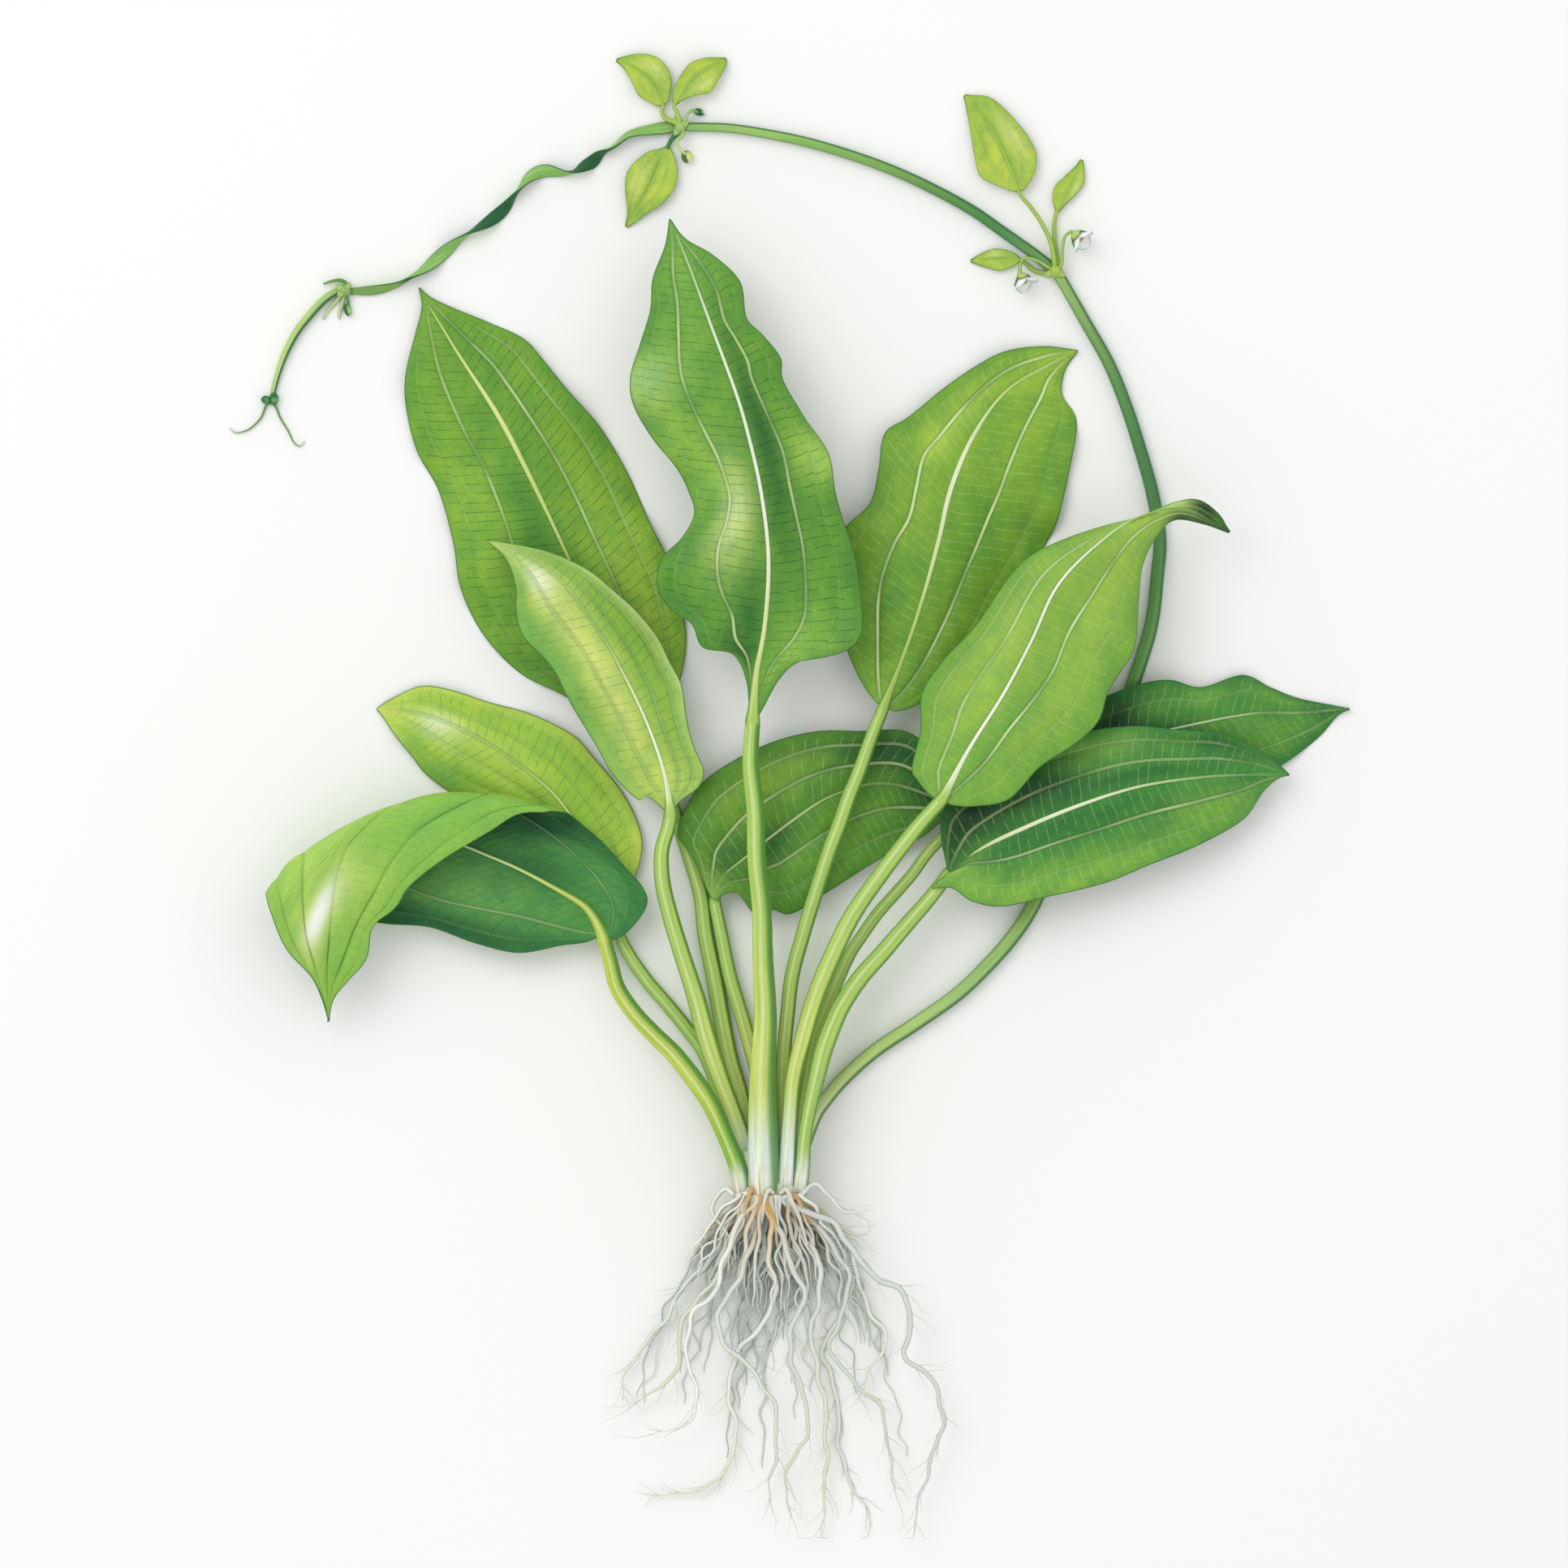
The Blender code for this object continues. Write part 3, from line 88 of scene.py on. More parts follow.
# Each leaf: its stalk from the crown, its rib and its two edges from base to tip, and heights at even steps.
# left and right are as seen along the rib, and the rib's first point is where the stalk ends.
LEAVES = {
    "01": {
        "stalk": ((-6, 6.4), (-8.5, 15), (-12, 35.5), (-17, 52.5), (-20.5, 69), (-23.5, 86), (-27, 103),
                  (-29, 119.5), (-34, 136.5), (-40, 153.5), (-46, 170)),
        "stalk_heights": (6, 3.2, 3, 3, 3.4),
        "stalk_widths": (6, 7, 6.5, 6, 5),
        "rib": ((-50, 181.5), (-63.5, 213.5), (-85, 261.5), (-98.5, 290), (-111.5, 315), (-128.5, 341.5),
                (-139.5, 359.5), (-144.5, 368.5)),
        "left": ((-60, 185.5), (-73.5, 194), (-86, 201.5), (-103.5, 210.5), (-118.5, 226.5), (-127.5, 245),
                 (-130.5, 263.5), (-136.5, 285), (-145.5, 301.5), (-150, 320), (-150, 333.5), (-146, 350),
                 (-143.5, 360.5)),
        "right": ((-42.5, 191.5), (-37.5, 206.5), (-35, 220), (-35.5, 231.5), (-38.5, 246.5), (-43.5, 259.5),
                  (-50, 272.5), (-58.5, 291.5), (-70, 311), (-83.5, 326.5), (-92.5, 337.5), (-101.5, 347.5),
                  (-116.5, 354.5), (-130, 360), (-139.5, 364.5)),
        "heights": ((3.4, 5, 8, 10, 9, 5, 2), (3.4, 2, 1, 3, 1, 3, 2), (3.4, 2, 3, 1, 4, 1, 2)),
    },
    "02": {
        "stalk": ((-3, 6.4), (-3.5, 26.5), (-3.5, 46.5), (-2.5, 70), (-3.5, 93.5), (-4, 113.5), (-6, 133.5),
                  (-6.5, 153.5), (-8.5, 173.5)),
        "stalk_heights": (22.5, 22.5, 22.5, 24, 26),
        "stalk_widths": (11.4, 9, 7.8, 7.2, 6),
        "rib": ((-7.5, 191), (-6, 210), (-2.5, 230), (-1, 256.5), (-4, 283.5), (-10, 310), (-15, 326.5),
                (-25, 353.5), (-33.5, 376.5), (-41.5, 396)),
        "left": ((-10, 206), (-15.5, 217.5), (-28, 220.5), (-32.5, 230), (-41.5, 236.5), (-46.5, 245),
                 (-45, 256.5), (-36.5, 265.5), (-31.5, 275), (-33.5, 283.5), (-38.5, 293.5), (-49, 306.5),
                 (-56.5, 320), (-57.5, 331.5), (-53.5, 345), (-49.5, 358.5), (-48.5, 371.5), (-43.5, 385)),
        "right": ((-3, 196), (3.5, 207.5), (11.5, 214.5), (26.5, 217.5), (35, 222.5), (37.5, 231.5),
                  (35, 255), (30.5, 269.5), (26.5, 283.5), (23.5, 300), (13.5, 315), (5, 330), (4, 339),
                  (-3.5, 348.5), (-10, 355.5), (-12.5, 370), (-23.5, 381), (-35, 388)),
        "heights": ((26, 32, 38, 42, 40, 34, 24), (26, 30, 36, 30, 38, 30, 24), (26, 36, 30, 36, 32, 32, 24)),
    },
    "03": {
        "stalk": ((3, 6.4), (4, 20), (4.5, 36.5), (5, 52.5), (6.5, 69), (8.5, 86), (13, 103), (18, 119.5),
                  (23.5, 136.5), (28, 148.5), (32, 160), (36.5, 171), (41.5, 185)),
        "stalk_heights": (14.2, 14.2, 15.5, 17, 15),
        "stalk_widths": (6, 6, 6, 6, 5),
        "rib": ((46, 196), (53.5, 215), (61.5, 238.5), (68.5, 263.5), (74, 286.5), (83.5, 308.5), (96.5, 326),
                (113.5, 336.5), (126, 342.5)),
        "left": ((41.5, 200), (38.5, 204), (33.5, 213.5), (27.5, 230), (23.5, 243.5), (24, 256.5),
                 (30.5, 270), (40.5, 280), (44, 293.5), (46.5, 308.5), (56.5, 315.5), (70, 326.5),
                 (83.5, 336), (96.5, 342.5), (111.5, 344.5), (121.5, 343.5)),
        "right": ((52, 194.5), (61, 197.5), (71.5, 205), (85, 221.5), (96.5, 240), (108.5, 256.5),
                  (116.5, 270), (119.5, 280), (122.5, 293.5), (125.5, 313.5), (119.5, 325), (121, 335)),
        "heights": ((15, 14, 13, 11, 9, 6, 2), (15, 10, 7, 9, 4, 4, 2), (15, 10, 4, 1, 4, 1, 1)),
    },
    "04": {
        "stalk": ((-10, 6.4), (-11, 16), (-14.5, 27), (-21, 44), (-26.5, 60.5), (-31, 77.5), (-36.5, 94.5),
                  (-41.5, 111), (-44.5, 124), (-45, 136.5), (-42.5, 146)),
        "stalk_heights": (14.2, 14, 14, 15, 16),
        "stalk_widths": (7, 8, 7, 6.5, 5.5),
        "rib": ((-41, 152.5), (-44, 170), (-51, 190), (-60.5, 210), (-70, 226.5), (-86.5, 248.5),
                (-103.5, 259.5), (-116.5, 264.5)),
        "left": ((-46, 156), (-51, 159.5), (-55, 158.5), (-65, 168.5), (-71.5, 180), (-81.5, 196.5),
                 (-90, 212.5), (-101.5, 225), (-104.5, 235), (-104.5, 245), (-108.5, 256.5)),
        "right": ((-37.5, 157.5), (-29.5, 163.5), (-27.5, 170.5), (-31.5, 180), (-34.5, 191.5), (-36.5, 205),
                  (-41.5, 215), (-46.5, 225), (-55, 235.5), (-65, 244.5), (-75, 252.5), (-90, 259.5),
                  (-105, 263)),
        "heights": ((16, 20, 24, 27, 27, 24, 17), (16, 18, 16, 20, 18, 20, 17), (16, 20, 22, 18, 22, 20, 17)),
    },
    "05": {
        "stalk": ((6.4, 6.4), (7.5, 27), (9, 44), (13, 60.5), (18, 77.5), (25, 94.5), (33.5, 111.5),
                  (45, 128), (58, 145), (64.5, 152.5)),
        "stalk_heights": (22.5, 23, 25, 27, 28),
        "stalk_widths": (6.2, 7.2, 7.2, 6.6, 5.5),
        "rib": ((70, 158.5), (81.5, 180), (95, 201.5), (106.5, 223.5), (116.5, 245), (131.5, 261),
                (150, 273.5), (170, 276.5), (187.5, 267.5)),
        "left": ((65, 160), (59.5, 166.5), (57.5, 171.5), (61, 186.5), (61.5, 201.5), (70, 215),
                 (83.5, 229.5), (96.5, 248.5), (106.5, 258.5), (121.5, 265.5), (136.5, 270.5), (150, 274),
                 (165, 280), (175, 281), (183.5, 275)),
        "right": ((74, 156), (83.5, 155.5), (97.5, 158.5), (110, 171.5), (125, 181.5), (134, 190.5),
                  (138.5, 203.5), (148.5, 220), (150.5, 240), (152, 253.5), (157.5, 265.5), (165, 272.5),
                  (176.5, 271)),
        "heights": ((28, 35, 41, 44, 42, 36, 26), (28, 32, 38, 33, 34, 33, 27), (28, 30, 34, 32, 30, 31, 25)),
    },
    "06": {
        "stalk": ((-13.2, 6.4), (-15.5, 14), (-19, 30), (-27, 53), (-34.5, 64), (-43, 74.5), (-51.5, 84.5),
                  (-60, 97.5)),
        "stalk_heights": (6, 3.6, 3.4, 3.4, 4),
        "stalk_widths": (5.6, 5.6, 5.6, 5.4, 4.6),
        "rib": ((-65, 110), (-71.5, 133.5), (-83.5, 153.5), (-95, 166), (-116.5, 181.5), (-140, 192.5),
                (-162, 195.5)),
        "left": ((-71.5, 120.5), (-85, 136.5), (-100, 148.5), (-115, 155), (-130, 160.5), (-141.5, 168.5),
                 (-147.5, 176), (-154, 184), (-159.5, 192)),
        "right": ((-58.5, 120), (-53.5, 133.5), (-53.5, 145), (-60.5, 160.5), (-73.5, 176.5), (-81.5, 185),
                  (-98.5, 193.5), (-116.5, 198.5), (-130, 203), (-143.5, 205), (-156.5, 199.5)),
        "heights": ((4, 6, 7, 7, 6, 4, 1), (4, 3, 1, 2, 1, 2, 1), (4, 4, 2, 4, 1, 3, 1)),
    },
    "08": {
        "stalk": ((0, 6.4), (-2.5, 26.5), (-6, 46.5), (-8.5, 56.5), (-12, 69), (-17, 86), (-20.5, 103)),
        "stalk_heights": (6, 5, 5, 5.5, 6.4),
        "stalk_widths": (6, 6, 6, 5.6, 5),
        "rib": ((-23.5, 117.5), (-20, 126.5), (-10, 135), (8.5, 149.5), (25, 160), (45, 165), (63.5, 160.5),
                (74, 153.5)),
        "left": ((-26, 120.5), (-32.5, 135), (-38.5, 144), (-35, 155), (-27.5, 166), (-12.5, 176), (3.5, 183),
                 (20, 186.5), (36.5, 186.5), (55, 186.5), (65, 178.5), (71, 165)),
        "right": ((-19, 119.5), (-13.5, 119.5), (-6.5, 111), (0.5, 113), (8.5, 111.5), (23.5, 120.5),
                  (46.5, 135), (61.5, 142.5), (70, 149.5)),
        "heights": ((9.6, 9.8, 10, 10, 9, 8, 6), (9.6, 9, 8, 9, 8, 9, 6), (9.6, 9, 7, 9, 7, 7, 6)),
    },
    "09": {
        "stalk": ((10, 6.4), (12, 30), (15.5, 50), (18, 61.5), (21, 69), (24.5, 77.5), (32, 94.5),
                  (37.5, 103), (43.5, 111.5), (51.5, 120.5), (58, 128), (66, 138.5)),
        "stalk_heights": (14.2, 13.5, 12.5, 12, 12.2),
        "stalk_widths": (5, 5, 5, 4.8, 4.2),
        "rib": ((82, 153.5), (103.5, 165), (126.5, 175), (150, 183.5), (170, 188.5), (196.5, 193.5),
                (216.5, 194), (237.5, 195.5)),
        "left": ((85, 158.5), (91.5, 168.5), (103.5, 181.5), (120, 193.5), (136.5, 200.5), (150, 205.5),
                 (163.5, 207.5), (176.5, 204.5), (193.5, 209.5), (205, 204.5), (216.5, 200), (231.5, 197)),
        "right": ((88.5, 150.5), (106.5, 148.5), (130, 148.5), (153.5, 150.5), (173.5, 155), (193.5, 163.5),
                  (211.5, 173.5), (225, 184), (232.5, 192.5)),
        "heights": ((12.2, 13, 13, 12, 10, 6, 2), (12.2, 11, 10, 9, 4, 1, 1), (12.2, 11, 10, 10, 5, 1, 1)),
    },
    "10": {
        "stalk": ((12.7, 6.4), (13.5, 18.5), (15.5, 31), (18.5, 44), (21.5, 56), (26, 68), (30, 76), (37, 86),
                  (45.5, 95.5), (54.5, 106), (65, 118)),
        "stalk_heights": (22.5, 22, 20, 18, 16.2),
        "stalk_widths": (5.6, 7.4, 7.2, 6.5, 5.5),
        "rib": ((73, 128.5), (83.5, 136.5), (96.5, 143.5), (123.5, 155), (150, 163.5), (176.5, 167.5),
                (196.5, 168.5), (212.5, 168.5)),
        "left": ((71.5, 132.5), (69.5, 143.5), (70.5, 154), (81.5, 165), (96.5, 175), (113.5, 181.5),
                 (133.5, 187), (150, 188.5), (166.5, 187), (183.5, 185.5), (198.5, 179.5), (208.5, 172.5)),
        "right": ((70, 126), (65.5, 122), (74, 122), (82.5, 116.5), (95, 114.5), (113.5, 118.5), (136.5, 124),
                  (155, 131.5), (175, 139.5), (193.5, 150), (201.5, 161), (207.5, 166.5)),
        "heights": ((20, 22, 24, 25, 23, 19, 12), (20, 20.5, 21, 19, 20, 16, 12),
                    (20, 20.5, 20, 17, 17, 12, 11)),
    },
    "07": {
        "stalk": ((-13.3, 6.4), (-18, 18.5), (-26, 35.5), (-38.5, 52.5), (-48, 62), (-56, 70.5), (-63, 81),
                  (-66, 92)),
        "stalk_heights": (22.5, 22.5, 18, 12.5, 9.4),
        "stalk_widths": (6.8, 7.5, 7, 6.5, 5.5),
        "rib": ((-69, 103),),
    },
}

FOLDED_LEAF = "07"
# It hangs over on itself. Five lines run along it from base to tip: its two edges, its rib and the two
# half-way between. Each is in two runs, from the base to the crest of the fold and from there to the tip.
FOLD_TIP = (-181.5, 67.5)
FOLD_LINES = ((((-76, 99.8), (-86, 98.5), (-103.5, 95.5), (-121.5, 99.5), (-140, 106), (-158.5, 107.5),
                (-180, 111.5), (-200, 117.5), (-206.5, 120)),
               ((-206.5, 120), (-204.5, 112), (-198.5, 97.5), (-188.5, 86), (-184, 76.5))),
              (((-78, 104), (-90, 107), (-103.5, 110.5), (-121.5, 114), (-136.5, 117.5), (-156.5, 125),
                (-173.5, 132.5), (-191, 136.5)),
               ((-191, 136.5), (-191.5, 128), (-191.5, 116.5), (-190, 101.5), (-186, 86.5))),
              (((-71.5, 108.5), (-76.5, 115), (-86.5, 121), (-103.5, 130), (-118.5, 136.5), (-134, 143.5),
                (-151.5, 156.5)),
               ((-151.5, 156.5), (-159.5, 152.5), (-171.5, 141.5), (-176.5, 131.5), (-179, 120),
                (-180.5, 106.5), (-182, 86.5))),
              (((-65.5, 106), (-65, 115), (-71.5, 126.5), (-83.5, 138.5), (-96, 148), (-116.5, 160)),
               ((-116.5, 160), (-127, 156), (-143.5, 146.5), (-155, 133.5), (-163.5, 118.5), (-170, 106.5),
                (-175, 93.5), (-180, 80))),
              (((-64, 101), (-57, 106), (-51, 115), (-52.5, 122), (-60, 130.5), (-70, 141.5), (-83.5, 152.5)),
               ((-83.5, 152.5), (-93, 153.5), (-103.5, 152.5), (-115, 145.5), (-133.5, 134.5),
                (-147.5, 123.5), (-153.5, 114.5), (-163, 106.5), (-165.5, 93.5), (-173.5, 84),
                (-179.5, 76.5))))
FOLD_RADIUS = 8.0       # of the bend at the fold
FOLD_LOW = (11, 13, 12.5, 12.5, 13)     # heights from the base to the fold
FOLD_HIGH = (29, 30, 28, 24, 17)        # and from the fold to the tip
FOLD_BASE_SLANT = 0.3   # how far the base's end runs along X, over its width
FOLD_TIP_WIDTH = 0.8
FOLD_CROWDING = 1.5     # rows stand closer together towards the fold

# Runner, lying on the surface: round stems between its nodes, the third a flat twisting ribbon.
RUNNERS = {
    "runner_stem_1": {
        "route": ((10.5, 6.4), (13, 15), (17.5, 27.5), (21.5, 34), (30, 44), (43, 55.5), (59.5, 66.5),
                  (76.5, 78.5), (89.5, 91), (99.5, 102.5), (107.5, 115), (117, 136.5), (131, 166.5),
                  (142.5, 190), (152.5, 217.5), (156.5, 232.5), (158.5, 250.5), (159.5, 265.5), (156.5, 284),
                  (151.5, 302), (145.5, 320.5), (138.5, 337.5), (129.5, 353.5), (119.2, 371.6), (117, 374.8)),
        "widths": (5.8, 5.8, 6, 6, 5.6, 5.2, 4.6),
        "start_height": 6.0,
        # its darker middle colours are partly painted shadow, where it runs under the leaves
        "colours": ("#E6E9C8", "#B8D282", "#A2C678", "#8AB45E", "#5F9150", "#6C9E58", "#52854F", "#5F9052",
                    "#9CBE70"),
    },
    "runner_stem_2": {
        "route": ((116.4, 375.6), (113.9, 377.6), (107, 383), (95, 391.5), (82, 400.5), (65.5, 409.5),
                  (49, 417), (32.5, 423), (15.5, 428), (-1, 431.5), (-17.5, 434), (-34.4, 434.5),
                  (-37, 434.5)),
        "widths": (4.6, 4.4, 4.2, 4, 3.6),
        "colours": ("#7FA868", "#4F8A4E", "#64974F", "#7EAB5B", "#8CBB63", "#9AC26D", "#8DB868"),
    },
    "runner_stem_4": {
        "route": ((-175.4, 367.2), (-178.2, 367), (-183.8, 363.2), (-189.4, 357.2), (-194.6, 350.6),
                  (-199, 342.6), (-202.4, 333.6), (-204.6, 325), (-205.2, 322)),
        "widths": (2.7, 3.2, 3.4, 3.3, 3.2, 2.8, 2.4, 1.9),
        "colours": ("#9CBE74", "#A9CB7C", "#B4D082", "#B9D38A", "#A8C488"),
    },
}
KNUCKLE_RINGS = 15
SCALE_COLOUR = "#A3C56C"     # the papery scales
SCALE_RINGS = 12
SCALE_HALF = 1.5        # their half width
SCALE_START = 0.2       # where they start, over the knuckle's width
SCALE_LEVEL = 0.25      # and above its middle, over its height
SCALE_DROOP = 0.6       # how far they fall towards their tips
SCALE_LOWEST = 0.7
RIBBON_BLUNTNESS = 0.3  # least width of the ribbon's rounded ends over the full one
RIBBON_START = 0.05     # share of its length in which it widens
RIBBON_NECK = 0.8       # and its first width
RIBBON_END = 0.9        # share of its length from which it narrows
RIBBON_TIP = 0.5        # and its last width
RIBBON_TURNED = 0.87    # share of its length from which its back is light
RIBBON_SHADE = 0.75     # its back, darkened with painted shade, over the runner's dark colour
RIBBON_GLEAM = 0.8      # and its light back over the light one
RUNNER_LANDING = 0.08   # share of a stem's length in which it comes down from the crown to the surface
RIBBON_ROUTE = ((-37.6, 434.5), (-40.2, 434.5), (-48, 433.5), (-58, 431.5), (-64.5, 426.5), (-70.5, 423),
                (-74.5, 419.5), (-83, 415.5), (-93, 416.5), (-99.5, 413.5), (-104.5, 407.5), (-109.5, 401),
                (-116, 395.5), (-124.5, 390.5), (-132.5, 384.5), (-141, 377), (-147.5, 373), (-154, 369.5),
                (-162.5, 367.5), (-171.8, 367), (-174.6, 367.1))
RIBBON_PINCHES = (0.2, 0.31, 0.47, 0.64, 0.83)  # shares of its length where the ribbon stands on edge
RIBBON_WIDTH = 5.4
RIBBON_THICKNESS = 1.6
RIBBON_SPACING = 1.0     # rings of the ribbon, apart
RIBBON_CLEARANCE = 0.1   # between the ribbon's lowest edge and the surface

# Knuckles where plantlets leave the runner: place, width, length, height, colour and the papery scales round
# each, with their direction in degrees and their length.
NODES = {
    "plantlet_a_crown": ((116.7, 375.3, 3.6), 5.4, 5.4, 7.2, "#AFC653", ((205, 4.2), (330, 3.4))),
    "plantlet_b_crown": ((-37.3, 434.4, 3.0), 5.0, 5.0, 6.0, "#A3BC74", ((120, 4.0), (35, 3.2), (235, 3.2))),
    "runner_knot": ((-175, 367.2, 2.4), 5.4, 4.4, 4.8, "#8FB265", ((150, 3.4), (60, 3.0), (215, 2.6))),
}
# The knuckle that each small piece springs from, by how its name starts
SPRINGS = {
    "plantlet_a": NODES["plantlet_a_crown"][0],
    "plantlet_b": NODES["plantlet_b_crown"][0],
    "knot": NODES["runner_knot"][0],
    "tip": (-205.2, 321.4, 1.4),
}

# Plantlet leaves: stalk, rib, two edges and the heights of stalk and rib, from base to tip.
SPROUT_STALK_WIDTH = 2.2
SPROUT_ENDS = (1.4, 0.25)   # widths of the leaf at its two ends
SPROUT_SHEET = 0.5      # its thickness
SPROUT_SINK = 0.3       # how far its midrib and stalk lie under its upper face
SPROUT_CUP = 0.6        # how far its edges stand above its middle
SPROUT_RUFFLE = 0.15
SPROUT_ROWS = 70
SPROUT_DETAIL = 120     # places that measure its length
SPROUT_VEINS = {-0.5: 0.3, 0.0: 0.5, 0.5: 0.3}
SPROUT_GREEN = "#8DB84C"     # the greener colour towards its tip and its edges
SPROUT_GREEN_SHARES = (0.45, 0.4)   # how green it is near its tip and at its edges
SPROUT_GREEN_AT = 0.85  # where along it it is greenest
SPROUT_GREEN_REACH = 0.2
SPROUT_BACK = 0.8       # its underside over its upper face
SPROUT_RISE = 0.1       # its midrib above the stalk's heights
SPROUT_DROOP = 0.2      # and its edges below the midrib
SPROUT_OVERLAP = 0.01   # share of its length in which stalk and midrib overlap
SPROUT_SPACING = 1.2    # rings of its stalk, apart
SPROUT_RIB_TAPER = ((0, 0.4, 1), (0.75, 0.42, 0.2))     # shares of its midrib's length, and half widths there
SPROUT_TONES = (        # darker and paler places: along and across, their sizes, strength and colour
    ((0.35, 0.1), (0.4, 0.16), 0.6, "#7FAD48"),
    ((0.5, 0.55), (0.2, 0.25), 0.7, "#DDE49A"),
)
DARK_STALKS = {"plantlet_b_leaf_3": "#3F8048"}
SPROUTS = {
    "plantlet_a_leaf_1": {
        "stalk": ((116.3, 378.6), (115, 386.5), (111, 395), (106.5, 401.5)),
        "rib": ((101.5, 408), (96.5, 421.5), (88.5, 436.5), (79.5, 447.5)),
        "left": ((96.5, 409), (86.5, 413.5), (84, 420), (82, 431.5), (80, 443.5)),
        "right": ((104.5, 409.5), (108.5, 416.5), (108, 426), (100, 437.5), (90, 446.5)),
        "heights": (6.2, 5.6, 4.6, 3.4, 2.4, 1),
    },
    "plantlet_a_leaf_2": {
        "stalk": ((117.8, 378.6), (116.5, 387.5), (116.3, 395)),
        "rib": ((117.5, 400), (122, 409.5), (127.5, 421)),
        "left": ((115.5, 404.5), (116.5, 410), (120.5, 414), (125, 418)),
        "right": ((120.5, 402.5), (125, 406.5), (128.5, 411.5), (128.5, 417.5)),
        "heights": (2.6, 2.4, 2.2, 2.4, 2, 1.2),
    },
    "plantlet_a_leaf_3": {
        "stalk": ((113.4, 374.4), (108, 375.6)),
        "rib": ((102, 380), (92, 380), (82, 379.5)),
        "left": ((99.5, 377.5), (94, 375.5), (89.5, 376.5), (85, 378)),
        "right": ((100, 382.5), (96.5, 384), (91.5, 384.5), (86, 382.5)),
        "heights": (2, 1.6, 1.8, 2.2, 1.6, 1),
    },
    "plantlet_b_leaf_1": {
        "stalk": ((-39.6, 436.4), (-43.4, 438), (-45, 440.6)),
        "rib": ((-44.6, 443.6), (-50, 453.5), (-56.5, 458.5), (-63.5, 462)),
        "left": ((-47.5, 443.4), (-51, 445.2), (-54.5, 447.5), (-57.5, 453.5), (-60.5, 458.5)),
        "right": ((-42, 445.5), (-41, 453), (-42.5, 458.5), (-46, 462.5), (-51.5, 464.5), (-58.5, 464)),
        "heights": (3.8, 3.2, 3, 3.6, 2.6, 1),
    },
    "plantlet_b_leaf_2": {
        "stalk": ((-37.8, 437.4), (-39, 441)),
        "rib": ((-39.5, 444), (-33.5, 453.5), (-26.5, 458.5), (-18.5, 462.5)),
        "left": ((-40.5, 446.5), (-39.5, 451), (-36.5, 456.5), (-32.5, 461), (-25.5, 463)),
        "right": ((-36, 445.5), (-30, 447.5), (-25, 448.5), (-21.5, 454), (-18.5, 459.5)),
        "heights": (5, 5.2, 5.4, 5.2, 4, 2),
    },
    "plantlet_b_leaf_3": {
        "stalk": ((-38.6, 431.6), (-41, 429.2)),
        "rib": ((-42.5, 426), (-46, 418.5), (-50.5, 408.5), (-59.5, 393.5)),
        "left": ((-40.5, 424), (-38.5, 417.5), (-39.5, 409.5), (-45, 402.5), (-50, 399.5), (-55.5, 395.5)),
        "right": ((-45.5, 425.5), (-50, 424.5), (-55, 421), (-59, 416), (-60, 409.5), (-59, 399.5)),
        "heights": (2.2, 2.4, 3, 3.4, 2.4, 1),
    },
}

# Buds, the curled shoot and rootlets: route with heights, widths at even steps and colours, from base to tip.
SHOOTS = {
    "plantlet_b_bud_1": (((-35.4, 437.2, 4.4), (-34, 440, 4.4), (-32.2, 441.2, 3.6), (-30.5, 440.6, 2.6),
                          (-29.6, 440.7, 2)),
                         (1.35, 1.35),
                         ("#B4C98A", "#9DBF74", "#5F9450")),
    "plantlet_b_bud_2": (((-36, 431.4, 5), (-38.6, 428.6, 5.6), (-38, 426, 5.6), (-36, 424, 5),
                          (-34.4, 422.2, 2)),
                         (1.35, 1.35),
                         ("#8DB868", "#C3D593", "#D3DDAE")),
    "knot_shoot": (((-174.6, 370, 3), (-176.6, 371.4, 3.2), (-180, 371.2, 2.4), (-184, 370, 1.4)),
                   (1.92, 1.76, 1.44, 0.96),
                   ("#6FA350", "#5A8E4A", "#7FA868")),
    "knot_bud": (((-174, 364.4, 2), (-173.7, 362.4, 2), (-173.5, 359.5, 2), (-173.8, 359.4, 2)),
                 (1.26, 1.26),
                 ("#7FA868", "#4F8550", "#2F6E45")),
    "knot_rootlet_1": (((-177.4, 364.4, 1.2), (-180, 361.4, 1), (-182, 359, 0.8), (-184, 355.5, 0.7)),
                       (1.82, 1.56, 1.3, 1.17),
                       ("#A9C47C", "#C3D49C", "#CFDCB0")),
    "knot_rootlet_2": (((-175.6, 364.4, 1.2), (-176.4, 361, 1), (-177.2, 358, 0.8), (-177.5, 355.5, 0.7)),
                       (1.82, 1.56, 1.3, 1.17),
                       ("#A9C47C", "#C3D49C", "#CFDCB0")),
    "tip_rootlet_1": (((-207.4, 320, 1.1), (-209.5, 315, 1), (-213.5, 311, 0.9), (-216.5, 309.5, 0.8),
                       (-220, 309, 0.7), (-222.5, 311, 0.7)),
                      (1.2, 0.96, 0.84, 0.72, 0.66, 0.6),
                      ("#4F8550", "#6E9C5C", "#86A873", "#D9DDD4")),
    "tip_rootlet_2": (((-203.4, 319.6, 1.1), (-201.5, 315, 1), (-198.5, 310, 0.9), (-196, 305, 0.8),
                       (-193.5, 303.5, 0.7), (-191.5, 305.5, 0.7)),
                      (1.2, 0.96, 0.84, 0.72, 0.66, 0.6),
                      ("#4F8550", "#6E9C5C", "#86A873", "#D9DDD4")),
}

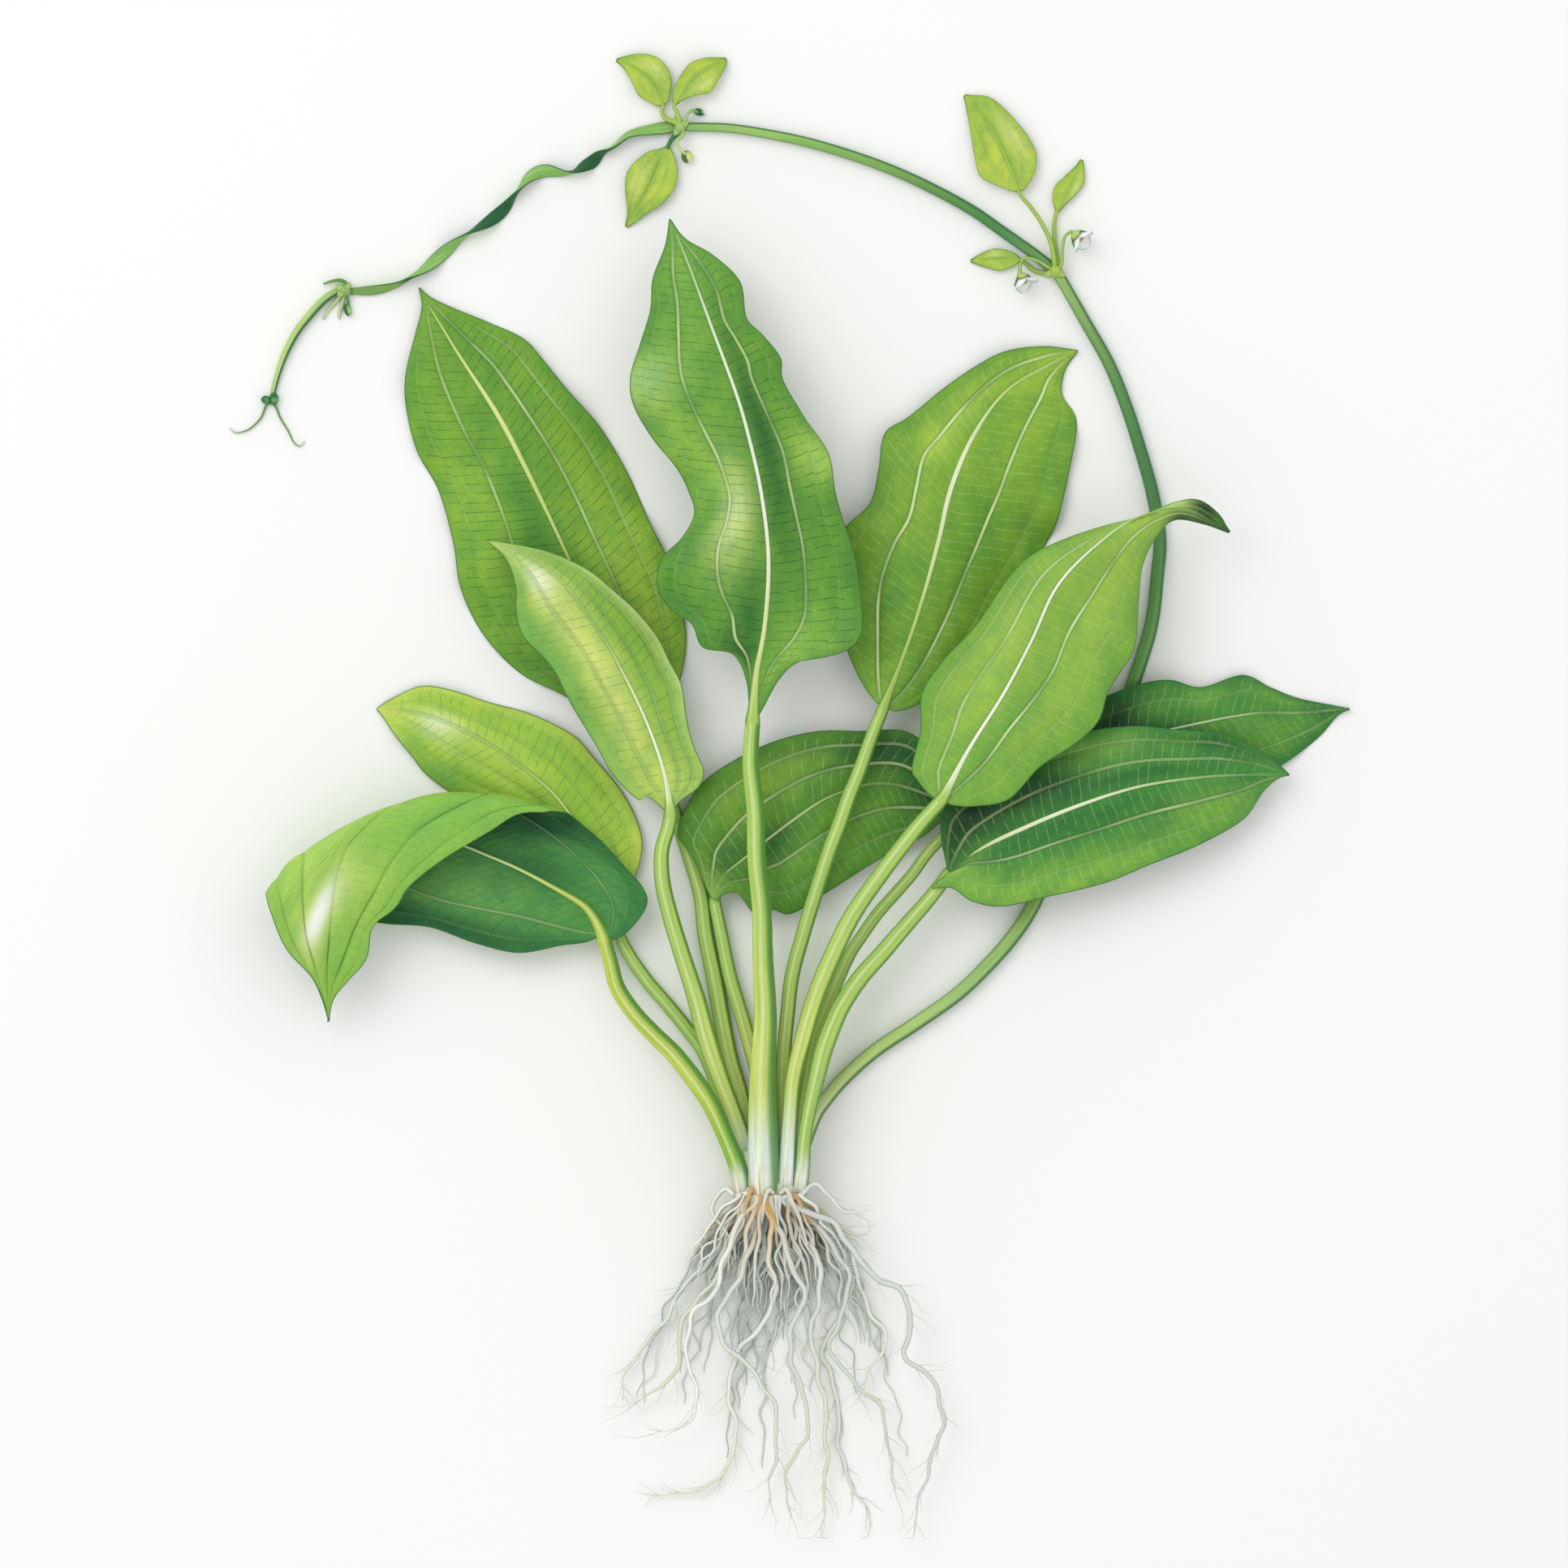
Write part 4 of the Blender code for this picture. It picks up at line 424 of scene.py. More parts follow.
# Each bud's middle, the way it points, its length, its width and its colours from base to tip
BUDS = {
    "plantlet_b_bud_1": ((-29.6, 440.7), (1, -0.3), 4.8, 2.9, ("#2F6E45", "#2A6A44", "#3F7F52", "#E6EEEC")),
    "plantlet_b_bud_2": ((-34.4, 422.2), (0.25, -1), 5.2, 4.7, ("#6FA04C", "#D3DA86", "#DDE09A", "#E9ECC8")),
    "knot_bud": ((-173.8, 359.4), (0.25, -1), 5.2, 3.2, ("#3F7C4A", "#86B068", "#A9C886", "#6F9E5C")),
}
# The knobs at the runner's tip, in the same way
TIP_KNOBS = (((-207.4, 322.4), (-1, 0.1), 4.0, 3.4, ("#2A6A40", "#5F9858", "#3B7A48", "#2A6A40")),
             ((-204, 323), (0.15, -1), 5.0, 3.8, ("#3F7F4A", "#2A6A40", "#6FA862", "#2A6A40")))
BULB_RINGS = 17
BULB_RIBS = 0.05        # depth of a bud's and a knob's three ribs over its radius

# Flowers: each one's stalk up to its base, the way it faces, its length and its turn
FLOWERS = {
    "plantlet_a_flower_1": (((119.2, 378.2, 6.2), (119.6, 384, 6.6), (120.4, 389, 6.2), (123, 391.3, 5.4),
                             (124.2, 390.6, 5.4)), (0.72, -0.62, 0.3), 8.8, 0.5),
    "plantlet_a_flower_2": (((113.8, 376.8, 5.2), (109, 379.6, 5), (104, 380.6, 5.4), (102.2, 377.6, 5),
                             (102.2, 373.8, 5.2)), (0.42, -0.86, 0.3), 8.2, 0.2),
}
# Their petals and sepals: length over the flower's, width over length, curl, lean, turn and place
FLOWER_PARTS = {
    "petal": (0.95, 0.95, -0.12, 0.95, 0.0, 0.3),
    "sepal": (0.62, 0.95, 0.1, 0.62, 1.05, -0.3),
}
STAMENS = 9
STAMEN_RINGS = 8
STAMEN_LENGTH = 0.45    # over the flower's
STAMEN_TAPER = ((0, 5, 6, 7), (0.12, 0.12, 0.36, 0.2))      # rings, and half widths there
STAMEN_PLACE = (1.15, 0.2, 0.6)     # lean, turn and place
PISTIL_RINGS = 9
PISTIL_REACH = (0.6, 2.4)   # heights of the carpels' foot and top in the flower
WHORL_RADIUS = 0.5      # of the ring in which petals, sepals and stamens stand
FLOWER_STALK_RINGS = 48
FLOWER_STALK = ((0, 0.75, 0.94, 1), (0.75, 0.6, 0.8, 1.3))  # shares of its length, and half widths there
PETAL_ROWS = 24
PETAL_SHEET = 0.18      # thickness of a petal
PETAL_CUP = 0.22        # how far its edges stand above its middle, over its length
PETAL_RUFFLE = 0.04     # and how far they rise and fall

# Roots: each one's level, which is how high it runs in the tuft, its width and its route from the crown's end
ROOT_LEVEL_HEIGHT = 4.0     # height from one level to the next
ROOT_TAPER = (1.0, 0.9, 0.75, 0.62, 0.5)    # width over the first one, at even steps
ROOT_FADE_START = -35.0     # Y from which a root comes down from its level
ROOT_FADE_END = -125.0      # Y up to which it does
ROOT_FADE = 0.5             # share of its level that it loses
ROOTS = {
    "01": (3, 2.4, ((-9.5, -7.4), (-14, -11), (-19, -9), (-22.5, -5), (-24.5, -8), (-23, -13))),
    "02": (0, 2.6, ((-9, -7.4), (-15, -10.5), (-22, -14.5), (-26.5, -21.5), (-28, -28.5))),
    "03": (1, 2.6, ((-11, -7.4), (-15.5, -15), (-23.5, -30), (-33.5, -38.5), (-38.5, -46.5), (-45.5, -57.5),
                    (-56.5, -71.5), (-60, -78.5), (-61, -88.5))),
    "04": (2, 2.8, ((-9, -7.4), (-12, -17), (-16.5, -26.5), (-26.5, -43.5), (-36, -53.5), (-37.5, -68.5),
                    (-41.5, -80), (-51.5, -86), (-57.5, -91))),
    "05": (4, 2.4, ((-7, -7.4), (-15, -18), (-23.5, -43.5), (-31.5, -51.5), (-34.5, -61.5), (-33.5, -75),
                    (-30, -88.5), (-35, -97.5), (-49.5, -102.5))),
    "06": (3, 2.6, ((-4.5, -7.4), (-8.5, -26.5), (-16.5, -43.5), (-22.5, -55), (-18.5, -65), (-6.5, -77.5),
                    (1.5, -91.5), (2, -108.5), (-0.5, -123.5), (0, -132.5))),
    "07": (1, 2.6, ((-4.5, -7.4), (-1.5, -20), (-1, -33.5), (2, -43.5), (-1.5, -53.5), (-15, -71.5),
                    (-17, -86.5), (-14.5, -106.5), (-25, -123.5), (-36.5, -126), (-50, -128.5))),
    "08": (0, 2.2, ((-1, -7.4), (4, -26), (10, -46.5), (2.5, -56.5), (-2.5, -75))),
    "09": (4, 2.6, ((0, -7.4), (6, -26), (13.5, -46.5), (7.5, -60), (10, -76.5), (15.5, -95), (11.5, -108.5),
                    (5.5, -120), (8.5, -136.5))),
    "10": (2, 2.8, ((2, -7.4), (10, -16.5), (18.5, -29.5), (20.5, -40), (16.5, -60), (18.5, -73.5), (22, -90),
                    (22.5, -116.5), (20.5, -145))),
    "11": (0, 2.6, ((8, -7.4), (16, -12), (23.5, -20), (28.5, -33.5), (27.5, -53.5), (21, -69.5),
                    (26.5, -83.5), (28.5, -110), (33.5, -124), (38.5, -131.5), (41, -139.5))),
    "12": (3, 2.4, ((6, -7.4), (20, -18), (30.5, -33.5), (31, -46.5), (24.5, -66.5), (33.5, -80), (45, -91.5),
                    (48.5, -110), (51.5, -128.5))),
    "13": (1, 2.4, ((10, -7.4), (25, -15), (33.5, -29.5), (38.5, -48.5), (46.5, -60), (45, -69.5),
                    (38.5, -80), (36.5, -88.5))),
    "14": (4, 2.8, ((9, -7.4), (26.5, -16.5), (38.5, -33.5), (53.5, -44), (57.5, -56.5), (54.5, -68.5),
                    (66, -80), (70.5, -95), (66, -111.5), (60.5, -130), (58.5, -143.5))),
    "15": (5, 2.4, ((6, -7.4), (14, -8.6), (21, -5), (27, -8.5), (33.5, -11.5), (41.5, -15))),
    "16": (2, 2.6, ((10, -7.4), (17, -9), (25, -13.5), (31.5, -20), (39.5, -20))),
}

# veins: where each blade's side veins run, as shares of its half width from -1 at its left edge to 1 at its
# right, and how plainly each one shows. rib: the midrib's widths and colours from base to tip, the whitest
# stretches partly a painted highlight.
# plain, edge, ruffle: the tissue's colour, its colour at the edges and how far those rise and fall.
# spots: darker and paler places, partly the tissue's own tone and partly painted shade, painted shadows of
# the leaves above and painted highlights: along and across the blade, their two sizes and their colour.
TONES = {
    "01": {
        "veins": {-0.8: 0.1, -0.42: 0.7, 0.36: 0.9, 0.74: 0.4},
        "rib": ((1.3, 1.2, 1.3, 1.8, 2.5, 1.6, 0.3), ("#A9C45C", "#B5CC70", "#C9DA84", "#D5E092", "#B5CF70")),
        "plain": "#79A841", "edge": "#6BA03F", "ruffle": 0.7,
        "spots": ((0.3, 0.5, 0.2, 0.5, "#8CB84A"), (0.45, -0.2, 0.25, 0.5, "#6FA343"),
                  (0.75, 0.1, 0.2, 0.6, "#679C40"), (0.15, -0.6, 0.12, 0.3, "#5A9040"),
                  (0.55, -0.7, 0.15, 0.3, "#86B54B"), (0.2, 0.6, 0.25, 0.4, "#A0C654"),
                  (0.5, -0.15, 0.12, 0.2, "#4F8C3E")),
    },
    "02": {
        "veins": {-0.84: 0.1, -0.46: 1.0, 0.4: 0.9, 0.76: 0.1},
        "rib": ((2.8, 2.5, 2.0, 1.7, 1.6, 1.3, 0.4),
                ("#BACF72", "#DCE6AE", "#F2F5E8", "#E6EEDC", "#D3E2C4", "#9CC27A")),
        "plain": "#659C42", "edge": "#548F40", "ruffle": 1.6,
        "spots": ((0.42, -0.36, 0.1, 0.22, "#D0E0A4"), (0.6, 0.2, 0.3, 0.2, "#226033"),
                  (0.2, -0.2, 0.08, 0.2, "#2E6E36"), (0.12, 0.95, 0.1, 0.25, "#3B7A42"),
                  (0.75, -0.3, 0.15, 0.5, "#6FA44A"), (0.13, -0.5, 0.06, 0.3, "#215E2E"),
                  (0.14, 0.6, 0.1, 0.4, "#8CBB58"), (0.55, -0.75, 0.1, 0.3, "#8DBB58"),
                  (0.9, 0.0, 0.1, 0.8, "#74A94C"), (0.7, -0.85, 0.05, 0.3, "#A5CB86"),
                  (0.52, 0.85, 0.05, 0.3, "#A3CB6A")),
    },
    "03": {
        "veins": {-0.8: 0.1, -0.45: 1.0, 0.42: 1.0, 0.78: 0.1},
        "rib": ((2.6, 1.9, 1.9, 2.4, 2.2, 1.1, 0.3),
                ("#AFCA66", "#C3D780", "#DCE8B0", "#EDF2CE", "#C6DA80", "#A3C659")),
        "plain": "#82AE45", "edge": "#6BA040", "ruffle": 1.2,
        "spots": ((0.25, -0.3, 0.15, 0.5, "#659B3E"), (0.65, -0.4, 0.1, 0.2, "#A9CB5C"),
                  (0.7, 0.3, 0.15, 0.4, "#7FAE44"), (0.45, 0.4, 0.15, 0.4, "#649C3C"),
                  (0.1, 0.4, 0.1, 0.5, "#78AC4A"), (0.92, 0.2, 0.1, 0.6, "#9ABF4E")),
    },
    "04": {
        "veins": {-0.78: 0.2, -0.4: 0.6, 0.36: 0.6, 0.72: 0.6},
        "rib": ((1.9, 1.4, 1.2, 0.8, 0.6, 0.4, 0.2),
                ("#D3E294", "#F6F8E6", "#E6EEBE", "#7FAF52", "#86B35C", "#8BB864")),
        "plain": "#9FC264", "edge": "#93C068", "ruffle": 0.7,
        "spots": ((0.5, -0.3, 0.3, 0.25, "#D5E090"), (0.6, -0.95, 0.35, 0.25, "#74AE5C"),
                  (0.5, 0.5, 0.35, 0.25, "#80B44A"), (0.8, -0.3, 0.07, 0.25, "#EFF2D2"),
                  (0.08, 0.0, 0.1, 0.8, "#BFD878"), (0.93, 0.0, 0.08, 0.9, "#B9D48C"),
                  (0.55, 1.0, 0.3, 0.12, "#CFE3A8")),
    },
    "05": {
        "veins": {-0.78: 0.2, -0.42: 0.6, 0.34: 1.0, 0.7: 0.15},
        "rib": ((2.2, 1.7, 1.5, 1.4, 1.1, 0.6, 0.2),
                ("#DCE8B4", "#FBFCF4", "#EEF3DC", "#F4F7E6", "#A9CB72", "#2F6E40")),
        "plain": "#85B052", "edge": "#6FA648", "ruffle": 0.8,
        "spots": ((0.3, -0.3, 0.22, 0.35, "#9AC25C"), (0.5, 0.5, 0.2, 0.25, "#98C25A"),
                  (0.2, 0.3, 0.2, 0.15, "#6DA850"), (0.08, 0.0, 0.1, 0.8, "#76AE50"),
                  (0.77, 0.0, 0.12, 0.6, "#A4C95E"), (0.865, -0.8, 0.035, 0.5, "#C3DA90"),
                  (0.885, 0.95, 0.035, 0.9, "#063427"), (0.935, 0.2, 0.04, 1.6, "#0C452C"),
                  (0.995, 0.0, 0.05, 2.0, "#0F4C30"), (0.925, -0.6, 0.03, 0.5, "#022419")),
    },
    "06": {
        "veins": {-0.7: 0.1, -0.36: 0.3, 0.4: 0.4, 0.76: 0.1},
        "rib": ((1.6, 1.3, 1.1, 0.9, 0.5, 0.4, 0.2),
                ("#C9DA7A", "#E6EDB4", "#DDE79C", "#8DB84C", "#7FAE46", "#9CC25A")),
        "plain": "#A6CC52", "edge": "#C2DA70", "ruffle": 0.5,
        "spots": ((0.8, -0.1, 0.08, 0.3, "#EDF2D6"), (0.6, -0.1, 0.2, 0.4, "#B4D26A"),
                  (0.7, -0.9, 0.2, 0.3, "#6FAA50"), (0.3, 0.1, 0.12, 0.3, "#93C44F"),
                  (0.97, 0.0, 0.08, 0.9, "#D2E07C"), (0.5, 0.6, 0.2, 0.3, "#93C352"),
                  (0.06, 0.1, 0.12, 1.0, "#C0DA68")),
    },
    # Leaf 07's front is the underside of its base, darkened with painted shade below its fold, with a painted
    # shadow at the fold itself. back_: the tones of its upper face where it hangs over, with a painted
    # highlight.
    "07": {
        "veins": {-0.82: 0.2, -0.5: 0.8, 0.5: 0.8, 0.82: 0.2},
        "rib": ((3.2, 2.8, 2.0, 1.5, 1.3, 1.1, 0.9), ("#B4C853", "#B9CC5E", "#C6D990", "#C9DBA6", "#B4CB8E")),
        "plain": "#4F9252", "edge": "#2F7445", "ruffle": 0,
        "spots": ((0.1, 0.4, 0.1, 0.4, "#4E9355"), (0.28, -0.35, 0.14, 0.3, "#68A45E"),
                  (0.4, 0.0, 0.07, 1.2, "#0B3A2A"), (0.33, 0.5, 0.06, 0.3, "#17503A"),
                  (0.2, 0.1, 0.08, 0.25, "#2A6A42"), (0.24, -0.9, 0.15, 0.25, "#1B5A3A")),
        "back_plain": "#9AC560", "back_edge": "#86BB5A",
        "back_spots": ((0.75, -0.25, 0.08, 0.45, "#D5E4A2"), (0.75, -0.25, 0.045, 0.25, "#FFFFFC"),
                       (0.6, 0.5, 0.1, 0.4, "#7DBB5C"), (0.9, 0.2, 0.1, 0.6, "#8CBF5C"),
                       (0.55, -0.4, 0.1, 0.4, "#A8D070")),
    },
    "08": {
        "veins": {-0.74: 0.5, -0.38: 0.9, 0.36: 0.8, 0.72: 0.2},
        "rib": ((2.6, 1.8, 1.2, 0.9, 0.7, 0.5, 0.2), ("#8DB348", "#B1CC74", "#C3D790", "#8FB566", "#5F9144")),
        "plain": "#5A8F36", "edge": "#4F8636", "ruffle": 0.5,
        "spots": ((0.12, -0.2, 0.1, 0.3, "#2D6434"), (0.75, -0.6, 0.18, 0.35, "#1F5836"),
                  (0.45, 0.5, 0.2, 0.4, "#6FA347"), (0.9, 0.0, 0.1, 0.6, "#1F5836"),
                  (0.4, -0.55, 0.15, 0.3, "#80AA48"), (0.3, 0.1, 0.12, 0.25, "#2E6736"),
                  (0.02, 0.0, 0.07, 1.0, "#86B052")),
    },
    "09": {
        "veins": {-0.6: 0.12, 0.6: 0.35},
        "rib": ((1.8, 1.5, 1.2, 1.0, 0.8, 0.5, 0.2), ("#7FAA62", "#A9C690", "#D3E2C0", "#C3D8AC", "#86B066")),
        "plain": "#458A42", "edge": "#2F7440", "ruffle": 0.6,
        "spots": ((0.22, 0.0, 0.22, 1.2, "#0A3722"), (0.42, -0.4, 0.06, 0.7, "#0A3722"),
                  (0.75, 0.35, 0.15, 0.4, "#67A04A"), (0.62, -0.65, 0.1, 0.3, "#64A04C"),
                  (0.8, -0.6, 0.1, 0.25, "#5C9848"), (0.52, 0.4, 0.1, 0.5, "#174F30"),
                  (0.95, 0.0, 0.06, 0.6, "#2F6E3D")),
    },
    "10": {
        "veins": {-0.76: 0.3, -0.4: 0.5, 0.36: 1.0, 0.72: 0.2},
        "rib": ((2.8, 2.5, 2.1, 1.6, 1.2, 0.8, 0.3),
                ("#A9C66A", "#DDE8B8", "#E9F0D2", "#C6DAA4", "#8CB56C", "#6FA255")),
        "plain": "#458C46", "edge": "#4F9248", "ruffle": 0.5,
        "spots": ((0.35, 0.85, 0.35, 0.3, "#82B552"), (0.08, 0.6, 0.08, 0.5, "#8CB858"),
                  (0.4, 0.2, 0.28, 0.16, "#337840"), (0.78, 0.5, 0.12, 0.3, "#79AC50"),
                  (0.16, -0.6, 0.2, 0.55, "#06281A"), (0.36, -0.45, 0.1, 0.3, "#0F4428"),
                  (0.54, -0.7, 0.12, 0.22, "#72A552"), (0.55, -0.2, 0.25, 0.12, "#2C6B3B"),
                  (0.82, -0.8, 0.14, 0.25, "#2A6638")),
    },
}


# Nodes that come up again and again
ATTRIBUTE = "ShaderNodeAttribute"
COMBINE = "ShaderNodeCombineXYZ"
MATH = "ShaderNodeMath"
MIX = "ShaderNodeMix"
NOISE = "ShaderNodeTexNoise"
REMAP = "ShaderNodeMapRange"
SEPARATE = "ShaderNodeSeparateXYZ"
VECTOR = "ShaderNodeVectorMath"

# Relief and colours of the blades
NO_VEIN = 1e3           # distance that stands for no vein on that side
VEIN_ROOM = 6.0         # strips between veins that are narrower than this show them less
SWELL_ROOM = 12.0       # and strips narrower than this swell less
STRIP_LAG = 0.37        # how much further on a strip's cross veins sit than the last one's, in spacings
EDGE_LAG = 1.7          # turn by which the waves of the two edges differ from those of the middle
RUFFLE_START = 1 / 6    # share of the length in which the waves of the edge grow and fade
EDGE_TONE_REACH = (0.55, 1.0)   # shares of the half width between which the edge's colour comes in
EDGE_TONE_SHARE = 0.8   # how far the edge's colour replaces the plain one
SPOT_SHARE = 0.9        # the same for the darker and paler places
UNDERSIDE_COLOUR = "#6E9468"
UNDERSIDE_SHARE = 0.3   # of this dull colour
UNDERSIDE_KEPT = 0.6    # share of the upper face's colour on the underside

# Fineness of the meshes
LENGTH_DETAIL = 200     # places that measure a route's length
BLADE_STEP = 1.3        # rows of a blade, apart along its rib
STRIP_STEPS = 9         # columns of a blade between one vein and the next
FOLD_ROWS = 90          # rows on each side of the fold of leaf 07
CURVE_DETAIL = 16       # places worked out between two given points before a curve is spaced evenly
STEM_SPACING = 1.6      # rings of a stem, apart
CAP_STEPS = 5           # rings that close a stem's round end
LEAST_WIDTH = 0.06      # share of its width that a round end closes to
SHOOT_DETAIL = 100      # places that measure a shoot's length
SHOOT_SPACING = 0.5     # its rings, apart
SHOOT_LEAST = 0.4       # and its least width
CLEARANCE = 0.06        # between the surface and whatever lies on it

# Crown, sheaths and stalks
CROWN_RINGS = (         # rings of the crown and its sheaths: Y, half width, middle in X, lowest and highest Z
    (-7.3, 4, -0.7, 8, 15), (-7.2, 11, -0.7, 2, 20), (-5.5, 14.2, -0.7, 0, 23.6),
    (-1, 15.6, -0.7, -0.6, 25.2), (5, 16, -0.8, -0.3, 24.6), (11, 16.2, -1.2, 0.8, 22.6),
    (13.5, 15.2, -1.2, 1.6, 21.6), (9, 12.5, -1, 4, 18))
CROWN_GRID = (44, 144)  # its rings and the points round each
CROWN_LUMPS = ((0.07, 6.5, 0.6), (0.03, 15.5, 0))   # depth, half the number round the crown and turn
CROWN_LOWEST = 0.02     # height of its flat underside
CROWN_OCHRE = 0.45      # how ochre its root end is
CROWN_OCHRE_REACH = (-6.5, 0)   # Y between which the ochre fades
SHEATHS = 9             # ends of sheaths round it
SHEATH_POINTS = 2.2     # how far they rise and fall
SHEATH_GREEN = "#C9DDAE"     # their colour towards the stalks
SHEATH_GREEN_REACH = (2, 14)    # Y between which it comes in
# painted shade on the two sides of the crown and its sheaths
SHEATH_SHADE = "#B7C4A4"
STALK_FOOT = -5.0       # Y of the stalks' feet, inside the crown
CROWN_INNER = 0.85      # X of a hidden foot over that where the stalk or root leaves the crown
STALK_SUNK_END = 3      # Y up to which the feet bend down
STALK_HIGHLIGHT = "#E6EEB4"      # the painted highlight, a pale stripe along a stalk
STALK_STAIN = "#CF9F45"      # rusty stains at its foot
STAIN_LENGTH = 16       # how far up they reach
STALK_FLARE = 1.2       # width of a stalk's foot over its width above the crown
STALK_SINK = 4.0        # how far the feet bend down into the crown
FOLD_TRIM = 3.6         # stalk 07 ends this far inside the midrib
FOLD_GREEN = "#B4C853"       # the upper part of stalk 07
SHADED_STALKS = ("02", "07")
YOUNG_REACH = (0.5, 1.7)     # where the white turns into young green, over a stalk's white stretch
GREEN_REACH = (2, 5)         # and that into green
DEEP_STALKS = {"07": "#8DB942", "10": "#A3C566"}     # stalks that are darker above their white base
BLEACHING = {"07": 0.45, "02": 1.25, "05": 1.3, "10": 0.6, "06": 0.5}   # white stretch over the plain one

# Midribs
MIDRIB_LEAD = 7.0       # length of midrib inside its stalk
MIDRIB_SPLICE = 9.0     # length in which the stalk's width is lost
MIDRIB_LEAST = 0.1      # and its least half width
MIDRIB_SLEEVE = 1.03    # its width at the stalk's end over the stalk's
FOLD_SLEEVE = 1.2       # the same for leaf 07
MIDRIB_SPACING = 0.8    # distance of its rings
MIDRIB_BEND = 4.0       # length over which its bend at the stalk is rounded
MIDRIB_DEPTH = 0.4      # how deep its middle lies under the upper face, over the blade's thickness
MIDRIB_RISE = 0.3       # how far it stands out of the underside of leaf 07
MIDRIB_GROOVE = {0.0: 0.6}
MIDRIB_TUCK = 0.78      # width of its hidden start over the plain one
MIDRIB_END = 0.03       # share of its length that rounds off
MIDRIB_GREEN_END = 0.06     # and that in which the stalk's green fades

# Skins
SHINE = 0.22            # wet plant skin mirrors little of a white room
LINE_TONE = (0.3, 0.48, 0.42)   # the painted shade beside the veins and the dark cross veins, over the tissue's colour
DEEP, BRIGHT = (0.58, 0.76, 0.7), (1.3, 1.14, 0.66)     # darkest and brightest tissue over its plain colour
STEM_DEEP, STEM_BRIGHT = (0.8, 0.84, 0.8), (1.15, 1.1, 1.05)   # the same for the skin of stems

# Roots
ROOT_SEED = 7
ROOT_SPACING = 1.2      # rings of a root, apart
ROOT_START = -3.5       # Y of the main roots' hidden starts, inside the crown
ROOT_DROP = 9.0         # length in which a root comes down from the crown's top
CROWN_TOP = 25.0        # height at which the uppermost roots leave the crown
ROOT_TIP = 0.25         # radius of a root's rounded end over its width
ROOT_THINNING = 0.65    # share of its width that it loses towards its tip
ROOT_THINNING_START = 0.8   # and the share of its length from which it does
ROOT_MARGIN = 1         # between a root and the sides of the box that holds the plant
ROOT_GREY = 0.35        # how grey a main root is at most
ROOT_YOUNG = 0.6        # and how green it is at most
ROOT_YOUNG_REACH = (0.2, 0.9)   # shares of its length between which the green comes in
WAVE_START = 8.0        # length in which the waves grow and fade at its ends
ROOT_WAVES = ((21, 1.0), (12.5, 0.5))   # lengths of a root's waves and their shares
ROOT_ARCHES = {         # routes that two roots take instead of the plain ones of their solids
    "01": ((-9.5, -3), (-15, -3.4), (-18.4, -0.9), (-22.4, -3.6), (-23.4, -9.5), (-21, -16), (-15.5, -23)),
    "15": ((6, -4), (12.6, -3.4), (18.6, 0.6), (24.4, -4), (29.3, -10.3), (35, -11.6), (41.5, -15)),
}
TOP_LEVEL = 3           # roots of this level and above leave the crown at its top
OCHRE_REACH = 26        # how far the ochre of an old root reaches
LOOP_TAPER = ((0, 0.7, 1), (1, 0.8, 0.3))   # shares of a root's length, and of its width there
TUFT_TAPER = ((0, 0.6, 1), (1, 0.8, 0.3))
TUFT_LENGTHS = (22, 40)     # shortest and longest root of the tuft
TUFT_EXTRA = 34         # how much longer one is at the tuft's middle
TUFT_FAN = 52           # half angle of the tuft in degrees
TUFT_REACH = 13         # X of its outermost roots' starts
TUFT_START = -6         # and their Y
TUFT_TOP = 0.72         # depth above which a root starts on top of the crown
TUFT_TOP_START = -2.5   # and the Y of its start
TUFT_STRAY = 0.2        # how far a root's angle strays from the fan, in radians
TUFT_TURN = 0.55        # share of its slant that it loses towards its tip
TUFT_WAVES = (0.4, 1.3)     # depths of the roots' waves
TUFT_HEIGHT = CROWN_TOP - 2
TUFT_ROUNDING = 0.25    # share of that height that is missing at the tuft's two sides
TUFT_GREY = 0.75        # how far the lowest roots are greyed with painted shade from the roots above them
TUFT_HALF = (0.65, 1.3)     # half widths
TUFT_FALL = (0.55, 0.85)    # share of its height that a root loses towards its tip
STRAY_LENGTHS = (60, 122)   # the same measures of the thin long roots
STRAY_FAN = 50
STRAY_TURN = 0.75
STRAY_WAVES = (0.9, 2.0)
STRAY_GREY = (0.1, 0.6)
STRAY_MARGIN = 2        # between them and the sides of the box that holds the plant
STRAY_REACH = 11
STRAY_HALF = (0.4, 0.75)
STRAY_HEIGHTS = (3, 15)     # height at which one leaves the crown
HAIR_WIDTH = 0.42       # a rootlet's thickness at its start
HAIRLESS = 22           # rings of a root before its first rootlet
HAIRLESS_TIP = 4        # and after its last one
HAIR_LEAST = 12         # further rings that a root with rootlets has at least
HAIR_MARGIN = 0.3       # between a rootlet and the box that holds the plant
HAIR_STRAY = 6.0        # how far a rootlet's tip strays
HAIR_COLOUR = "#DDE4DC"
CROWN_LOOPS = (         # roots that arch over the crown's edge: route, width and how ochre they are
    (((0.8, -2.5, 24.6), (-1, -1.4, 27), (-2.6, -5.5, 26), (-3.5, -12.5, 19), (-6, -24, 10)), 1.9, 0.2),
    (((4, -2.5, 24.6), (6.4, -1.2, 27), (8.7, -6.5, 26), (11.7, -13.3, 19), (16, -28.3, 9)), 2.2, 0.3),
    (((-7, -3, 23.5), (-8, -1.2, 26), (-10, -6.5, 25), (-13, -16, 15), (-19, -29, 8)), 2.0, 0.9),
    (((-2.5, -3, 24), (-1.8, -6.5, 25), (1.5, -15, 20), (3, -26, 12), (7.5, -38, 8)), 2.0, 1.0),
    (((8, -3, 23), (11, -5.5, 24), (14, -14, 17), (17, -20, 12), (18, -29, 8)), 1.8, 0.8),
)

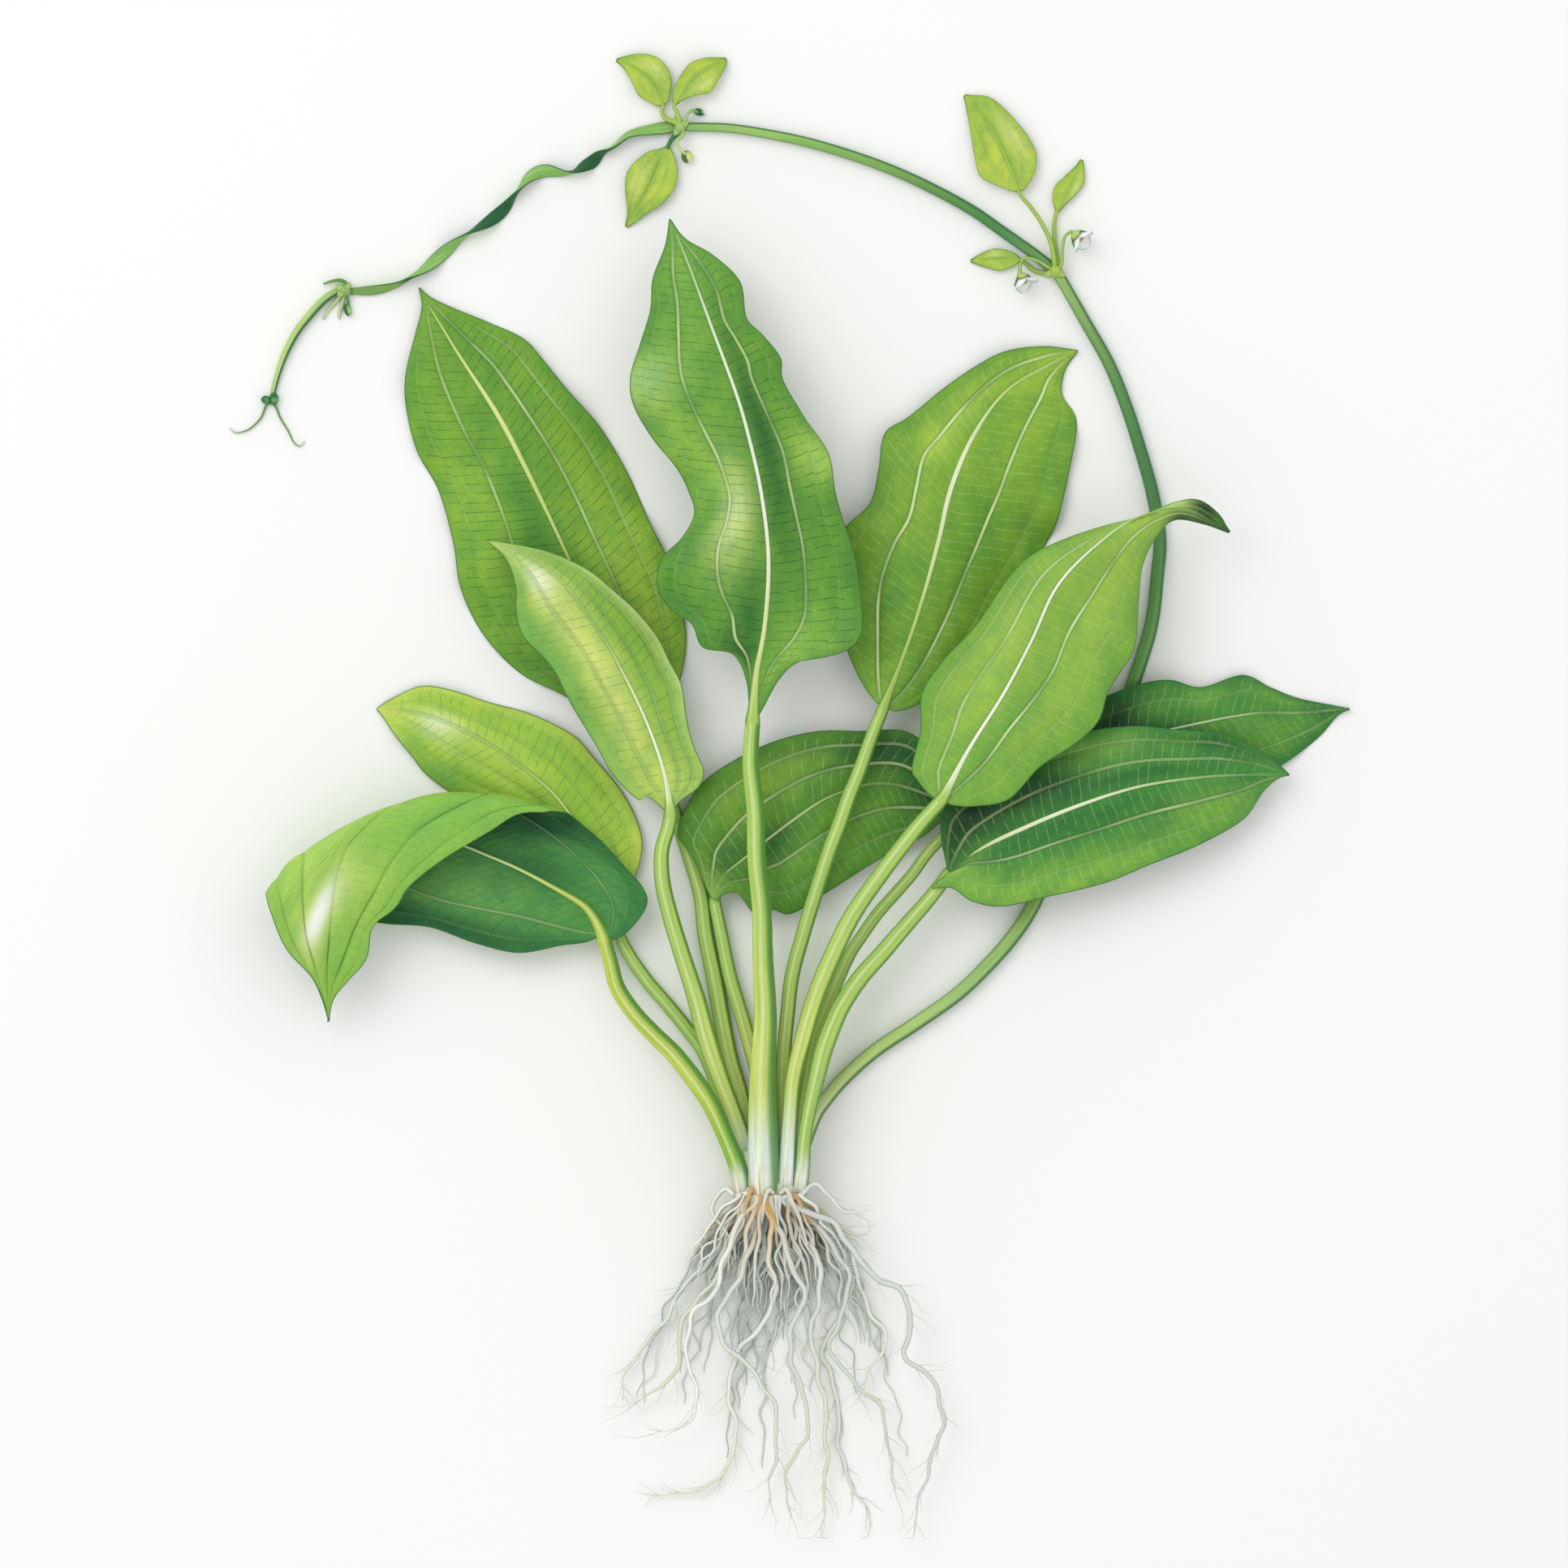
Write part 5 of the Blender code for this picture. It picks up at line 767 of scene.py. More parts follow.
# Stage
FLOOR_REACH = 6000      # half the floor's width
VIEW_WIDTH = 644        # what the picture takes in, across
VIEW_MIDDLE = (5.3, 164.7)
WINDOW_SIZE = 2.4       # the large soft light, in metres
WINDOW_PLACE = (-1.5, 1.7, 2.6)
WINDOW_AIM = (0, 0.16, 0)

# Each finish of a blade: its slot, its leaves, how plainly it shows pale veins, cross veins and mottling, and
# whether its cross veins are pale
BLADE_FINISHES = {
    "mid": ("leaf_mid_green", ("01", "02"), 0.75, 0.8, 0.75, False),
    "soft": ("leaf_mid_green", ("03",), 1.0, 0.2, 0.7, True),
    "pale": ("leaf_pale_green", ("04", "06"), 0.35, 0.55, 0.5, False),
    "pale soft": ("leaf_pale_green", ("05",), 1.0, 0.16, 0.5, True),
    "dark": ("leaf_dark_green", ("08", "09", "10"), 0.65, 0.18, 0.85, True),
}


def colour_property(name, description, hex_colour):
    """A colour that the user can change."""
    return bpy.props.FloatVectorProperty(name=name, description=description, subtype="COLOR", size=3,
                                         min=0, max=1, default=tuple(linear(hex_colour)))


def length_property(name, description, millimetres):
    """A length that the user can change."""
    return bpy.props.FloatProperty(name=name, description=description, unit="LENGTH", precision=5, min=0,
                                   default=millimetres * MM)


class BladeSettings(bpy.types.PropertyGroup):
    """Sizes and colours of the leaf blades."""
    thickness: length_property("Thickness", "Thickness of a leaf blade", 0.6)
    vein_depth: length_property("Vein depth", "How deep the side veins lie in the upper face", 0.45)
    vein_reach: length_property("Vein reach", "Half width of the groove along a side vein", 0.9)
    swell: length_property("Swell", "How far the tissue rises between two veins", 0.7)
    pucker: length_property("Pucker", "How far the tissue rises between two cross veins", 0.12)
    cross_spacing: length_property("Cross vein spacing", "Distance from one cross vein to the next", 2.0)
    ruffle_length: length_property("Ruffle length", "Distance from one wave of the edge to the next", 27)
    vein: colour_property("Vein", "Pale colour of the midrib and side veins", "#D3E5A2")
    line: colour_property("Line", "Dark green of cross veins and edges", "#336D36")


class StalkSettings(bpy.types.PropertyGroup):
    """Sizes and colours of the leaf stalks."""
    ribs: bpy.props.IntProperty(name="Ribs", description="Number of ribs round a stalk", default=7, min=0)
    rib_depth: bpy.props.FloatProperty(name="Rib depth", subtype="FACTOR", default=0.06, min=0, max=0.5,
                                       description="Depth of the ribs over the stalk's radius")
    bleached: length_property("Bleached length", "How far up from the crown a stalk is white", 22)
    white: colour_property("White", "Colour of the buried base", "#DFEAE8")
    young: colour_property("Young", "Colour just above the base", "#C3D670")
    green: colour_property("Green", "Colour towards the blade", "#A9CB66")
    # dark: the painted shade on the two sides of stalks and midribs
    dark: colour_property("Dark", "Colour of the stalk's two sides", "#4F8C3E")


class RunnerSettings(bpy.types.PropertyGroup):
    """Colours of the runner and its plantlets."""
    light: colour_property("Light", "Colour of the runner's upper face", "#86B660")
    # dark: the painted shade on the sides of the runner, its knuckles and scales, and on the ribbon's back
    dark: colour_property("Dark", "Colour of the runner's sides", "#2C6B3D")
    sprout: colour_property("Sprout", "Colour of the small leaves", "#AFC95E")
    petal: colour_property("Petal", "Colour of the petals", "#F2F6F6")


class RootSettings(bpy.types.PropertyGroup):
    """Sizes and colours of the roots."""
    waviness: length_property("Waviness", "How far a root strays to either side", 0.6)
    tuft: bpy.props.IntProperty(name="Tuft", description="Short roots at the crown", default=54, min=0)
    strays: bpy.props.IntProperty(name="Long roots", description="Thin long roots", default=26, min=0)
    hair_spacing: length_property("Hair spacing", "Distance between two rootlets along a root", 4.2)
    hair_length: length_property("Hair length", "Length of the longest rootlets", 18)
    white: colour_property("White", "Colour of a root's upper face", "#F6F8F4")
    # shade: the painted shade on a root's two sides
    shade: colour_property("Shade", "Colour of a root's two sides", "#8FA398")
    # grey: the painted shade of the roots that lie low in the tuft, and a grey that main and long roots have
    # by chance
    grey: colour_property("Grey", "Colour of the roots that lie deep in the tuft", "#7A9195")
    young: colour_property("Young", "Colour of the youngest roots at their ends", "#DDE6AE")
    ochre: colour_property("Ochre", "Colour of the older roots at the crown", "#DDA21E")


class StageSettings(bpy.types.PropertyGroup):
    """Floor, light and camera."""
    floor: colour_property("Floor", "Colour of the pale floor", "#F8F8F6")
    lens: bpy.props.FloatProperty(name="Lens", description="Focal length of the camera", default=400,
                                  unit="CAMERA", min=10)
    daylight: bpy.props.FloatProperty(name="Daylight", description="Strength of the light from all round",
                                      default=0.87, min=0)
    window: bpy.props.FloatProperty(name="Window", description="Power of the large soft light, in watts",
                                    default=28, min=0)


# ---- curves and forms

def spline(points, at):
    """Values at the given places, 0 to 1, on a smooth curve through points that are evenly timed."""
    points = np.asarray(points, float)
    first_ghost = 2 * points[:1] - points[1:2]
    last_ghost = 2 * points[-1:] - points[-2:-1]
    padded = np.concatenate((first_ghost, points, last_ghost))
    place = np.clip(np.asarray(at, float), 0, 1) * (len(points) - 1)
    index = np.minimum(place.astype(int), len(points) - 2)
    t = (place - index).reshape((-1,) + (1,) * (points.ndim - 1))
    a, b, c, d = (padded[index + k] for k in range(4))
    return 0.5 * (2 * b + (c - a) * t + (2 * a - 5 * b + 4 * c - d) * t**2 + (3 * b - a - 3 * c + d) * t**3)


def lengths_along(points):
    """How far along a line of points each one lies."""
    steps = np.linalg.norm(np.diff(points, axis=0), axis=1)
    return np.concatenate(([0], np.cumsum(steps)))


def even_curve(points, at):
    """Points at the given shares of its length, 0 to 1, along a smooth curve through the given points."""
    dense = spline(points, np.linspace(0, 1, CURVE_DETAIL * len(points)))
    length = lengths_along(dense)
    wanted = np.asarray(at) * length[-1]
    return np.column_stack([np.interp(wanted, length, column) for column in dense.T])


def ease(low, high, values):
    """0 below low, 1 above high and smooth between them."""
    t = np.clip((values - low) / (high - low), 0, 1)
    return t * t * (3 - 2 * t)


def columns_between(veins):
    """Places across a blade, from -1 to 1, closest together at its veins and edges."""
    bounds = (-1.0, *veins, 1.0)
    wave = (1 - np.cos(np.linspace(0, math.pi, STRIP_STEPS + 1)[:-1])) / 2
    across = [low + (high - low) * wave for low, high in zip(bounds, bounds[1:])]
    return np.append(np.concatenate(across), 1.0)


def blend(low, high, share):
    """Goes from one colour to another by a share at each point."""
    return low + (np.asarray(high) - low) * np.asarray(share)[..., None]


def route_length(route, detail=LENGTH_DETAIL):
    """The length of the smooth curve through a route's points."""
    return lengths_along(even_curve(route, np.linspace(0, 1, detail)))[-1]


def on_surface(path, reach):
    """Lifts a path until a stem that reaches so far down from it clears the surface."""
    path[:, 2] = np.maximum(path[:, 2], reach + CLEARANCE)
    return path


def blade_sheet(shape, heights, across, rows, crowding=1.0, ends_wide=BLADE_ENDS):
    """The upper face of an open blade: heights are those of its rib, its left edge and its right edge."""
    at = np.linspace(0, 1, rows)**crowding
    rib = np.array(shape["rib"], float)
    ends = []
    for along, width in ((rib[1] - rib[0], ends_wide[0]), (rib[-1] - rib[-2], ends_wide[1])):
        ends.append(np.array((-along[1], along[0])) / np.hypot(*along) * width / 2)
    lines = [rib]
    for side, edge in ((1, "left"), (-1, "right")):
        lines.append([rib[0] + side * ends[0], *shape[edge], rib[-1] + side * ends[1]])
    middle, left, right = (np.column_stack((even_curve(line, at), spline(levels, at)))
                           for line, levels in zip(lines, heights))
    return np.stack([middle + abs(v) * ((left if v < 0 else right) - middle) for v in across], axis=1)


def folded_sheet(across):
    """Leaf 07: low from its base to the crest, over the crest in a half circle, then high to its tip."""
    base, = LEAVES[FOLDED_LEAF]["rib"]
    crest = FOLD_LOW[-1] + FOLD_RADIUS
    steps = np.linspace(0, 1, FOLD_ROWS)
    low_steps = 1 - (1 - steps)**FOLD_CROWDING
    high_steps = steps[1:]**FOLD_CROWDING
    lines = []
    for low_run, high_run in FOLD_LINES:
        line = []
        for run, at, from_fold, heights in (((base, *low_run), low_steps, 1 - low_steps, FOLD_LOW),
                                            ((*high_run, FOLD_TIP), high_steps, high_steps, FOLD_HIGH)):
            length = lengths_along(spline(run, np.linspace(0, 1, CURVE_DETAIL * len(run))))[-1]
            bend = np.sqrt(1 - (1 - np.minimum(length * from_fold / FOLD_RADIUS, 1))**2)
            height = crest + (spline(heights, at) - crest) * bend
            line.append(np.column_stack((even_curve(run, at), height)))
        lines.append(np.vstack(line))
    lines = np.array(lines)
    spread = np.linspace(-0.5, 0.5, len(lines))
    lines[:, 0, 0] -= spread * BLADE_ENDS[0] * FOLD_BASE_SLANT
    lines[:, 0, 1] -= spread * BLADE_ENDS[0]
    lines[:, -1, 0] += spread * FOLD_TIP_WIDTH
    return spline(lines, (across + 1) / 2).transpose(1, 0, 2)


def grid_normals(grid):
    """The direction that each point of a sheet faces."""
    normals = np.cross(np.gradient(grid, axis=1), np.gradient(grid, axis=0))
    return normals / np.maximum(np.linalg.norm(normals, axis=2, keepdims=True), 1e-9)


def blade_relief(grid, across, veins, ruffle, settings, outward=1):
    """Raises the tissue of a sheet between its veins. Gives the sheet and its measures at each point."""
    steps = np.linalg.norm(np.diff(grid, axis=1), axis=2)
    wide = np.concatenate((np.zeros((len(grid), 1)), np.cumsum(steps, axis=1)), axis=1)
    rib_column = rib_of(across)
    wide -= wide[:, rib_column:rib_column + 1]
    along = np.repeat(lengths_along(grid[:, rib_column])[:, None], len(across), axis=1)
    strip = np.minimum(np.arange(len(across)) // STRIP_STEPS, len(veins))
    low, high = wide[:, strip * STRIP_STEPS], wide[:, (strip + 1) * STRIP_STEPS]
    width = np.maximum(high - low, 1e-6)
    to_low = np.where(strip == 0, NO_VEIN, wide - low)
    to_high = np.where(strip == len(veins), NO_VEIN, high - wide)
    to_vein = np.minimum(to_low, to_high)
    shares = np.array((0, *veins.values(), 0))
    strength = np.where(to_low < to_high, shares[strip], shares[strip + 1]) * np.clip(width / VEIN_ROOM, 0, 1)
    margin = np.minimum(wide[:, -1:] - wide, wide - wide[:, :1])
    hump = np.sin(math.pi * np.clip((wide - low) / width, 0, 1)) * np.minimum(width / SWELL_ROOM, 1)
    phase = along / (2 * settings.cross_spacing / MM) + STRIP_LAG * strip
    relief = settings.swell / MM * hump + settings.pucker / MM * hump * np.sin(2 * math.pi * phase)
    relief -= settings.vein_depth / MM * strength * np.exp(-(to_vein / (settings.vein_reach / MM))**2)
    waves = np.sin(2 * math.pi * along / (settings.ruffle_length / MM) + EDGE_LAG * np.sign(across))
    share = along / along[-1, 0]
    calm = np.minimum(1, share / RUFFLE_START) * np.minimum(1, (1 - share) / RUFFLE_START)
    sheet = grid + outward * relief[:, :, None] * grid_normals(grid)
    sheet[:, :, 2] += ruffle * waves * np.abs(across)**3 * calm
    measures = {"Leaf": np.dstack((along, wide, to_vein)),
                "Edge": np.dstack((margin, strip + 0 * along, strength))}
    return sheet, measures, share


def rib_of(across):
    """The column of a sheet that runs along its rib."""
    return int(np.argmin(np.abs(across)))


def painted(tones, along, across, side=""):
    """A blade's colour at each point: plain, changed towards its edges and in its darker and paler places,
    which include painted shade, painted shadows and painted highlights.
    """
    edge = ease(*EDGE_TONE_REACH, np.abs(across)) * EDGE_TONE_SHARE
    colour = blend(linear(tones[side + "plain"]), linear(tones[side + "edge"]), edge)
    for place_along, place_across, size_along, size_across, tone in tones[side + "spots"]:
        distance = ((along - place_along) / size_along)**2 + ((across - place_across) / size_across)**2
        colour = blend(colour, linear(tone), np.exp(-distance) * SPOT_SHARE)
    return colour


# ---- objects

def grid_faces(rows, columns):
    """The quads of a grid of points that are counted row by row."""
    first = (np.arange(rows - 1)[:, None] * columns + np.arange(columns - 1)).ravel()
    return np.column_stack((first, first + 1, first + columns + 1, first + columns)).tolist()


def new_object(name, points, edges, faces, attributes):
    """A mesh object from points in millimetres, with numbers or vectors kept at each point under a name."""
    mesh = bpy.data.meshes.new(name)
    mesh.from_pydata((np.asarray(points) * MM).tolist(), edges, faces)
    for key, values in attributes.items():
        values = np.asarray(values, np.float32)
        kind = "FLOAT" if values.ndim == 1 else "FLOAT_VECTOR"
        attribute = mesh.attributes.new(key, kind, "POINT")
        attribute.data.foreach_set("value" if kind == "FLOAT" else "vector", values.ravel())
    obj = bpy.data.objects.new(name, mesh)
    bpy.context.scene.collection.objects.link(obj)
    return obj


def settle(obj):
    """Makes an object's modifiers part of its mesh."""
    graph = bpy.context.evaluated_depsgraph_get()
    shaped = obj.evaluated_get(graph)
    mesh = bpy.data.meshes.new_from_object(shaped, preserve_all_data_layers=True, depsgraph=graph)
    obj.modifiers.clear()
    old = obj.data
    obj.data = mesh
    bpy.data.meshes.remove(old)
    return obj


def rest_on_floor(obj):
    """Presses whatever would lie below the surface flat on it."""
    mesh = obj.data
    places = np.empty(3 * len(mesh.vertices), np.float32)
    mesh.vertices.foreach_get("co", places)
    places[2::3] = np.maximum(places[2::3], CLEARANCE * MM)
    mesh.vertices.foreach_set("co", places)
    mesh.update()
    return obj


def finish_piece(name, parts, nodes):
    """Joins a piece's parts, puts them on the plant in place of their solids and gives the piece its name."""
    if len(parts) > 1:
        with bpy.context.temp_override(active_object=parts[0], selected_editable_objects=parts):
            bpy.ops.object.join()
    piece = rest_on_floor(parts[0])
    piece.name = name
    piece.data.name = name
    piece.data.shade_smooth()
    if nodes:
        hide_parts(*nodes)
    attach(piece, BODY)
    return piece


def sheet_object(name, grid, attributes, thickness, front, back):
    """A leaf's sheet as a closed solid, with one material on the face that was drawn and one behind."""
    rows, columns = grid.shape[:2]
    flat = {key: values.reshape(rows * columns, -1) for key, values in attributes.items()}
    obj = new_object(name, grid.reshape(-1, 3), [], grid_faces(rows, columns), flat)
    obj.data.materials.append(front)
    obj.data.materials.append(back)
    solid = obj.modifiers.new("thickness", "SOLIDIFY")
    solid.thickness = thickness
    solid.offset = -1
    solid.material_offset = 1
    return settle(obj)


def open_output(node):
    """The first output of a node that is in use."""
    return next(output for output in node.outputs if output.enabled)


def add_node(tree, kind, inputs=(), **settings):
    """Adds a node. Its inputs are values, nodes or sockets, by name or in the order of its open sockets."""
    made = tree.nodes.new(kind)
    for key, value in settings.items():
        setattr(made, key, value)
    if isinstance(inputs, dict):
        pairs = [(made.inputs[key], value) for key, value in inputs.items()]
    else:
        pairs = zip([socket for socket in made.inputs if socket.enabled], inputs)
    for socket, value in list(pairs):
        if isinstance(value, bpy.types.Node):
            value = open_output(value)
        if isinstance(value, bpy.types.NodeSocket):
            tree.links.new(value, socket)
        elif socket.type == "RGBA":
            socket.default_value = (*value, 1)
        else:
            socket.default_value = value
    return made


def start_tree(name, sockets):
    """A tree of geometry nodes with named inputs. Gives what adds a node to it, and its inputs."""
    tree = bpy.data.node_groups.new(name, "GeometryNodeTree")
    for label, kind in sockets.items():
        tree.interface.new_socket(name=label, in_out="INPUT", socket_type="NodeSocket" + kind)
    tree.interface.new_socket(name="Geometry", in_out="OUTPUT", socket_type="NodeSocketGeometry")
    add = partial(add_node, tree)
    return add, add("NodeGroupInput").outputs


def stem_tree(name):
    """Geometry nodes that turn paths into ribbed tubes: the points carry their half widths and turns."""
    add, given = start_tree(name, {"Path": "Geometry", "Sides": "Int", "Ribs": "Int", "Rib Depth": "Float",
                                   "Flatness": "Float", "Material": "Material"})
    girth = add("GeometryNodeInputNamedAttribute", ["Girth"])
    turn = add("GeometryNodeInputNamedAttribute", ["Turn"])
    curve = add("GeometryNodeMeshToCurve", [given["Path"]])
    upright = add("GeometryNodeSetCurveNormal", [curve], mode="Z_UP")
    turned = add("GeometryNodeSetCurveTilt", {"Curve": upright, "Tilt": turn})
    circle = add("GeometryNodeCurvePrimitiveCircle", {"Resolution": given["Sides"], "Radius": 1.0})
    place = add("GeometryNodeInputPosition")
    across, up, _ = add(SEPARATE, [place]).outputs
    angle = add(MATH, [up, across], operation="ARCTAN2")
    rib_angle = add(MATH, [angle, given["Ribs"]], operation="MULTIPLY")
    wave = add(MATH, [rib_angle], operation="COSINE")
    swell = add(MATH, [wave, given["Rib Depth"], 1.0], operation="MULTIPLY_ADD")
    height = add(MATH, [swell, given["Flatness"]], operation="MULTIPLY")
    shape = add(COMBINE, [swell, height, 1.0])
    ribbed = add(VECTOR, [place, shape], operation="MULTIPLY")
    upward = add(VECTOR, [place, (1, -1, 1)], operation="MULTIPLY")
    profile = add("GeometryNodeStoreNamedAttribute", {"Geometry": circle, "Name": "Round", "Value": upward},
                  data_type="FLOAT_VECTOR", domain="POINT")
    outline = add("GeometryNodeSetPosition", {"Geometry": profile, "Position": ribbed})
    tube = add("GeometryNodeCurveToMesh", {"Curve": turned, "Profile Curve": outline, "Scale": girth,
                                           "Fill Caps": True})
    real = add("GeometryNodeRealizeInstances", [tube])
    dressed = add("GeometryNodeSetMaterial", {"Geometry": real, "Material": given["Material"]})
    add("NodeGroupOutput", [dressed])


def run_tree(obj, name, build, values):
    """Puts an object through a tree, which is built at its first use, and makes the result its plain mesh."""
    if name not in bpy.data.node_groups:
        build(name)
    tree = bpy.data.node_groups[name]
    modifier = obj.modifiers.new(name, "NODES")
    modifier.node_group = tree
    for item in tree.interface.items_tree:
        if item.name in values:
            modifier[item.identifier] = values[item.name]
    return settle(obj)


def path_object(name, paths, half_widths, tints, turns=None):
    """Bare paths, whose points carry what the trees below need."""
    edges = []
    first = 0
    for path in paths:
        edges += [(first + k, first + k + 1) for k in range(len(path) - 1)]
        first += len(path)
    attributes = {"Girth": np.concatenate(half_widths) * MM,
                  "Turn": np.zeros(first) if turns is None else np.concatenate(turns),
                  "Along": np.concatenate([lengths_along(path) for path in paths]),
                  "Tint": np.concatenate([np.asarray(tint) + 0 * path for tint, path in zip(tints, paths)])}
    return new_object(name, np.concatenate(paths), edges, [], attributes)


def stems(name, paths, half_widths, tints, material, sides=20, ribs=0, rib_depth=0.0, flatness=1.0,
          turns=None):
    """Stems, stalks, midribs or roots along paths, as tubes."""
    values = {"Sides": sides, "Ribs": ribs, "Rib Depth": rib_depth, "Flatness": flatness,
              "Material": material}
    paths = path_object(name, paths, half_widths, tints, turns)
    return run_tree(paths, "stem along a path", stem_tree, values)


def stem(name, path, half_widths, tint, material, turns=None, **shape):
    """One tube along one path."""
    turns = None if turns is None else [turns]
    return stems(name, [path], [half_widths], [tint], material, turns=turns, **shape)


def stations(length, width, spacing=STEM_SPACING):
    """Shares of a stem's length for its rings, closer together at its round ends, and their fullness."""
    cap = width * (1 - np.cos(np.linspace(0, math.pi / 2, CAP_STEPS)))
    inner = np.linspace(width, length - width, max(4, int(length / spacing)))[1:-1]
    distance = np.concatenate((cap, inner, length - cap[::-1]))
    nearest = np.minimum(np.minimum(distance, length - distance) / width, 1)
    return distance / length, np.maximum(np.sqrt(1 - (1 - nearest)**2), LEAST_WIDTH)


# ---- materials

def start_material(name, roughness):
    """A material with its shader. Numbers that are the same all over it are set on the shader itself."""
    material = bpy.data.materials.new(name)
    material.use_nodes = True
    shader = material.node_tree.nodes["Principled BSDF"]
    shader.inputs["Roughness"].default_value = roughness
    shader.inputs["Specular IOR Level"].default_value = SHINE
    return material, partial(add_node, material.node_tree)


def finish_material(material, colour, height, strength, depth, gloss=None):
    """Gives a material its colour, a relief of so many millimetres and, where it varies, its roughness."""
    tree = material.node_tree
    relief = {"Strength": strength, "Distance": depth * MM, "Height": height}
    ends = {"Base Color": colour, "Normal": add_node(tree, "ShaderNodeBump", relief), "Roughness": gloss}
    for socket, node in ends.items():
        if node:
            tree.links.new(open_output(node), tree.nodes["Principled BSDF"].inputs[socket])
    return material


def blade_material(name, paint, settings, vein_share=0.6, line_share=0.55, roughness=0.46, raised=-1.0,
                   rim_reach=0.8, mottling=0.8, pale_rungs=False, flank=0.7, rim_share=0.85):
    """Leaf tissue: a waxy skin over soft cells gives a satin, mottled face with pale veins sunk in it."""
    material, add = start_material(name, roughness)
    leaf = add(ATTRIBUTE, attribute_name="Leaf").outputs["Vector"]
    edge = add(ATTRIBUTE, attribute_name="Edge").outputs["Vector"]
    tint = add(ATTRIBUTE, attribute_name=paint).outputs["Color"]
    along, across, to_vein = add(SEPARATE, [leaf]).outputs
    margin, strip, strength = add(SEPARATE, [edge]).outputs
    flat = add(COMBINE, [along, across])

    # washes 12 mm across, grain of 2 mm and streaks along the leaf, from blue-green to yellow-green
    wash = add(NOISE, [flat, 0.08, 3.0, 0.6])
    grain = add(NOISE, [flat, 0.5, 4.0, 0.7])
    long = add(VECTOR, [flat, (0.12, 0.9, 0)], operation="MULTIPLY")
    streak = add(NOISE, [long, 1.0, 3.0])
    tone = add(MATH, [grain, 0.45, wash], operation="MULTIPLY_ADD")
    tone = add(MATH, [streak, 0.4, tone], operation="MULTIPLY_ADD")
    tone = add(REMAP, [tone, 0.7, 1.15, 0.5 - mottling / 2, 0.5 + mottling / 2])
    deep, bright, dark = (add(VECTOR, [tint, tone_share], operation="MULTIPLY")
                          for tone_share in (DEEP, BRIGHT, LINE_TONE))
    # pale tints, the painted highlights among them, are kept clear of the mottling
    glare = add(REMAP, [add("ShaderNodeSeparateColor", [tint]).outputs["Blue"], 0.25, 0.6])

    # cross veins: dark rungs that lean towards the tip and break off here and there
    far = add(MATH, [across], operation="ABSOLUTE")
    place = add(MATH, [far, -0.4, along], operation="MULTIPLY_ADD")
    place = add(MATH, [wash, 2.0, place], operation="MULTIPLY_ADD")
    count = add(MATH, [place, settings.cross_spacing / MM], operation="DIVIDE")
    count = add(MATH, [strip, STRIP_LAG, count], operation="MULTIPLY_ADD")
    count = add(MATH, [count, 1.0], operation="PINGPONG")
    rung = add(REMAP, [count, 0.04, 0.17, 1.0, 0.0], interpolation_type="SMOOTHSTEP")
    wide = add(VECTOR, [flat, (0.35, 0.13, 0)], operation="MULTIPLY")
    kept = add(REMAP, [add(NOISE, [wide, 1.0, 1.0]), 0.38, 0.52, 0.0, line_share])
    inner = add(REMAP, [margin, 1.0, 4.0])
    for limit in (kept, inner):
        rung = add(MATH, [rung, limit], operation="MULTIPLY")

    # main veins, pale, each between two dark lines of painted shade along its groove, and the leaf's dark rim
    strayed = add(MATH, [grain, 0.25, to_vein], operation="MULTIPLY_ADD")
    shade = add(REMAP, [strayed, 0.8, 1.6, flank, 0.0], interpolation_type="SMOOTHSTEP")
    shade = add(MATH, [shade, strength], operation="MULTIPLY")
    vein = add(REMAP, [strayed, 0.4, 1.0, vein_share, 0.0], interpolation_type="SMOOTHSTEP")
    paler = add(REMAP, [add(NOISE, [flat, 0.035, 1.0]), 0.35, 0.6, 0.3, 1.0])
    for limit in (strength, paler):
        vein = add(MATH, [vein, limit], operation="MULTIPLY")
    rim = add(REMAP, [margin, 0.1, rim_reach, rim_share, 0.0], interpolation_type="SMOOTHSTEP")
    colour = deep
    streaks = settings.vein if pale_rungs else dark
    for share, over in ((tone, bright), (glare, tint), (rung, streaks), (shade, dark), (vein, settings.vein),
                        (rim, settings.line)):
        colour = add(MIX, [share, colour, over], data_type="RGBA")

    # cells of about 0.4 mm, drawn as coarse as they need to show, with the cross veins pressed in
    height = add(MATH, [add("ShaderNodeTexVoronoi", [flat, 1.6]), 0.25, rung], operation="MULTIPLY_ADD")
    for part, share in ((rung, raised * 2), (grain, 0.5)):
        height = add(MATH, [part, share, height], operation="MULTIPLY_ADD")
    gloss = add(REMAP, [grain, 0.0, 1.0, roughness - 0.06, roughness + 0.1])
    return finish_material(material, colour, height, 0.35, 0.2, gloss)


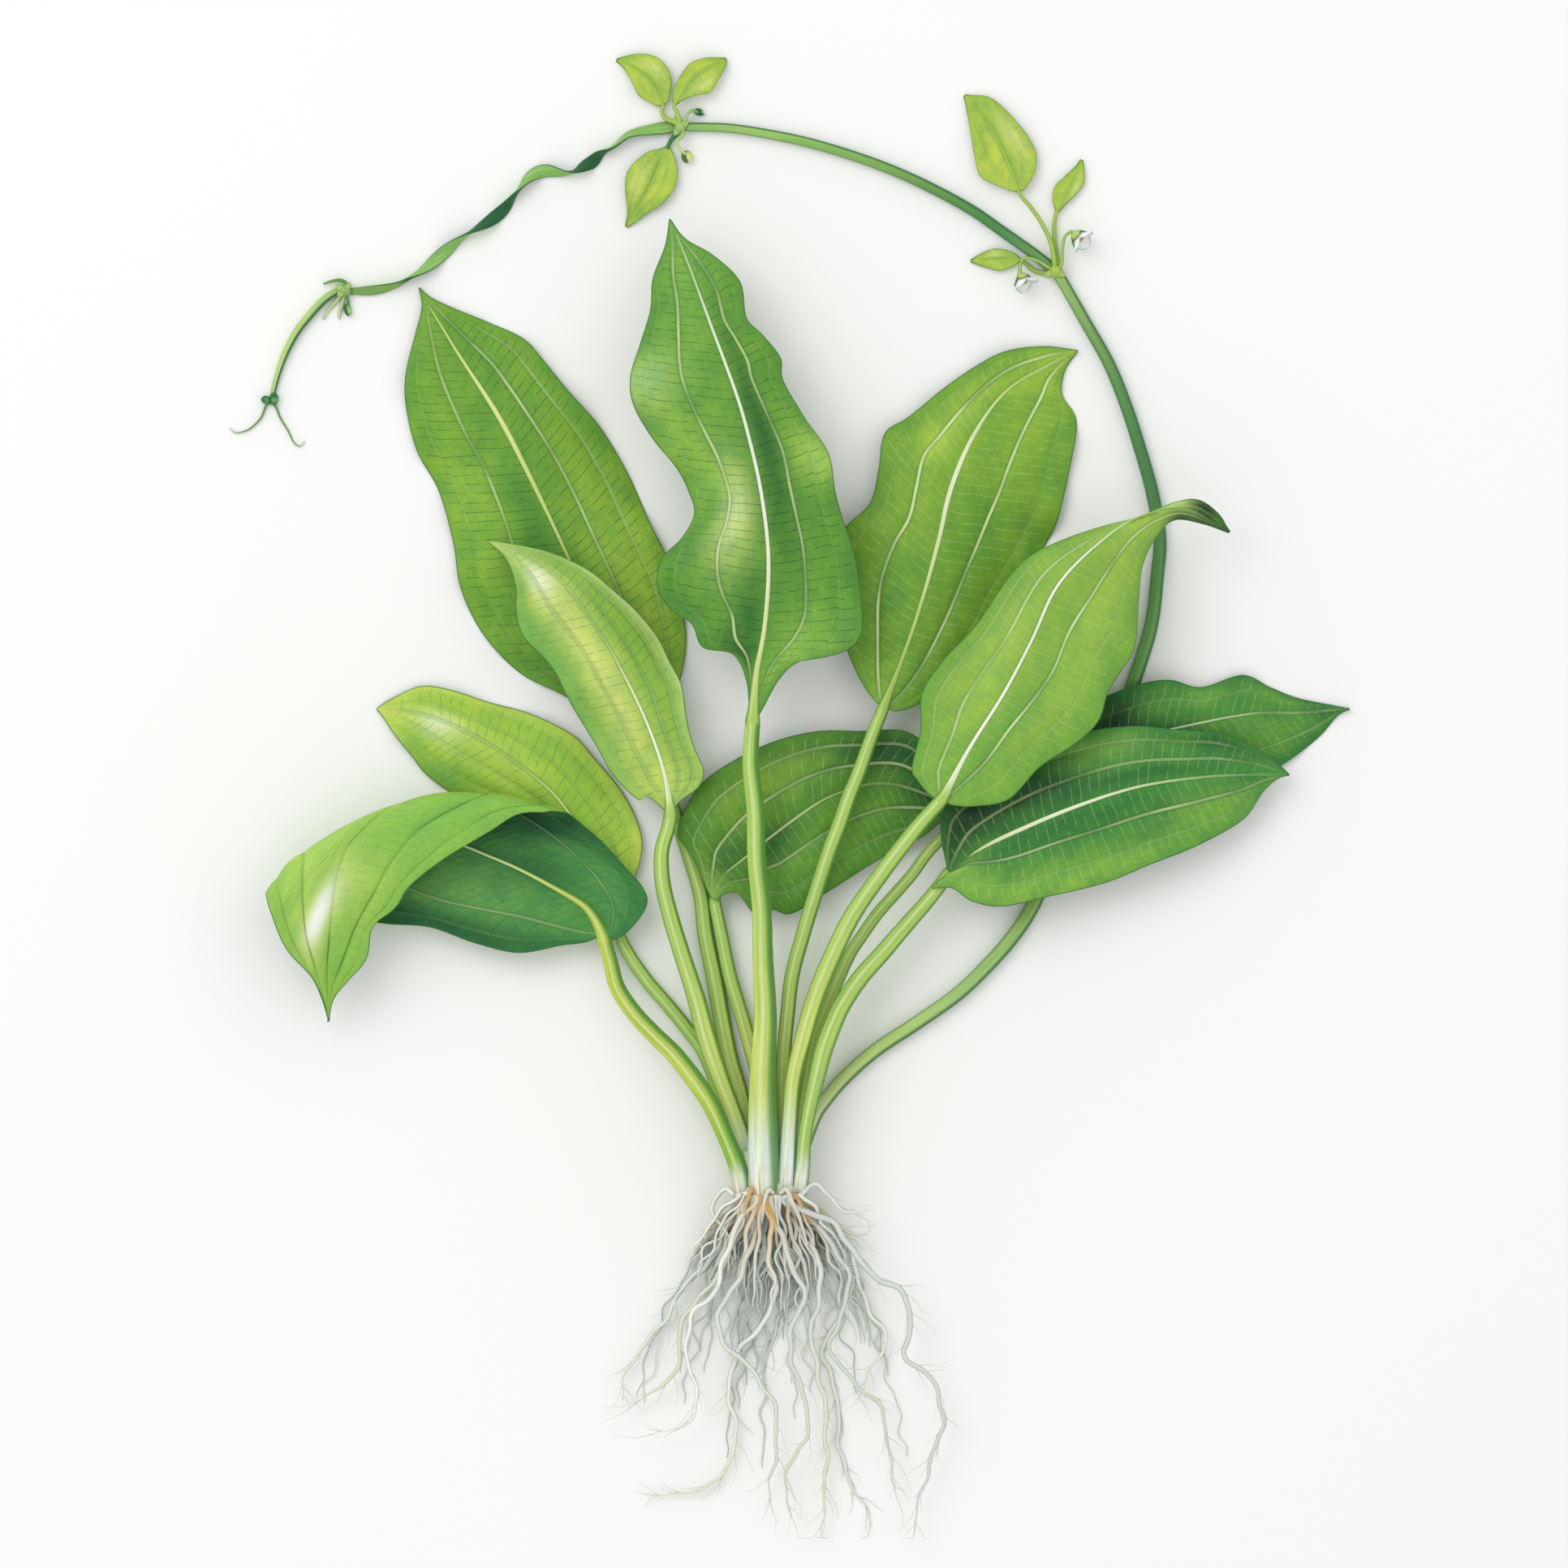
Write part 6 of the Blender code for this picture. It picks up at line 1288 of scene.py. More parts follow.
def stem_material(name, side, side_share, streak_size=0.9, roughness=0.42, light=None, spots=None,
                  side_reach=(0.55, 0.95), lean=0.0, foot=None):
    """Skin of stalks, runner and roots: fibres run along it, painted shade darkens its sides, one more widely
    than the other, and a painted highlight may run along it.
    """
    material, add = start_material(name, roughness)
    around = add(ATTRIBUTE, attribute_name="Round").outputs["Vector"]
    along = add(ATTRIBUTE, attribute_name="Along").outputs["Fac"]
    tint = add(ATTRIBUTE, attribute_name="Tint").outputs["Color"]
    level, up, _ = add(SEPARATE, [around]).outputs
    place = add(COMBINE, [level, up, along])
    place = add(VECTOR, [place, (3, 3, 0.045)], operation="MULTIPLY")
    fibre = add(NOISE, [place, streak_size, 4.0, 0.65])
    deep, bright = (add(VECTOR, [tint, factor], operation="MULTIPLY") for factor in (STEM_DEEP, STEM_BRIGHT))
    layers = [(add(REMAP, [fibre, 0.32, 0.68]), bright)]
    # a painted highlight: a pale stripe along the upper face, a little off its middle
    if light is not None:
        middle = add(MATH, [level, 0.15], operation="ADD")
        middle = add(MATH, [middle], operation="ABSOLUTE")
        band = add(REMAP, [middle, 0.05, 0.3, 0.45, 0.0], interpolation_type="SMOOTHSTEP")
        over = add(REMAP, [up, 0.0, 0.5])
        layers.append((add(MATH, [band, over], operation="MULTIPLY"), light))
    if spots:
        patch = add(NOISE, [place, 2.5, 2.0])
        layers.append((add(REMAP, [patch, 0.55, 0.7, 0.0, spots[1]]), spots[0]))
    if foot:
        stain = add(REMAP, [add(NOISE, [place, 2.0, 3.0]), 0.5, 0.62])
        near = add(REMAP, [along, 0.5 * foot[1], foot[1], 0.85, 0.0])
        layers.append((add(MATH, [stain, near], operation="MULTIPLY"), foot[0]))
    # painted shade on the sides, wider on one side by the lean
    flank = add(MATH, [level, lean], operation="ADD")
    flank = add(MATH, [flank], operation="ABSOLUTE")
    layers.append((add(REMAP, [flank, *side_reach, 0.0, side_share], interpolation_type="SMOOTHSTEP"), side))
    colour = deep
    for share, over in layers:
        colour = add(MIX, [share, colour, over], data_type="RGBA")
    return finish_material(material, colour, fibre, 0.4, 0.15)


# ---- the plant's pieces

def stalk_line(leaf):
    """A stalk's path from inside the crown to its blade, and its half widths."""
    start = np.array(leaf["stalk"][0], float)
    route = np.array([start * (CROWN_INNER, 0) + (0, STALK_FOOT), *leaf["stalk"], leaf["rib"][0]], float)
    length = lengths_along(even_curve(route, np.linspace(0, 1, CURVE_DETAIL * 4)))[-1]
    at, _ = stations(length, leaf["stalk_widths"][-1] / 2)
    heights = spline((leaf["stalk_heights"][0], *leaf["stalk_heights"]), at)
    half = spline((leaf["stalk_widths"][0] * STALK_FLARE, *leaf["stalk_widths"]), at) / 2
    path = np.column_stack((even_curve(route, at), heights))
    path[:, 2] -= STALK_SINK * (1 - ease(STALK_FOOT, STALK_SUNK_END, path[:, 1]))
    return on_surface(path, half * STALK_DEPTH), half


def smoothed(places, reach):
    """A path whose bends are rounded over some points on either side; its ends stay where they are."""
    weights = np.hanning(2 * reach + 3)[1:-1]
    padded = np.pad(places, ((reach, reach), (0, 0)), mode="reflect", reflect_type="odd")
    return np.column_stack([np.convolve(part, weights / weights.sum(), "valid") for part in padded.T])


def shaded(colours, at):
    """Colours at the given places, 0 to 1, along a stem: they go from one to the next."""
    return spline([linear(colour) for colour in colours], at)


def midrib(name, places, width, widths, tint, material, lead):
    """A blade's midrib: it starts inside the stalk, as wide as it, and goes over to its own widths."""
    places = places.copy()
    places[:, 2] += (lead[-1, 2] - places[0, 2]) * np.exp(-lengths_along(places) / MIDRIB_SPLICE)
    start = lengths_along(lead)[-1]
    line = np.hstack((np.vstack((lead, places[1:])), np.vstack((tint[:1] + 0 * lead[:-1], tint))))
    given = lengths_along(line[:, :3])
    length = np.arange(0, given[-1], MIDRIB_SPACING)
    line = np.column_stack([np.interp(length, given, part) for part in line.T])
    places = smoothed(line[:, :3], int(MIDRIB_BEND / MIDRIB_SPACING))
    share = length / length[-1]
    half = spline(widths, share) / 2
    half = half + (width - widths[0]) / 2 * np.exp(-np.maximum(length - start, 0) / MIDRIB_SPLICE)
    half *= MIDRIB_TUCK + (1 - MIDRIB_TUCK) * ease(0, 0.5 * start, length)
    half = np.maximum(half, MIDRIB_LEAST) * np.sqrt(np.clip((1 - share) / MIDRIB_END, LEAST_WIDTH, 1))
    return stem(name, places, half, line[:, 3:], material, sides=16, flatness=STALK_DEPTH)


class PLANT_OT_blades(bpy.types.Operator):
    """Leaf blades with their midribs, veins and wavy edges"""
    bl_idname = "plant.blades"
    bl_label = "Leaf Blades"

    def execute(self, context):
        settings = context.scene.plant_blades
        stalks = context.scene.plant_stalks
        under = blade_material("leaf underside, dull tissue with raised veins", "Back", settings, 0.4, 0.3,
                               roughness=0.6, raised=1.0)
        rib = stem_material("midrib, pale strand of fibres", stalks.dark, 0.75)
        skins = {}
        for finish, (slot, numbers, veins, rungs, mottling, pale_rungs) in BLADE_FINISHES.items():
            skin = blade_material(f"leaf tissue, waxy {finish} green", "Tint", settings, veins, rungs,
                                  mottling=mottling, pale_rungs=pale_rungs)
            skins.update({number: (slot, skin, under, rib) for number in numbers})
        upper = blade_material("leaf tissue, waxy folded green", "Back", settings, 0.0, 0.25, mottling=0.45,
                               flank=0.4)
        # the folded leaf's underside, darkened with painted shade below the fold
        lower = blade_material("leaf underside in painted shade, with raised veins", "Tint", settings, 0.35, 0.4,
                               roughness=0.55, raised=1.0)
        # leaf 07's midrib carries on its stalk's painted highlight and its painted shade, wider on one side
        strand = stem_material("midrib, yellow-green strand of fibres", stalks.dark, 0.85,
                               light=linear(STALK_HIGHLIGHT), side_reach=(0.5, 0.9), lean=0.3)
        skins[FOLDED_LEAF] = ("leaf_mid_green", lower, upper, strand)
        for number, leaf in LEAVES.items():
            self.add_blade(number, leaf, settings, stalks, *skins[number])
        return {"FINISHED"}

    def add_blade(self, number, leaf, settings, stalks, slot, front, back, strand):
        """One blade: its sheet and its midrib as one piece. The folded leaf's front is its underside."""
        tones = TONES[number]
        folded = number == FOLDED_LEAF
        veins = dict(sorted((tones["veins"] | MIDRIB_GROOVE).items()))
        across = columns_between(veins)
        if folded:
            grid = folded_sheet(across)
        else:
            rows = int(lengths_along(np.array(leaf["rib"], float))[-1] / BLADE_STEP)
            grid = blade_sheet(leaf, leaf["heights"], across, rows, BLADE_CROWDING)
        thickness = settings.thickness / MM
        sheet, measures, share = blade_relief(grid, across, veins, tones["ruffle"], settings,
                                              outward=-1 if folded else 1)
        sheet = np.clip(sheet, LOWEST + (0, 0, thickness + CLEARANCE), HIGHEST)
        place = np.repeat(across[None, :], len(sheet), axis=0)
        measures["Tint"] = painted(tones, share, place)
        if folded:
            measures["Back"] = painted(tones, share, place, "back_")
        else:
            measures["Back"] = measures["Tint"] * UNDERSIDE_KEPT + linear(UNDERSIDE_COLOUR) * UNDERSIDE_SHARE
        name = f"leaf_blade_{number}"
        blade = sheet_object(name, sheet, measures, settings.thickness, front, back)
        depth = -MIDRIB_RISE if folded else MIDRIB_DEPTH * thickness
        seen = slice(0, FOLD_ROWS if folded else None, 2), rib_of(across)
        path = sheet[seen] - grid_normals(sheet)[seen] * depth
        share = lengths_along(path) / lengths_along(path)[-1]
        widths, colours = tones["rib"]
        tint = blend(linear(FOLD_GREEN) if folded else np.array(stalks.green), shaded(colours, share),
                     ease(0, MIDRIB_GREEN_END, share))
        stalk_path, half = stalk_line(leaf)
        lead = stalk_path[lengths_along(stalk_path) > lengths_along(stalk_path)[-1] - MIDRIB_LEAD]
        sleeve = 2 * (FOLD_SLEEVE if folded else MIDRIB_SLEEVE)
        rib = midrib(name + "_rib", path, half[-1] * sleeve, widths, tint, strand, lead)
        finish_piece(name, [blade, rib], [name])


class PLANT_OT_stalks(bpy.types.Operator):
    """Leaf stalks, ribbed, white where they were buried"""
    bl_idname = "plant.stalks"
    bl_label = "Leaf Stalks"

    def execute(self, context):
        settings = context.scene.plant_stalks
        looks = {"light": linear(STALK_HIGHLIGHT), "foot": (linear(STALK_STAIN), STAIN_LENGTH)}
        # painted shade on a stalk's two sides and a painted highlight along it; the second skin's shade is
        # wider on one side
        skin = stem_material("leaf stalk, ribbed green skin", settings.dark, 0.8, side_reach=(0.62, 0.96),
                             **looks)
        dim = stem_material("leaf stalk, green skin with painted shade on one side", settings.dark, 0.85,
                            side_reach=(0.5, 0.9), lean=0.3, **looks)
        for number, leaf in sorted(LEAVES.items()):
            name = f"leaf_stalk_{number}"
            folded = number == FOLDED_LEAF
            path, half = stalk_line(leaf)
            _, fullness = stations(lengths_along(path)[-1], half[-1])
            half = half * fullness[:len(half)]
            reach = (path[:, 1] - STALK_FOOT) / (settings.bleached / MM * BLEACHING.get(number, 1))
            green = linear(FOLD_GREEN) if folded else settings.green
            young = linear(DEEP_STALKS[number]) if number in DEEP_STALKS else settings.young
            tint = blend(np.array(settings.white), young, ease(*YOUNG_REACH, reach))
            tint = blend(tint, green, ease(*GREEN_REACH, reach))
            if folded:
                kept = lengths_along(path) < lengths_along(path)[-1] - FOLD_TRIM
                path, half, tint = path[kept], half[kept], tint[kept]
            tube = stem(name, path, half, tint, dim if number in SHADED_STALKS else skin, sides=36,
                        ribs=settings.ribs, rib_depth=settings.rib_depth, flatness=STALK_DEPTH)
            finish_piece(name, [tube], [name])
        return {"FINISHED"}


class PLANT_OT_crown(bpy.types.Operator):
    """Rootstock, with the papery sheaths of the stalks round it"""
    bl_idname = "plant.crown"
    bl_label = "Crown"

    def execute(self, context):
        ochre = context.scene.plant_roots.ochre
        skin = stem_material("rootstock and leaf sheaths, pale papery skin", linear(SHEATH_SHADE), 0.4,
                             streak_size=1.6, roughness=0.6, spots=(ochre, 0.75))
        rows, columns = CROWN_GRID
        at = np.linspace(0, 1, rows)
        ring_y, half, middle, low, high = spline(CROWN_RINGS, at).T[:, :, None]
        angle = np.linspace(0, 2 * math.pi, columns, endpoint=False)
        side, rise = (np.sign(turn) * np.abs(turn)**CROWN_SQUARING for turn in (np.cos(angle), np.sin(angle)))
        lump = 1 - sum(depth * np.cos(count * angle + turn)**2 for depth, count, turn in CROWN_LUMPS)
        points = np.zeros((rows, columns, 3))
        points[:, :, 0] = middle + half * lump * side
        points[:, :, 1] = ring_y + SHEATH_POINTS * np.cos(SHEATHS * angle + 1) * at[:, None]**3
        points[:, :, 2] = np.maximum((low + high) / 2 + (high - low) / 2 * lump * rise, CROWN_LOWEST)
        last = np.arange(rows - 1) * columns + columns - 1
        faces = grid_faces(rows, columns)
        faces += np.column_stack((last, last - columns + 1, last + 1, last + columns)).tolist()
        faces += [list(range(columns))[::-1], [(rows - 1) * columns + k for k in range(columns)]]
        around = np.tile(np.column_stack((np.cos(angle), np.sin(angle), 0 * angle)), (rows, 1))
        place = points[:, :, 1].ravel()
        white = np.array(context.scene.plant_stalks.white)
        tint = blend(white, linear(SHEATH_GREEN), ease(*SHEATH_GREEN_REACH, place))
        tint = blend(tint, ochre, CROWN_OCHRE * (1 - ease(*CROWN_OCHRE_REACH, place)))
        obj = new_object("crown", points.reshape(-1, 3), [], faces,
                         {"Round": around, "Along": place, "Tint": tint})
        obj.data.materials.append(skin)
        form = bmesh.new()
        form.from_mesh(obj.data)
        bmesh.ops.recalc_face_normals(form, faces=form.faces)
        form.to_mesh(obj.data)
        form.free()
        finish_piece("crown", [obj], ["crown"])
        return {"FINISHED"}


class PLANT_OT_runner(bpy.types.Operator):
    """The runner: round stems, a flat twisting ribbon and the knuckles that carry plantlets"""
    bl_idname = "plant.runner"
    bl_label = "Runner"

    def execute(self, context):
        settings = context.scene.plant_runner
        # painted shade on the runner's sides, wider on one; at its tip on one side only
        skin = stem_material("runner, smooth green skin", settings.dark, 0.85, 0.7, side_reach=(0.5, 0.95),
                             lean=0.12)
        tip_skin = stem_material("runner's tip, green skin with painted shade on one side", settings.dark, 0.9, 0.7,
                                 side_reach=(0.7, 0.9), lean=-0.5)
        for name, shape in RUNNERS.items():
            is_tip = name == "runner_stem_4"
            widths = shape["widths"]
            at, fullness = stations(route_length(shape["route"]), min(widths[0], widths[-1]) / 2)
            half = spline(widths, at) / 2
            above = shape.get("start_height", half[0]) - half[0]
            heights = half + above * np.clip(1 - at / RUNNER_LANDING, 0, 1) + CLEARANCE
            path = np.column_stack((even_curve(shape["route"], at), heights))
            tint = shaded(shape["colours"], at)
            parts = [stem(name, path, half * fullness, tint, tip_skin if is_tip else skin, sides=32, ribs=5,
                          rib_depth=0.03)]
            if is_tip:
                parts += [bulb(name + "_knob", *knob, skin) for knob in TIP_KNOBS]
            finish_piece(name, parts, [name])
        self.add_ribbon(settings)
        self.add_knuckles(settings)
        return {"FINISHED"}

    def add_ribbon(self, settings):
        """The flat stretch, which stands on edge at its pinches and after each shows its back, darkened with
        painted shade.
        """
        at, fullness = stations(route_length(RIBBON_ROUTE), RIBBON_WIDTH / 4, RIBBON_SPACING)
        pinches = len(RIBBON_PINCHES)
        turns = math.pi * np.interp(at, (0, *RIBBON_PINCHES, 1), (0, *np.arange(pinches) + 0.5, pinches))
        lift = RIBBON_WIDTH / 2 * np.abs(np.sin(turns)) + RIBBON_THICKNESS / 2 * np.abs(np.cos(turns))
        path = np.column_stack((even_curve(RIBBON_ROUTE, at), lift + RIBBON_CLEARANCE))
        half = np.full(len(at), RIBBON_WIDTH / 2) * np.maximum(fullness, RIBBON_BLUNTNESS)
        half *= np.interp(ease(0, RIBBON_START, at), (0, 1), (RIBBON_NECK, 1))
        half *= np.interp(ease(RIBBON_END, 1, at), (0, 1), (1, RIBBON_TIP))
        light, dark = (np.array(colour) for colour in (settings.light, settings.dark))
        tint = blend(RIBBON_SHADE * dark, RIBBON_GLEAM * light, ease(RIBBON_PINCHES[-1], RIBBON_TURNED, at))
        tube = stem("runner_stem_3", path, half, tint, ribbon_material(settings), sides=32,
                    flatness=RIBBON_THICKNESS / RIBBON_WIDTH, turns=turns)
        finish_piece("runner_stem_3", [tube], ["runner_stem_3"])

    def add_knuckles(self, settings):
        """The knuckles, each with the papery scales that wrapped its bud."""
        # painted shade on the sides of knuckles and scales
        skin = stem_material("knuckle, green skin with pale scars", settings.dark, 0.5,
                             spots=(linear("#D6DFA8"), 0.6), side_reach=(0.5, 0.95))
        scale_skin = stem_material("scale leaf, thin papery green", settings.dark, 0.6, side_reach=(0.6, 1.0))
        share, swell = egg(KNUCKLE_RINGS)
        steps = np.linspace(0, 1, SCALE_RINGS)
        half = SCALE_HALF * np.sin(math.pi * (0.28 + 0.7 * steps))**0.8 + 0.05
        for name, (place, width, length, height, colour, scales) in NODES.items():
            path = np.array(place) + share[:, None] * (0, length / 2, 0)
            parts = [stem(name, path, width / 2 * swell, linear(colour), skin, sides=24, ribs=4,
                          rib_depth=0.03, flatness=height / width)]
            for turn, reach in scales:
                away = np.array((math.cos(math.radians(turn)), math.sin(math.radians(turn)), 0))
                line = np.array(place) + (width * SCALE_START + steps * reach)[:, None] * away
                line[:, 2] = np.maximum(place[2] + height * SCALE_LEVEL - SCALE_DROOP * steps, SCALE_LOWEST)
                parts.append(stem(name + "_scale", line, half, linear(SCALE_COLOUR), scale_skin, sides=14,
                                  flatness=0.3))
            finish_piece(name, parts, [name])


def ribbon_material(settings):
    """The runner's ribbon: light green on one face, dark with painted shade on the other, with a thin dark
    edge.
    """
    material, add = start_material("runner ribbon, green skin with painted shade on its back", 0.42)
    around = add(ATTRIBUTE, attribute_name="Round").outputs["Vector"]
    along = add(ATTRIBUTE, attribute_name="Along").outputs["Fac"]
    behind = add(ATTRIBUTE, attribute_name="Tint").outputs["Color"]
    level, up, _ = add(SEPARATE, [around]).outputs
    place = add(COMBINE, [level, up, along])
    place = add(VECTOR, [place, (5, 1.5, 0.08)], operation="MULTIPLY")
    fibre = add(NOISE, [place, 1.2, 4.0])
    face = add(REMAP, [up, -0.15, 0.15])
    colour = add(MIX, [face, behind, settings.light], data_type="RGBA")
    tone = add(REMAP, [fibre, 0.3, 0.7, 0.78, 1.25])
    colour = add(VECTOR, [colour, tone], operation="SCALE")
    rim = add(MATH, [level], operation="ABSOLUTE")
    rim = add(REMAP, [rim, 0.82, 0.97, 0.0, 0.8])
    colour = add(MIX, [rim, colour, linear("#245C38")], data_type="RGBA")
    return finish_material(material, colour, fibre, 0.4, 0.15)


class PLANT_OT_sprouts(bpy.types.Operator):
    """The plantlets' small leaves with their slim stalks"""
    bl_idname = "plant.sprouts"
    bl_label = "Plantlet Leaves"

    def execute(self, context):
        blades = context.scene.plant_blades
        base = np.array(context.scene.plant_runner.sprout)
        front = blade_material("young leaf tissue, thin yellow-green", "Tint", blades, 0.25, 0.0,
                               roughness=0.5, rim_reach=0.45, rim_share=0.6)
        back = blade_material("young leaf underside", "Back", blades, 0.3, 0.0, roughness=0.55, raised=1.0)
        stalk_skin = stem_material("small leaf stalk, green skin", linear("#4F8C3E"), 0.6)
        rib_skin = stem_material("small midrib, green strand", linear("#7FAE46"), 0.5)
        across = columns_between(SPROUT_VEINS)
        for name, sprout in SPROUTS.items():
            route = (*sprout["stalk"], *sprout["rib"])
            total = route_length(route, SPROUT_DETAIL)
            start = 1 - route_length(sprout["rib"], SPROUT_DETAIL) / total
            heights = spline(sprout["heights"], np.linspace(start, 1, 9)) + SPROUT_RISE
            edges = heights - SPROUT_DROOP
            grid = blade_sheet(sprout, (heights, edges, edges), across, SPROUT_ROWS, ends_wide=SPROUT_ENDS)
            grid[:, :, 2] += SPROUT_CUP * (np.abs(across)**2 - 0.5)
            sheet, measures, share = blade_relief(grid, across, SPROUT_VEINS, SPROUT_RUFFLE, blades)
            sheet = np.clip(sheet, LOWEST + (0, 0, SPROUT_SHEET + CLEARANCE), HIGHEST)
            side = np.repeat(across[None, :], len(sheet), axis=0)
            near_tip = np.exp(-((share - SPROUT_GREEN_AT) / SPROUT_GREEN_REACH)**2)
            greener = SPROUT_GREEN_SHARES[0] * near_tip + SPROUT_GREEN_SHARES[1] * np.abs(side)**3
            tone = blend(base, linear(SPROUT_GREEN), greener)
            for (along, wide), size, strength, colour in SPROUT_TONES:
                near = np.exp(-((share - along) / size[0])**2 - ((side - wide) / size[1])**2)
                tone = blend(tone, linear(colour), strength * near)
            measures["Tint"] = tone
            measures["Back"] = tone * SPROUT_BACK
            blade = sheet_object(name, sheet, measures, SPROUT_SHEET * MM, front, back)
            path = sheet[::2, rib_of(across)] - (0, 0, SPROUT_SINK)
            half = np.interp(np.linspace(0, 1, len(path)), *SPROUT_RIB_TAPER)
            rib = stem(name + "_rib", path, half, linear("#A3C45C"), rib_skin, sides=12)
            steps = np.linspace(0, start + SPROUT_OVERLAP, max(8, int(start * total / SPROUT_SPACING)))
            path = np.column_stack((even_curve(route, steps), spline(sprout["heights"], steps) - SPROUT_SINK))
            half = np.linspace(SPROUT_STALK_WIDTH / 2, SPROUT_RIB_TAPER[1][0], len(steps))
            half = np.append(half[0], half)
            path = on_surface(np.vstack((knuckle_of(name), path)), half)
            tint = linear(DARK_STALKS.get(name, "#A6C45A"))
            tube = stem(name + "_stalk", path, half, tint, stalk_skin, sides=16)
            finish_piece(name, [blade, rib, tube], [name])
        return {"FINISHED"}


def knuckle_of(name):
    """The middle of the knuckle that a small leaf, a flower or a shoot springs from."""
    return next(place for start, place in SPRINGS.items() if name.startswith(start))


def whorl_tree(name):
    """Geometry nodes that set copies of one piece in a ring, all leaning the same way."""
    add, given = start_tree(name, {"Piece": "Geometry", "Count": "Int", "Ring Radius": "Float",
                                   "Lean": "Float", "Turn": "Float", "Material": "Material"})
    ring = add("GeometryNodeMeshCircle", {"Vertices": given["Count"], "Radius": given["Ring Radius"]})
    step = add(MATH, [2 * math.pi, given["Count"]], operation="DIVIDE")
    angle = add(MATH, [add("GeometryNodeInputIndex"), step], operation="MULTIPLY")
    lean = add(MATH, [given["Lean"], -1.0], operation="MULTIPLY")
    turned = add("FunctionNodeEulerToRotation", [add(COMBINE, {"Y": lean, "Z": angle})])
    copies = add("GeometryNodeInstanceOnPoints", {"Points": ring, "Instance": given["Piece"],
                                                  "Rotation": turned})
    spin = add(COMBINE, {"Z": given["Turn"]})
    real = add("GeometryNodeRealizeInstances", [copies])
    placed = add("GeometryNodeTransform", {"Geometry": real, "Rotation": spin})
    dressed = add("GeometryNodeSetMaterial", {"Geometry": placed, "Material": given["Material"]})
    add("NodeGroupOutput", [dressed])


def petal_material(settings):
    """Petal: thin white tissue with grey-blue lines from its claw to its rim."""
    material, add = start_material("petal, thin white tissue", 0.6)
    leaf = add(ATTRIBUTE, attribute_name="Leaf").outputs["Vector"]
    along, across, margin = add(SEPARATE, [leaf]).outputs
    line = add(MATH, [across, 7.0], operation="MULTIPLY")
    line = add(MATH, [line], operation="SINE")
    thin = add(REMAP, [line, 0.7, 1.0, 0.0, 0.7])
    fade = add(REMAP, [along, 1.5, 4.0, 1.0, 0.0])
    drawn = add(MATH, [thin, fade], operation="MULTIPLY")
    colour = add(MIX, [drawn, settings.petal, linear("#7E98A4")], data_type="RGBA")
    rim = add(REMAP, [margin, 0.05, 0.4, 0.6, 0.0])
    colour = add(MIX, [rim, colour, linear("#6E8C94")], data_type="RGBA")
    return finish_material(material, colour, line, 0.3, 0.1)


